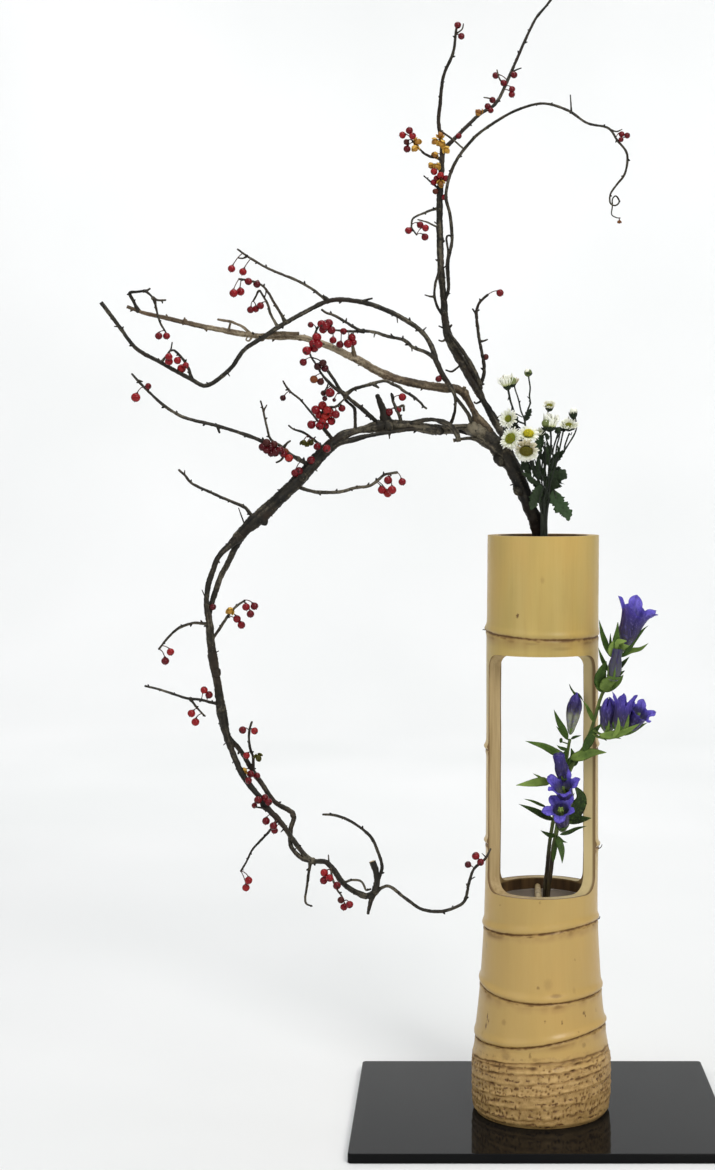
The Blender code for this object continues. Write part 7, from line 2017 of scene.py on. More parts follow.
def mums():
    mats = [PETAL, FLORET, MUM_LEAF, MUM_STEM, MUM_BALL]
    # --- the two at the top: an open cup and a rounder, half-shut one
    p = Pool()
    c, ax = at(507.2, 385.8, -27), (-0.26, -0.20, 1)
    bracts(p, c, ax, 4.3, 5.0, 10, 0.5, 0.12, 2, 1)
    florets(p, c + unit(np.array(ax)) * 2.2, ax, 3.4, 1.8, 40, 0.5, 1)
    for k, (n, rise, curl, long, root) in enumerate(((17, 46, 34, 10.4, 3.6), (16, 58, 28, 10.8, 3.2), (12, 72, 16, 9.4, 2.4))):
        rays(p, c, ax, long, root, n, rise, curl, 2.7, (0.0, 0.0, 0.55)[k], 10 + k, tilt=0.5 * k)
    c, ax = at(512.4, 383.4, -24), (0.16, -0.20, 1)
    bracts(p, c, ax, 3.7, 4.2, 9, 0.6, 0.06, 2, 2)
    for k, (n, rise, curl, long, root) in enumerate(((13, 58, 58, 6.6, 3.3), (12, 70, 50, 6.2, 2.6))):
        rays(p, c, ax, long, root, n, rise, curl, 2.5, (0.85, 0.1)[k], 20 + k, tilt=0.5 * k)
    nub(p, at(512.6, 380.8, -30), (0.1, -0.3, 1), 3.6, 3.5, 0.55, 4, 10, 14, bumps=0.07)
    nub(p, at(506.8, 380.8, -30.5), (-0.2, -0.3, 1), 3.0, 2.8, 0.85, 4, 9, 13, bumps=0.08)
    p.piece("petals_top", mats, "mum_head_top", "white_petal")
    # --- the one turned left behind the trunk
    p = Pool()
    c, ax = at(508.8, 418.9, -31), (-0.50, -0.82, 0.26)
    bracts(p, c, ax, 4.8, 5.2, 9, 0.3, 0.1, 2, 3)
    florets(p, c + unit(np.array(ax)) * 0.9, ax, 3.4, 1.7, 64, 0.50, 3)
    for k, (n, rise, curl, long, root) in enumerate(((22, 18, -8, 6.9, 3.4), (20, 32, -8, 6.5, 3.2), (16, 50, 0, 5.0, 3.0))):
        rays(p, c, ax, long, root, n, rise, curl, 2.0, 0.06, 30 + k, tilt=0.4 * k)
    p.piece("petals_side", mats, "mum_head_side", "white_petal")
    # --- the open one, against the trunk
    p = Pool()
    c, ax = at(510.8, 438.8, -37), (-0.50, -0.80, 0.34)
    bracts(p, c, ax, 5.0, 5.0, 10, 0.2, 0.1, 2, 4)
    florets(p, c + unit(np.array(ax)) * 0.8, ax, 5.4, 2.0, 120, 0.47, 4)
    for k, (n, rise, curl, long, root) in enumerate(((25, 4, -12, 6.9, 4.8), (23, 16, -10, 6.3, 4.7), (18, 30, -4, 4.6, 4.6))):
        rays(p, c, ax, long, root, n, rise, curl, 1.85, 0.05, 40 + k, tilt=0.4 * k)
    p.piece("petals_open", mats, "mum_head_open", "white_petal")
    # --- the yellow-eyed one
    p = Pool()
    c, ax = at(528.4, 434.6, -34), (0.02, -0.70, 0.70)
    bracts(p, c, ax, 4.8, 5.2, 10, 0.2, 0.08, 2, 5)
    florets(p, c + unit(np.array(ax)) * 1.4, ax, 5.0, 3.4, 110, 0.97, 5)
    for k, (n, rise, curl, long, root) in enumerate(((24, 4, -18, 6.4, 4.4), (22, 16, -14, 6.0, 4.3))):
        rays(p, c, ax, long, root, n, rise, curl, 2.2, 0.04, 50 + k, tilt=0.45 * k)
    p.piece("petals_yellow", mats, "mum_head_yellow", "white_petal")
    # --- the cream one, nodding, its disc wider than it is tall
    p = Pool()
    c, ax = at(526.4, 450.6, -46), (-0.10, -0.90, -0.43)
    bracts(p, c, ax, 5.4, 5.2, 10, 0.2, 0.1, 2, 6)
    face = unit(np.array(ax, float))
    disc = Pool()
    florets(disc, np.zeros(3), (0, 0, 1), 5.0, 2.6, 150, 0.08, 6)
    verts = np.concatenate(disc.v)
    across = np.array([1.0, 0, -0.1])
    stretched = c + face * (1.2 + verts[:, 2:3]) + across * verts[:, 0:1] * 1.34 + unit(np.cross(face, across)) * verts[:, 1:2]
    p.add(stretched, np.concatenate(disc.q), np.concatenate(disc.t), np.concatenate(disc.tone), np.concatenate(disc.along), 1)
    # upper=0.55 turns the petals that point up creamer and darker: painted shade on the upper half of this head
    for k, (n, rise, curl, long, root) in enumerate(((26, 4, -24, 6.6, 5.4), (24, 18, -18, 6.0, 5.2), (20, 34, -10, 4.6, 5.0))):
        rays(p, c, ax, long, root, n, rise, curl, 2.05, (0.30, 0.45, 0.6)[k], 60 + k, tilt=0.4 * k, upper=0.55)
    p.piece("petals_cream", mats, "mum_head_cream", "white_petal")
    # --- the small cup
    p = Pool()
    c, ax = at(549.4, 407.0, -20), (0.0, -0.66, 0.75)
    bracts(p, c, ax, 4.3, 5.4, 10, 0.9, 0.1, 2, 7)
    florets(p, c + unit(np.array(ax)) * 1.3, ax, 3.0, 1.8, 46, 0.42, 7)
    for k, (n, rise, curl, long, root) in enumerate(((15, 34, 20, 5.6, 2.5), (13, 50, 18, 5.0, 2.2))):
        rays(p, c, ax, long, root, n, rise, curl, 1.9, 0.30, 70 + k, tilt=0.5 * k)
    p.piece("petals_small", mats, "mum_head_small", "white_petal")
    # --- the half-shut one, its white petals up on the right of a green ball
    p = Pool()
    c, ax = at(549.6, 427.2, -22), (0.12, -0.18, 0.97)
    bracts(p, c, ax, 6.2, 4.8, 12, 0.8, 0.05, 2, 8)
    for k, (n, rise, curl, long, root) in enumerate(((17, 62, 22, 11.5, 4.7), (16, 72, 18, 13.0, 4.0), (10, 82, 8, 12.0, 2.6))):
        rays(p, c, ax, long, root, n, rise, curl, 3.1, 0.03, 80 + k, tilt=0.5 * k)
    nub(p, at(545.8, 423.6, -28.5), (-0.05, -0.1, 1), 4.3, 4.2, 0.35, 4, 10, 16, bumps=0.07)
    rays(p, at(546.4, 427.0, -27.5), (0.05, -0.1, 1), 7.0, 3.4, 7, 72, 40, 1.9, 0.0, 88)
    bracts(p, at(545.6, 427.6, -28.5), (-0.05, -0.1, 1), 4.6, 3.2, 8, 0.5, 0.05, 2, 18)
    p.piece("petals_white", mats, "mum_head_white", "white_petal")
    # --- the fuzzy one on the right
    p = Pool()
    c, ax = at(568.6, 426.6, -8), (0.02, -0.60, 0.80)
    bracts(p, c, ax, 6.0, 5.0, 12, 0.9, 0.05, 2, 9)
    florets(p, c + unit(np.array(ax)) * 1.3, ax, 3.6, 2.2, 60, 0.40, 9)
    for k, (n, rise, curl, long, root) in enumerate(((22, 26, 14, 6.8, 4.2), (20, 40, 14, 6.4, 3.9), (16, 56, 8, 5.4, 3.0))):
        rays(p, c, ax, long, root, n, rise, curl, 1.9, 0.12, 90 + k, tilt=0.4 * k)
    p.piece("petals_right", mats, "mum_head_right", "white_petal")
    # ---------------- stems
    mats = [MUM_STEM, MUM_LEAF, PETAL, FLORET, MUM_BALL]
    # left stem and its branches
    p = Pool()
    left = mum_stem(p, route([(544.5, 600, -13, 1.6), (543.6, 537, -13, 1.7), (542.6, 508, -17, 1.4), (539, 482, -20, 1.35), (530, 462, -24, 1.2), (525.6, 436, -25, 1.1),
                              (524.8, 421, -25, 0.95), (521, 411, -25, 0.85), (518.6, 400, -25, 0.8), (515.4, 390, -25, 0.75), (514.0, 384.5, -25, 0.85)]), 3)
    mum_stem(p, sheet_stem(((525, 422), (527.4, 411), (530.2, 403), (529.4, 396), (530.2, 388), (528.9, 379), (528.6, 376)), -25, -26, 0.85, 0.8), 4)
    mum_stem(p, sheet_stem(((525.2, 424), (519, 421.5), (514.2, 417), (513.8, 411.5), (510.5, 401), (509, 394), (507.8, 388)), -25, -27, 0.95, 1.1), 5)
    mum_stem(p, sheet_stem(((522, 417), (517.5, 414.5), (513.8, 413)), -25, -26.5, 0.6, 0.6), 6)
    mum_stem(p, sheet_stem(((512.2, 406), (511.4, 410.5)), -27, -27, 0.7, 0.4), 7)
    mum_stem(p, sheet_stem(((509, 397), (508, 400)), -27, -27, 0.9, 0.5), 8)
    mum_stem(p, sheet_stem(((519.2, 403), (520.2, 401)), -25, -25, 0.8, 0.5), 9)
    mum_stem(p, sheet_stem(((529.6, 399), (527.4, 396.6)), -26, -26, 0.6, 0.4), 10)
    mum_stem(p, sheet_stem(((529.6, 401), (530.8, 403.2)), -26, -26, 0.9, 0.6), 11)
    mum_stem(p, sheet_stem(((541, 487), (537, 476), (533, 466), (531, 457), (529, 452)), -19, -42, 0.8, 0.9), 12)
    mum_stem(p, sheet_stem(((526, 440), (521, 437.5), (520.5, 442), (516, 446), (512.8, 441)), -25, -35, 0.8, 0.9), 13)
    mum_stem(p, sheet_stem(((526.5, 441), (529, 439), (529.5, 436)), -25, -32, 0.8, 1.0), 14)
    mum_stem(p, sheet_stem(((520, 428), (515, 424), (511.6, 420)), -25, -29, 0.8, 0.9), 15)
    nub(p, at(528.0, 372.8, -26), (0.08, 0, 1), 3.9, 3.9, 0.3, 4, 10, 16, bumps=0.05)
    bracts(p, at(528.2, 373.4, -26), (0.08, 0, 1), 3.9, 3.4, 9, 0.7, 0.2, 1, 31)
    nub(p, at(527.6, 371.9, -26.8), (0.0, -0.4, 1), 2.9, 3.3, 0.3, 2, 8, 14, bumps=0.08)
    leaf(p, ((525.4, 421), (528.3, 414), (531.4, 408.5)), 7.2, -25, -30, 0.05, 1, "lobed", seed=1)
    leaf(p, ((516, 431), (514.8, 424), (516.4, 414)), 8.0, -24, -27, 0.10, 1, "lobed", seed=2)
    leaf(p, ((519.6, 431.5), (511, 426), (503, 429.5)), 7.0, -24, -27, 0.05, 1, "lobed", seed=3)
    leaf(p, ((524, 446), (520.6, 440), (519.2, 433.5)), 5.0, -26, -31, 0.08, 1, "lobed", seed=4)
    for k, (spots, w, d0, d1, tn) in enumerate((
            (((531, 478), (526, 468), (521, 459)), 8.0, -22, -30, 0.35), (((534, 484), (529, 477), (522, 473)), 7.0, -24, -32, 0.45), (((536, 478), (533, 468), (533.5, 459.5)), 4.5, -22, -28, 0.30),
            (((538, 481), (536.5, 470), (538.6, 459)), 5.2, -20, -27, 0.30), (((541, 486), (533, 481), (527, 480.5)), 6.0, -22, -30, 0.35), (((526, 459), (524, 464), (520.5, 471)), 5.5, -26, -30, 0.2))):
        leaf(p, spots, w, d0, d1, tn, 1, "lobed", seed=10 + k)
    p.piece("greenery_left", mats, "mum_stem_left", "dark_leaf")
    # middle stem
    p = Pool()
    mum_stem(p, route([(547.4, 600, -6, 1.5), (546.0, 537, -6, 1.5), (546.4, 505, -9, 1.4), (549, 470, -11, 1.2), (550.6, 448, -13, 1.0), (551, 438, -15, 0.95), (550.3, 429, -19, 1.1)]), 21)
    mum_stem(p, sheet_stem(((549, 464), (544.5, 450), (541.2, 441), (539.6, 434)), -11, -22, 0.8, 0.8), 22)
    mum_stem(p, sheet_stem(((550, 456), (554, 446), (556.2, 439), (558, 433)), -12, -16, 0.75, 0.8), 23)
    mum_stem(p, sheet_stem(((549.4, 447), (546.6, 440), (545, 431), (546.4, 418), (547, 415.5), (548.2, 411)), -16, -20, 0.8, 0.75), 24)
    mum_stem(p, sheet_stem(((548.6, 486), (545, 470), (546.5, 456), (549.2, 447)), -10, -14, 0.9, 0.8), 25)
    mum_stem(p, sheet_stem(((549, 480), (553, 464), (553, 452), (555.5, 441), (560.5, 432.5)), -10, -10, 0.8, 0.75), 26)
    mum_stem(p, sheet_stem(((547.6, 500), (542.5, 487), (541.2, 474), (542.5, 461), (541, 452)), -12, -18, 0.9, 0.8), 27)
    nub(p, at(557.7, 430.2, -16), (0.0, -0.15, 1), 3.0, 3.3, 0.35, 1, 9, 14, bumps=0.06)
    bracts(p, at(557.7, 431.6, -16), (0.0, -0.1, 1), 3.1, 2.4, 8, 0.5, 0.15, 1, 33)
    rng = np.random.default_rng(12)
    for k in range(9):
        f = k / 8
        foot = 541.0 + 5.0 * f
        tx, ty = 534.5 + 25.0 * f + 1.2 * rng.normal(), 455 - 14 * math.sin(math.pi * min(1.0, f * 1.1)) + 4 * rng.random()
        cross = 2.6 * math.sin(k * 2.4)
        d = -20 + 12 * math.sin(k * 2.1)
        mum_stem(p, sheet_stem(((foot, 552), (foot + 0.4 * rng.normal(), 520), (foot * 0.85 + tx * 0.15 + cross, 500), (foot * 0.6 + tx * 0.4 - cross, 484),
                                (foot * 0.35 + tx * 0.65 + cross * 0.6, 468), (tx, ty)), d, d - 3, 0.95, 0.5), 130 + k, 8)
    spots = (((546.0, 466), (544.5, 458), (545.5, 449), 6.5), ((540.5, 480), (537.5, 470), (538, 459), 5.5), ((532, 484), (528.5, 475), (525, 467), 7.5),
             ((550, 475), (552.4, 465), (553.6, 456), 4.0), ((538, 489), (533, 481), (528, 477), 6.0), ((544, 497), (539.5, 490), (536.5, 480), 4.6),
             ((542.6, 461), (540, 452), (541.5, 443), 6.0), ((549.6, 461), (549, 453), (550.4, 446), 3.8), ((531, 471), (526, 463), (521.5, 459), 6.6),
             ((533, 478), (535, 470), (532.5, 463), 3.8), ((556, 458), (558.5, 451), (557, 444), 3.2), ((552, 455), (548.5, 448), (546.5, 441), 4.2),
             ((546.6, 500), (545.4, 492), (543.6, 486), 3.6), ((548.6, 488), (550, 482), (547.5, 474), 4.4))
    for k, (a, b, c_, w) in enumerate(spots):
        leaf(p, (a, b, c_), w, -15 - 6 * math.sin(k * 1.7), -20 - 6 * math.sin(k * 1.7), (0.08, 0.2, 0.3, 0.12)[k % 4], 1, "lobed", seed=210 + k, up=(0.5 * math.sin(k * 2.3), -1, 0.3 * math.cos(k * 1.3)))
    # a smaller flower, half hidden by the leaves
    c, ax = at(539.3, 434.2, -24), (-0.05, -0.5, 0.86)
    for k, (n, rise, curl, long, root) in enumerate(((16, 40, 22, 5.6, 2.6), (13, 58, 16, 5.0, 2.2))):
        x0 = Pool()
        rays(x0, c, ax, long, root, n, rise, curl, 2.0, 0.12, 120 + k, tilt=0.5 * k)
        p.add(np.concatenate(x0.v), np.concatenate(x0.q), np.concatenate(x0.t), np.concatenate(x0.tone), np.concatenate(x0.along), 2)
    bracts(p, c, ax, 3.2, 3.4, 8, 0.5, 0.2, 1, 34)
    for k, (spots, w, d0, d1, tn, shape) in enumerate((
            (((540.5, 452), (537.5, 445), (538.6, 436.5)), 8.5, -22, -30, 0.72, "lobed"), (((543, 446), (541.5, 438), (544.5, 431)), 6.0, -20, -27, 0.45, "lobed"),
            (((546.4, 484), (543, 474.5), (543.5, 467)), 5.0, -14, -22, 0.30, "lobed"), (((548, 466), (547.4, 456), (546.2, 446)), 5.0, -15, -24, 0.42, "lobed"),
            (((549, 478), (551.5, 470), (551.6, 461)), 4.6, -12, -18, 0.28, "lobed"),
            (((546.5, 502), (543, 492), (538.6, 484)), 6.0, -14, -22, 0.33, "lobed"), (((550.6, 463), (555, 456), (559, 451)), 5.0, -10, -14, 0.20, "lobed"),
            (((549, 485), (553.4, 482), (556.6, 479.5)), 4.0, -10, -16, 0.12, "lobed"), (((548, 440), (547.5, 436), (541.8, 433)), 4.2, -17, -22, 0.22, "lobed"),
            (((541, 470), (538.4, 463), (538.6, 455)), 5.0, -18, -24, 0.35, "lobed"))):
        leaf(p, spots, w, d0, d1, tn, 1, shape, seed=30 + k)
    p.piece("greenery_middle", mats, "mum_stem_middle", "dark_leaf")
    # right stem
    p = Pool()
    mum_stem(p, route([(547.4, 600, 1, 1.3), (546.4, 537, 1, 1.3), (547.4, 508, 3, 1.2), (554.5, 468, 4, 1.2), (559, 457.5, 2, 1.05), (564, 451.5, 0, 1.1), (565, 445, -2, 0.85), (569.2, 433.5, -6, 0.85)]), 41)
    mum_stem(p, sheet_stem(((553, 478), (557.6, 458), (559.6, 449), (562, 437), (563.6, 430)), 3, -6, 0.85, 0.85), 42)
    mum_stem(p, sheet_stem(((551, 495), (551.5, 478), (555, 463), (556.5, 447), (559.2, 437), (559.5, 431)), 3, -12, 0.8, 0.75), 43)
    mum_stem(p, sheet_stem(((569.0, 434), (571, 435), (571.8, 432.6)), -5, -6, 0.55, 0.4), 44)
    mum_stem(p, sheet_stem(((563.2, 452.5), (568, 445), (575, 433), (576.5, 425), (574.8, 416)), 0, -5, 0.8, 0.75), 45)
    nub(p, at(573.4, 411.4, -5), (0.15, -0.3, 1), 3.7, 4.1, 0.05, 2, 10, 16, bumps=0.08)
    bracts(p, at(573.0, 413.6, -5), (-0.15, -0.1, 1), 4.4, 6.4, 7, 0.7, 0.05, 1, 35, layers=2)
    leaf(p, ((569, 430), (573, 428.6), (576.6, 426.2)), 4.0, -6, -9, 0.12, 1, "lobed", seed=51)
    leaf(p, ((565.5, 431), (562, 429.5), (559, 427.0)), 5.0, -8, -12, 0.12, 1, "lobed", seed=52)
    leaf(p, ((556, 462), (560.4, 455), (562.8, 449.8)), 6.0, 2, -3, 0.12, 1, "lobed", seed=53)
    leaf(p, ((551.5, 484), (554.5, 471), (553.8, 459)), 6.0, 1, -6, 0.25, 1, "lobed", seed=54)
    p.piece("greenery_right", mats, "mum_stem_right", "dark_leaf")
    # ---------------- the three big leaves
    p = Pool()
    leaf(p, ((549.0, 489.5), (552.0, 484), (556.5, 477.5), (562, 476.0), (567, 478.6)), 21, -13, -21, 0.34, 0, "lobed", rows=30, cols=9, seed=2.0, up=(0.1, -1, 0.15), neck=0.10)
    leaf(p, ((553, 474), (556.5, 469.5), (561, 467.5)), 6.5, -13, -17, 0.15, 0, "lobed", seed=3.0)
    mum_stem(p, sheet_stem(((549.2, 491), (553, 486.5), (557, 482)), -10, -15, 0.8, 0.7), 61, mat=1)
    p.piece("leaf_upper_right", [MUM_LEAF, MUM_STEM], "mum_leaf_upper", "dark_leaf")
    p = Pool()
    leaf(p, ((553.2, 489.5), (555.5, 497), (560.5, 506), (566.5, 513.5), (568.6, 521)), 17.5, -12, -24, 0.74, 0, "lobed", rows=34, cols=9, seed=5.0, up=(0.1, -1, 0.25), neck=0.12)
    mum_stem(p, sheet_stem(((548.6, 504), (550.6, 495), (553.6, 489.2), (556, 498)), -6, -15, 0.85, 0.7), 62, mat=1)
    p.piece("leaf_lower_right", [MUM_LEAF, MUM_STEM], "mum_leaf_lower", "dark_leaf")
    p = Pool()
    leaf(p, ((541, 485), (537.5, 493), (534, 502), (530.8, 510)), 13.5, -24, -31, 0.46, 0, "lobed", rows=28, cols=9, seed=7.0, neck=0.12)
    mum_stem(p, sheet_stem(((543.4, 490), (541, 486), (538, 492)), -19, -25, 0.8, 0.6), 63, mat=1)
    p.piece("leaf_front", [MUM_LEAF, MUM_STEM], "mum_leaf_front", "dark_leaf")


# ================================================================ gentians
def trumpet(pool, base, mouth, foot, wide, mouth_r, lobe, flare0, flare1, seed=0, lobes=5, spin=0.0, plica=0.34, thick=0.42,
            waist=0.7, rows=14, mat=0, pleat=0.09, droop=None, cols_each=14, ruffle=0.075, down=False):
    """A gentian corolla as a thin shell: a pleated tube from base to mouth, and lobes that lean
    out from flare0 to flare1 degrees off its axis, with small teeth between them."""
    run = mouth - base
    long = np.linalg.norm(run)
    x, y, a = turn_to(run / long)
    if down:
        spin = math.atan2(-y[2], -x[2]) - math.pi / lobes
    cols = lobes * cols_each
    ph = np.arange(cols) / cols * 2 * math.pi
    rng = np.random.default_rng(seed)
    cell = (ph / (2 * math.pi) * lobes) % 1.0          # 0.5 is the middle of a lobe
    mid = np.abs(cell - 0.5) * 2                        # 0 middle, 1 between
    petal = np.maximum(0, 1 - mid ** 2.0) ** 0.70 + 0.07 * np.exp(-(mid / 0.12) ** 2)
    tooth = plica * np.maximum(0, 1 - ((1 - mid) / 0.28) ** 2)
    own = 1 + 0.10 * rng.normal(size=lobes)
    phase = rng.random(lobes) * 6.28
    index = (ph / (2 * math.pi) * lobes).astype(int) % lobes
    reach = lobe * np.maximum(np.maximum(petal * own[index], tooth), 0.10)
    twist = spin + ph
    dirs = np.cos(twist)[:, None] * x + np.sin(twist)[:, None] * y
    s = np.linspace(0, 1, rows)
    r = foot + (wide - foot) * np.sin(np.clip(s / waist, 0, 1) * math.pi / 2) ** 1.2
    r = r + (mouth_r - wide) * np.clip((s - waist) / (1 - waist), 0, 1) ** 1.6
    fold = 1 - pleat * (0.4 + 0.6 * s)[:, None] * np.exp(-((1 - mid) / 0.22) ** 2)[None, :]
    tube = base + a * (long * s)[:, None, None] + (r[:, None] * fold)[:, :, None] * dirs[None]
    along = list(0.70 * s)
    rings = list(tube)
    steps = 8
    per = 0.35 * rng.normal(size=lobes)
    e0 = np.radians(flare0 + 10 * per[index])
    e1 = np.radians(flare1 + 22 * per[index])
    p = tube[-1].copy()
    cup = np.zeros(cols)
    for k in range(1, steps + 1):
        f = k / steps
        e = e0 + (e1 - e0) * f
        side = np.gradient(petal) * 0
        d = np.cos(e)[:, None] * a + np.sin(e)[:, None] * dirs
        p = p + d * (reach / steps)[:, None]
        q = p.copy()
        if droop is not None:
            q = q + np.asarray(droop) * (reach * f ** 2 / 8)[:, None]
        # lobes narrow towards their tips: pull the edge of each lobe to its middle line
        centre_dir = np.cos(spin + (index + 0.5) / lobes * 2 * math.pi)[:, None] * x + np.sin(spin + (index + 0.5) / lobes * 2 * math.pi)[:, None] * y
        tang = np.cross(a, centre_dir)
        off = ((q - base) @ a)
        rad = q - base - off[:, None] * a
        lateral = (rad * tang).sum(1)
        q = q - tang * (lateral * 0.10 * f)[:, None]
        lift = lobe * (ruffle * f ** 1.4 * np.sin(cell * 13.0 + phase[index]) * (0.35 + 0.65 * mid) - 0.085 * math.sin(f * 2.6) * np.exp(-(mid / 0.20) ** 2))
        q = q + lift[:, None] * (np.sin(e)[:, None] * a - np.cos(e)[:, None] * dirs)
        rings.append(q)
        along.append(0.70 + 0.30 * f)
    outer = np.array(rings)
    # the inner face, a wall's thickness in
    t = np.gradient(outer, axis=0)
    around = np.roll(outer, -1, 1) - np.roll(outer, 1, 1)
    nrm = unit(np.cross(around, t))
    if ((outer[2] - (base + a * long * s[2])) * nrm[2]).sum() < 0:
        nrm = -nrm
    w = thick * np.clip(1.15 - np.linspace(0, 1, len(outer)), 0.35, 1)[:, None, None]
    inner = outer - nrm * w
    stop = int(rows * 0.22)
    inside = inner[stop:][::-1]
    along = np.array(along)
    stripe = 0.08 + 0.36 * np.exp(-((1 - mid) / 0.30) ** 2)[None, :] + 0.10 * np.exp(-(mid / 0.18) ** 2)[None, :]
    rim = np.clip((mid - 0.55) / 0.4, 0, 1)[None, :] + 0.7 * np.exp(-(mid / 0.10) ** 2)[None, :]
    tone = np.vstack([np.repeat(stripe, len(outer), 0), 0.68 + 0.32 * np.repeat(np.clip(rim, 0, 1), len(inside), 0)])
    pool.loft(np.vstack([outer, inside]), (True, True), tone, np.repeat(np.concatenate([along, along[stop:][::-1]])[:, None], cols, 1), mat)


def shut_bud(pool, base, tip, wide, foot=1.2, seed=0, twist=1.4, lobes=5, rows=24, mat=0, tipped=0.12, peak=0.62, a0=0.0, a1=1.0, darker=0.0):
    """A closed gentian bud, its lobes rolled round one another."""
    run = tip - base
    long = np.linalg.norm(run)
    x, y, a = turn_to(run / long)
    cols = lobes * 9
    ph = np.arange(cols) / cols * 2 * math.pi
    s = np.linspace(0, 1, rows)
    r = foot + (wide - foot) * np.sin(np.clip(s / peak, 0, 1) * math.pi / 2)
    r = r * np.where(s > peak, np.maximum(tipped, np.cos(np.clip((s - peak) / (1 - peak), 0, 1) * math.pi / 2) ** 0.75), 1)
    turn = twist * np.clip((s - 0.45) / 0.55, 0, 1) ** 1.3
    cell = (ph / (2 * math.pi) * lobes) % 1.0
    saw = (cell - 0.5) * (0.05 + 0.16 * np.clip((s - 0.4) / 0.6, 0, 1))[:, None]
    groove = -0.10 * np.exp(-(((cell + 0.5) % 1.0 - 0.5) / 0.07) ** 2)
    scale = 1 + saw + groove[None, :]
    ang = ph[None, :] + turn[:, None]
    sec = base + a * (long * s)[:, None, None] + (r[:, None] * scale)[:, :, None] * (np.cos(ang)[:, :, None] * x + np.sin(ang)[:, :, None] * y)
    tone = np.clip(0.10 + darker + 0.5 * np.exp(-(((cell + 0.5) % 1.0 - 0.5) / 0.14) ** 2), -0.6, 0.45)
    pool.loft(sec, (True, True), np.repeat(tone[None, :], rows, 0), np.repeat((a0 + (a1 - a0) * s)[:, None], cols, 1), mat)


def calyx(pool, base, axis, radius, long, sepals, seed=0, mat=1, tone=0.5, opening=12.0, width=None, back=1.5):
    """The green tube round a corolla's foot, ending in narrow sepals."""
    x, y, a = turn_to(np.asarray(axis, float))
    rng = np.random.default_rng(seed + 7)
    cols, rows = 25, 8
    s = np.linspace(0, 1, rows)
    ph = np.arange(cols) / cols * 2 * math.pi
    r = 0.9 + (radius - 0.9) * np.sin(s * math.pi / 2) ** 0.8
    ribs = 1 + 0.07 * np.cos(ph * 5)
    outer = base - a * back + a * (long * s)[:, None, None] + (r[:, None] * ribs)[:, :, None] * (np.cos(ph)[None, :, None] * x + np.sin(ph)[None, :, None] * y)
    inner = (base - a * back + a * (long * s[3:][::-1])[:, None, None]
             + ((r[3:][::-1] - 0.45)[:, None] * ribs)[:, :, None] * (np.cos(ph)[None, :, None] * x + np.sin(ph)[None, :, None] * y))
    pool.loft(np.vstack([outer, inner]), (True, True), tone, 0.5, mat)
    width = width or radius * 0.62
    for k in range(5):
        phi = k / 5 * 2 * math.pi + 0.2 * rng.normal()
        out = math.cos(phi) * x + math.sin(phi) * y
        span_ = sepals * (0.75 + 0.5 * rng.random())
        e = math.radians(opening + 14 * rng.normal())
        q = np.linspace(0, 1, 8)
        lean = e * (0.4 + 1.1 * q)
        step = np.cos(lean)[:, None] * a + np.sin(lean)[:, None] * out
        p0 = base - a * back + a * long * 0.90 + out * (radius + 0.05)
        p = p0 + np.concatenate([[np.zeros(3)], np.cumsum(step[:-1] * span_ / 7, axis=0)])
        w = width / 2 * np.interp(q, [0, 0.25, 0.6, 1.0], [0.85, 1.0, 0.66, 0.06])
        blade(pool, p, w, 0.5, camber=-0.12, up=-out, cols=5, tone=tone + 0.25 * rng.normal() * 0.4, along=q, mat=mat, edge=0.5)


def stamens(pool, base, mouth, spread, thick, seed):
    """The pale filaments and pistil that stand in an open corolla."""
    x, y, a = turn_to(unit(mouth - base))
    for k in range(6):
        q = k / 5 * 2 * math.pi + seed
        off = (math.cos(q) * x + math.sin(q) * y) * (spread if k < 5 else 0.0)
        end = mouth - a * (0.5 + 0.6 * math.sin(k * 2.0 + seed)) + off
        w = thick * (1.0 if k < 5 else 1.5)
        cane(pool, np.array([[*(base + (mouth - base) * 0.4 + off * 0.3), w], [*(end - a * 2.5 - off * 0.2), w * 0.9], [*(end - a * 1.0), w * 1.3], [*end, w * 0.9]]),
             7, 1.2, rough=0.05, ridges=0.0, lump=0.08, seed=k, start="round", end="round", mat=1, tone=1.3)


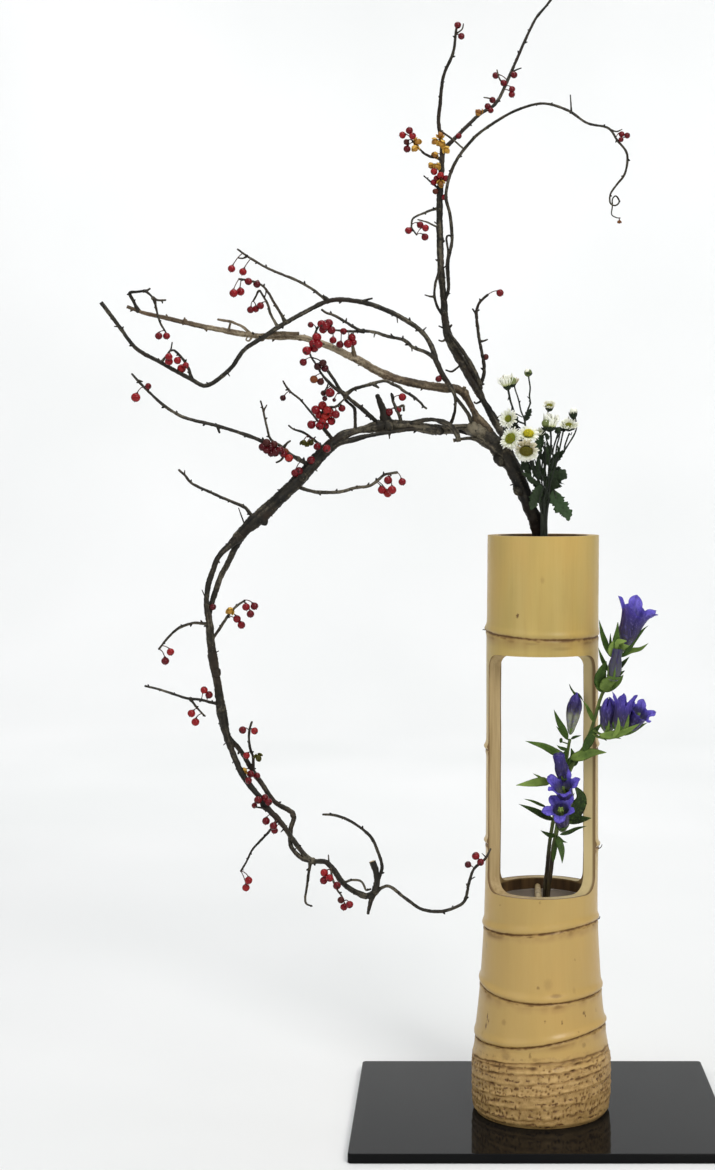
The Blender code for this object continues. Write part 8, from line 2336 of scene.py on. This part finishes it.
def gentian_flowers():
    mats = [GENTIAN, GENTIAN_LEAF, GENTIAN_STEM]

    def flower(name, build):
        p = Pool()
        build(p)
        p.piece("corolla_" + name, mats, "gentian_" + name, "violet_petal")

    def top(p):
        b, m = at(622.0, 649, -62), at(635.0, 615.5, -72)
        trumpet(p, b, m, 5.0, 10.4, 13.4, 15.0, 16, 52, 3, spin=0.25, plica=0.40, waist=0.55)
        calyx(p, b, unit(m - b), 8.4, 11.5, 9.0, 3, tone=0.80, opening=6, width=4.4, back=3.0)
        stamens(p, b, m, 1.0, 0.4, 4)
    flower("flower_top", top)

    def grey(p):
        b, m = at(613.2, 680, -71), at(617.6, 649.0, -75)
        shut_bud(p, b, m, 6.5, 4.6, 5, twist=0.35, tipped=0.72, peak=0.42, a0=0.05, a1=0.48, darker=-0.5)
        calyx(p, b, unit(m - b), 6.8, 6.0, 10.0, 5, tone=0.55, opening=8, width=2.4)
    flower("bud_grey", grey)

    def lefty(p):
        b, m = at(607.4, 731.0, -61), at(608.4, 708.5, -65)
        trumpet(p, b, m, 4.2, 7.8, 7.8, 13.0, -18, -52, 7, spin=0.9, waist=0.40, plica=0.24)
        calyx(p, b, unit(m - b), 7.4, 9.0, 4.6, 7, tone=0.46, opening=8, width=3.6)
    flower("flower_left", lefty)

    def middle(p):
        b, m = at(618.6, 731.0, -73), at(623.4, 708.0, -78)
        trumpet(p, b, m, 4.2, 7.6, 8.4, 13.5, -6, 14, 9, spin=0.2, waist=0.40, plica=0.30)
        calyx(p, b, unit(m - b), 7.4, 9.0, 4.6, 9, tone=0.46, opening=8, width=3.6)
    flower("flower_middle", middle)

    def right(p):
        b, m = at(626.5, 729.0, -63), at(639.6, 713.5, -75)
        trumpet(p, b, m, 4.2, 8.4, 9.0, 7.8, 14, 60, 11, spin=0.5, waist=0.42, plica=0.40, ruffle=0.16)
        calyx(p, b, unit(m - b), 7.8, 8.5, 5.0, 11, tone=0.46, opening=8, width=3.6)
        stamens(p, b, m, 0.9, 0.4, 5)
    flower("flower_right", right)

    def front(p):
        b, m = at(562.6, 829, -34), at(560.6, 809.0, -56)
        trumpet(p, b, m, 4.0, 7.4, 8.4, 9.6, 40, 94, 13, waist=0.5, plica=0.34, down=True)
        calyx(p, b, unit(m - b), 6.8, 11.0, 8.0, 13, tone=0.35, opening=12)
        stamens(p, b, m, 2.2, 1.0, 6)
    flower("flower_front", front)

    def low(p):
        b, m = at(568.5, 805, -36), at(563.0, 787.0, -52)
        trumpet(p, b, m, 3.6, 7.6, 9.4, 11.6, 10, 78, 17, waist=0.5, plica=0.36, ruffle=0.16, spin=0.5)
        calyx(p, b, unit(m - b), 6.4, 11.0, 8.0, 17, tone=0.3, opening=14)
        stamens(p, b, m, 1.2, 0.35, 7)
    flower("flower_low", low)

    def bud_low(p):
        b, m = at(564.6, 779.0, -40), at(558.2, 755.0, -49)
        shut_bud(p, b, m, 7.0, 5.6, 19, twist=0.3, tipped=0.80, peak=0.40, a0=0.25, a1=0.74, darker=0.05)
        calyx(p, b, unit(m - b), 6.6, 5.0, 8.0, 19, tone=0.4, opening=12, width=2.4)
    flower("bud_low", bud_low)

    def bud_left(p):
        b, m = at(570.4, 733, -24), at(576.6, 692.5, -30)
        shut_bud(p, b, m, 7.4, 2.2, 23, twist=1.2, tipped=0.16, peak=0.62, a0=-0.85, a1=1.0, darker=-0.05)
        calyx(p, b, unit(m - b), 3.8, 8.0, 12.0, 23, tone=0.6, opening=14, width=2.0)
        leaf(p, ((576.0, 695), (573.4, 692), (571.0, 688.4), (569.2, 683.8)), 2.6, -31, -34, 0.2, 1, "thread", rows=10)
        leaf(p, ((577.4, 693.5), (580.6, 697), (583.0, 701)), 2.6, -30, -33, 0.1, 1, "thread", rows=10)
    flower("bud_left", bud_left)

    def stem(p, rows, seed, sides=12):
        return cane(p, route(rows), sides, 2.0, rough=0.05, ridges=0.06, lump=0.06, seed=seed, start="cut", end="round", mat=2)

    # ---------------- the right-hand stem, its leaves and bracts
    p = Pool()
    line = stem(p, [(547.5, 905, -8, 2.0), (548.8, 886, -9, 2.1), (551, 869, -12, 2.1), (553, 851, -16, 2.3),
                    (556, 834, -20, 2.3), (561, 805, -24, 2.1), (568, 775, -30, 2.1), (577, 757, -34, 2.0),
                    (586, 744, -38, 1.9), (594, 721, -44, 1.8), (601, 697, -50, 1.7), (609, 681, -54, 1.6),
                    (616, 664, -57, 1.5), (622, 653, -60, 1.4)], 71)
    fine = smooth(route([(600, 735, -42, 1.2), (606, 735, -56, 1.2)]), 2)
    cane(p, route([(591, 732, -42, 1.3), (599, 737, -50, 1.3), (607.5, 734.5, -59, 1.4)]), 9, 2, seed=72, start="round", end="round", mat=2)
    cane(p, route([(592, 729, -43, 1.3), (604, 735.5, -56, 1.3), (618, 733, -71, 1.4)]), 9, 2, seed=73, start="round", end="round", mat=2)
    cane(p, route([(590, 734, -41, 1.3), (606, 738.5, -50, 1.3), (621, 735, -58, 1.3), (629, 730, -63, 1.4)]), 9, 2, seed=74, start="round", end="round", mat=2)
    cane(p, route([(606, 687, -53, 1.2), (611, 681, -64, 1.2), (613, 678, -70, 1.4)]), 9, 2, seed=75, start="round", end="round", mat=2)
    cane(p, route([(557, 824, -21, 1.4), (562, 824, -26, 1.4), (565, 822.5, -30, 1.5)]), 9, 2, seed=76, start="round", end="round", mat=2)
    cane(p, route([(562, 801, -25, 1.4), (566, 804, -29, 1.4), (569, 803.5, -33, 1.5)]), 9, 2, seed=77, start="round", end="round", mat=2)
    cane(p, route([(567, 780, -29, 1.2), (568, 780, -35, 1.2), (567, 778.5, -40, 1.3)]), 9, 2, seed=78, start="round", end="round", mat=2)
    for k, (spots, w, d0, d1, tn, shape) in enumerate((
            (((570.5, 758.5), (580, 756), (592, 752.5), (606.8, 752.4)), 10.5, -34, -46, 0.78, "lance"),
            (((583.5, 751), (588, 743), (594, 732), (602.2, 723.2)), 9.0, -40, -48, 0.34, "lance"),
            (((594, 722), (590, 713), (586.5, 706), (582.6, 700.6)), 4.6, -46, -50, 0.55, "lance"),
            (((606, 690), (601, 683.5), (601, 674), (606.5, 661)), 13.0, -53, -62, 0.40, "broad"),
            (((602.5, 691), (611, 686), (618.5, 681), (623.5, 674.6)), 9.0, -55, -63, 0.60, "lance"),
            (((604, 691), (607, 684), (613, 680), (619.5, 677.5)), 12, -56, -70, 0.86, "broad"),
            (((611, 657), (606, 645), (602, 633), (599, 619.5)), 6.0, -58, -64, 0.40, "lance"),
            (((609, 672), (604.5, 664), (601, 656), (598.3, 647.5)), 4.4, -56, -62, 0.35, "lance"),
            (((617, 655), (615.5, 645), (616.8, 634), (618.2, 622)), 7.0, -60, -67, 0.44, "lance"),
            (((613, 655), (610.6, 646), (610.4, 633)), 3.6, -58, -62, 0.35, "lance"),
            (((621, 657), (630, 651), (640, 649), (648.6, 643)), 5.4, -61, -68, 0.62, "lance"),
            (((620, 656), (617.0, 647), (617, 637), (617.5, 622)), 6.4, -72, -80, 0.46, "lance"),
            (((622, 657), (627.5, 651), (633, 642), (643, 630), (648.5, 625.5)), 5.0, -66, -76, 0.30, "lance"),
            (((612, 656), (613, 648), (618, 642), (627, 641)), 9.0, -72, -80, 0.92, "broad"),
            (((617, 670), (622, 664.5), (629.5, 656.5)), 4.6, -60, -68, 0.14, "lance"),
            (((614, 677), (619.5, 674), (625, 670.5)), 4.4, -58, -66, 0.12, "lance"),
            (((600.5, 735), (603.5, 738), (606.8, 741)), 2.6, -52, -56, 0.4, "thread"),
            (((606, 737), (614, 737), (621.6, 739)), 3.0, -52, -58, 0.5, "lance"),
            (((622, 735), (634, 729.5), (647.5, 722.5)), 5.4, -56, -68, 0.50, "lance"),
            (((602, 739), (606, 733), (608.5, 727), (609, 720)), 4.0, -68, -74, 0.7, "lance"),
            (((613, 737), (617, 731), (618.6, 724), (618.0, 717)), 4.6, -80, -86, 0.85, "lance"),
            (((621, 736), (625.5, 729), (627.5, 722), (629, 714)), 4.4, -78, -84, 0.66, "lance"),
            (((599.5, 735), (611, 735), (625, 731.5), (640, 723.5)), 8.0, -70, -86, 0.80, "lance"),
            (((568, 818), (577, 808), (581, 797), (574.5, 786)), 15.0, -26, -30, 0.06, "broad"),
            (((570, 806), (580, 806), (587, 803)), 12.0, -24, -28, 0.10, "broad"),
            (((564, 819.5), (574, 819.5), (583, 819), (591.5, 818)), 9.5, -24, -34, 0.05, "lance"),
            (((566, 812), (574, 815), (582, 814)), 12.0, -23, -27, 0.02, "broad"),
            
            (((553, 862), (554.2, 852), (556.5, 843), (559, 835)), 4.5, -16, -25, 0.24, "lance"),
            (((560, 834.5), (568, 832.5), (577, 828.5), (587, 826)), 4.2, -22, -32, 0.12, "lance"),
            (((557, 834.5), (551, 835.5), (546, 833.5), (540.4, 830.4)), 4.6, -20, -28, 0.20, "lance"),
            (((556, 836), (560.5, 846), (562, 854), (562.2, 863.5)), 7.0, -23, -32, 0.30, "lance"),
            (((557.5, 836), (562.5, 841), (567.5, 842.5)), 2.8, -22, -26, 0.3, "lance"),
            (((571, 766), (575.5, 761), (579.5, 755.5)), 6.5, -32, -38, 0.22, "lance"),
            (((597, 705), (600.5, 709), (600.0, 716)), 3.4, -48, -52, 0.22, "lance"))):
        leaf(p, spots, w, d0, d1, tn, 1, shape, seed=100 + k, up=(0.15, -1, 0.3))
    p.piece("gentian_greens_right", mats, "gentian_stem_right", "green_leaf")
    # ---------------- the left-hand stem
    p = Pool()
    stem(p, [(543.7, 905, -3, 1.9), (545, 886, -1, 1.9), (547, 869, 0, 1.9), (550, 840, -3, 1.9),
             (555, 812, -8, 1.9), (561, 786, -14, 1.8), (566, 762, -19, 1.7), (568.5, 747, -22, 1.6), (569.8, 740, -24, 1.5)], 81)
    nub(p, at(561, 740.4, -27), (0.1, -0.3, 1), 1.7, 2.6, 0.1, 1, 8, 10)
    cane(p, route([(569, 744, -22, 0.7), (564, 742.5, -25, 0.6), (561, 741.5, -27, 0.6)]), 7, 2, seed=82, start="round", end="round", mat=2)
    for k, (spots, w, d0, d1, tn, shape) in enumerate((
            (((566, 755.5), (556, 752.5), (543, 746), (525, 741)), 7.6, -22, -50, 0.50, "lance"),
            (((550, 783), (543, 781.5), (533, 783), (515.6, 785.4)), 9.0, -16, -44, 0.85, "lance"),
            (((548, 784), (543, 780), (538.5, 776.5), (532.6, 773.4)), 3.2, -16, -34, 0.7, "lance"),
            (((553.5, 820), (543, 815), (532, 809.5), (518.6, 804)), 6.6, -9, -40, 0.10, "lance"),
            (((546, 807), (539, 804), (532, 801), (523.4, 798.8)), 3.0, -12, -38, 0.45, "lance"),
            (((568, 738), (563.5, 730), (558.5, 721), (553.8, 709.4)), 6.4, -23, -32, 0.36, "lance"),
            (((568.5, 740), (562, 733), (556, 726)), 3.6, -23, -30, 0.34, "lance"),
            (((571, 739), (575, 737), (581.5, 735.4)), 2.8, -24, -30, 0.24, "lance"),
            (((568, 750), (561, 748), (556.6, 745)), 3.6, -22, -27, 0.3, "lance"),
            (((566.5, 768), (573, 758), (571, 748)), 8.0, -20, -25, 0.30, "broad"),
            (((566, 764), (563.5, 757), (567.5, 749)), 6.0, -21, -26, 0.40, "broad"))):
        leaf(p, spots, w, d0, d1, tn, 1, shape, seed=140 + k, up=(-0.15, -1, 0.3))
    p.piece("gentian_greens_left", mats, "gentian_stem_left", "green_leaf")


# ================================================================ kubari and water
def peeled_material():
    made, tree, shader = material("peeled_wood", srgb(206, 180, 124), 0.55, Specular_IOR_Level=0.35)
    grain = noise_out(tree, position(tree, (1, 1, 1)), 150.0, 4.0, 0.6, 0.4)
    colour_in(tree, shader, ramp(tree, grain, ((0.25, srgb(124, 98, 60)), (0.5, srgb(176, 154, 108)), (0.75, srgb(202, 184, 138)))))
    bump(tree, shader, grain, 0.25, 0.0003)
    return made


def water_material():
    made, tree, shader = material("still_water", srgb(112, 106, 94), 0.03, Specular_IOR_Level=0.5)
    slow = noise_out(tree, position(tree), 18.0, 2.0)
    colour_in(tree, shader, ramp(tree, slow, ((0.25, srgb(128, 119, 104)), (0.75, srgb(148, 138, 128)))))
    bump(tree, shader, noise_out(tree, position(tree), 40.0, 2.0), 0.05, 0.0006)
    return made


def kubari():
    wood = peeled_material()
    p = Pool()
    cane(p, np.array([[-3.4, -43, 217.8, 3.4], [-3.1, -20, 218.0, 3.25], [-2.8, 0, 217.7, 3.35], [-2.2, 22, 217.4, 3.1], [-1.6, 43, 217.4, 2.9]]), 20, 1.6,
         rough=0.04, ridges=0.02, lump=0.05, seed=1, start="cut", end="cut", cut_mat=1)
    p.piece("lower_bar", [wood, CUT_WOOD], "lower_kubari", "peeled_stick", 50)
    p = Pool()
    for k, line in enumerate(([(0, 43, 560), (0, 18, 560)], [(0, 22, 560), (-13, 6, 560), (-30, -31, 560)], [(0, 22, 560), (16, 6, 560), (30, -31, 560)])):
        r = 2.6 if k == 0 else 2.6 * 0.9
        cane(p, np.array([[*q, r] for q in line]), 18, 1.6, rough=0.04, ridges=0.02, lump=0.05, seed=4 + k, start="cut" if k == 0 else "round",
             end="round" if k == 0 else "cut", cut_mat=1)
    p.piece("upper_fork_stick", [wood, CUT_WOOD], "upper_kubari", "peeled_stick", 50)


def water():
    wet = water_material()
    for name, low, high, radius, foot, stems in (
            ("lower_water", 190.3, 214.0, 44.5, 9.0, (((547.3, 908, -8), (548.9, 883, -9), 2.9), ((543.5, 908, -3), (545.2, 883, -1), 2.7))),
            ("upper_water", 486.3, 540.0, 43.6, 0.0, (((540, 618, 4), (539, 565, 1.4), 9.2), ((547, 606, -13), (547, 560, -13), 2.3),
                                                     ((549.6, 606, -6), (549.6, 560, -6), 2.3), ((549.0, 606, 1), (549.3, 560, 1), 2.3)))):
        rings = []
        steps = 96
        prof = ([(radius - 5.5, low)] if foot else [(radius, low)]) + ([(radius, low + foot)] if foot else []) + [(radius, high + 0.8), (radius - 0.5, high + 0.35), (radius - 1.4, high + 0.08),
                (radius - 3, high), (radius * 0.75, high), (radius * 0.5, high), (radius * 0.25, high)]
        ang = np.arange(steps) / steps * 2 * math.pi
        rows = np.array([[[r * math.cos(t), r * math.sin(t), z] for t in ang] for r, z in prof])
        p = Pool()
        p.loft(rows, (True, True), 0.5, 0.5, 0)
        obj = p.piece(name.replace("water", "pool"), [wet], name, "water", 35)
        for i, (a, b, r) in enumerate(stems):
            hole = Pool()
            cane(hole, np.array([[*at(*a), r], [*at(*b), r]]), 20, 6.0, rough=0, ridges=0, lump=0)
            mesh = bpy.data.meshes.new("hole")
            verts = np.concatenate(hole.v) * MM
            faces = [list(map(int, f)) for f in np.concatenate(hole.q)] + [list(map(int, f)) for f in np.concatenate(hole.t)]
            mesh.from_pydata([tuple(v) for v in verts], [], faces)
            tool = bpy.data.objects.new("hole", mesh)
            bpy.context.scene.collection.objects.link(tool)
            cut = obj.modifiers.new("hole", "BOOLEAN")
            cut.operation, cut.object, cut.solver = "DIFFERENCE", tool, "EXACT"
            bpy.context.view_layer.update()
            made = bpy.data.meshes.new_from_object(obj.evaluated_get(bpy.context.evaluated_depsgraph_get()))
            obj.modifiers.clear()
            old = obj.data
            obj.data = made
            bpy.data.meshes.remove(old)
            bpy.data.objects.remove(tool)
        obj.data.set_sharp_from_angle(angle=math.radians(35))


mums()
gentian_flowers()
kubari()
water()
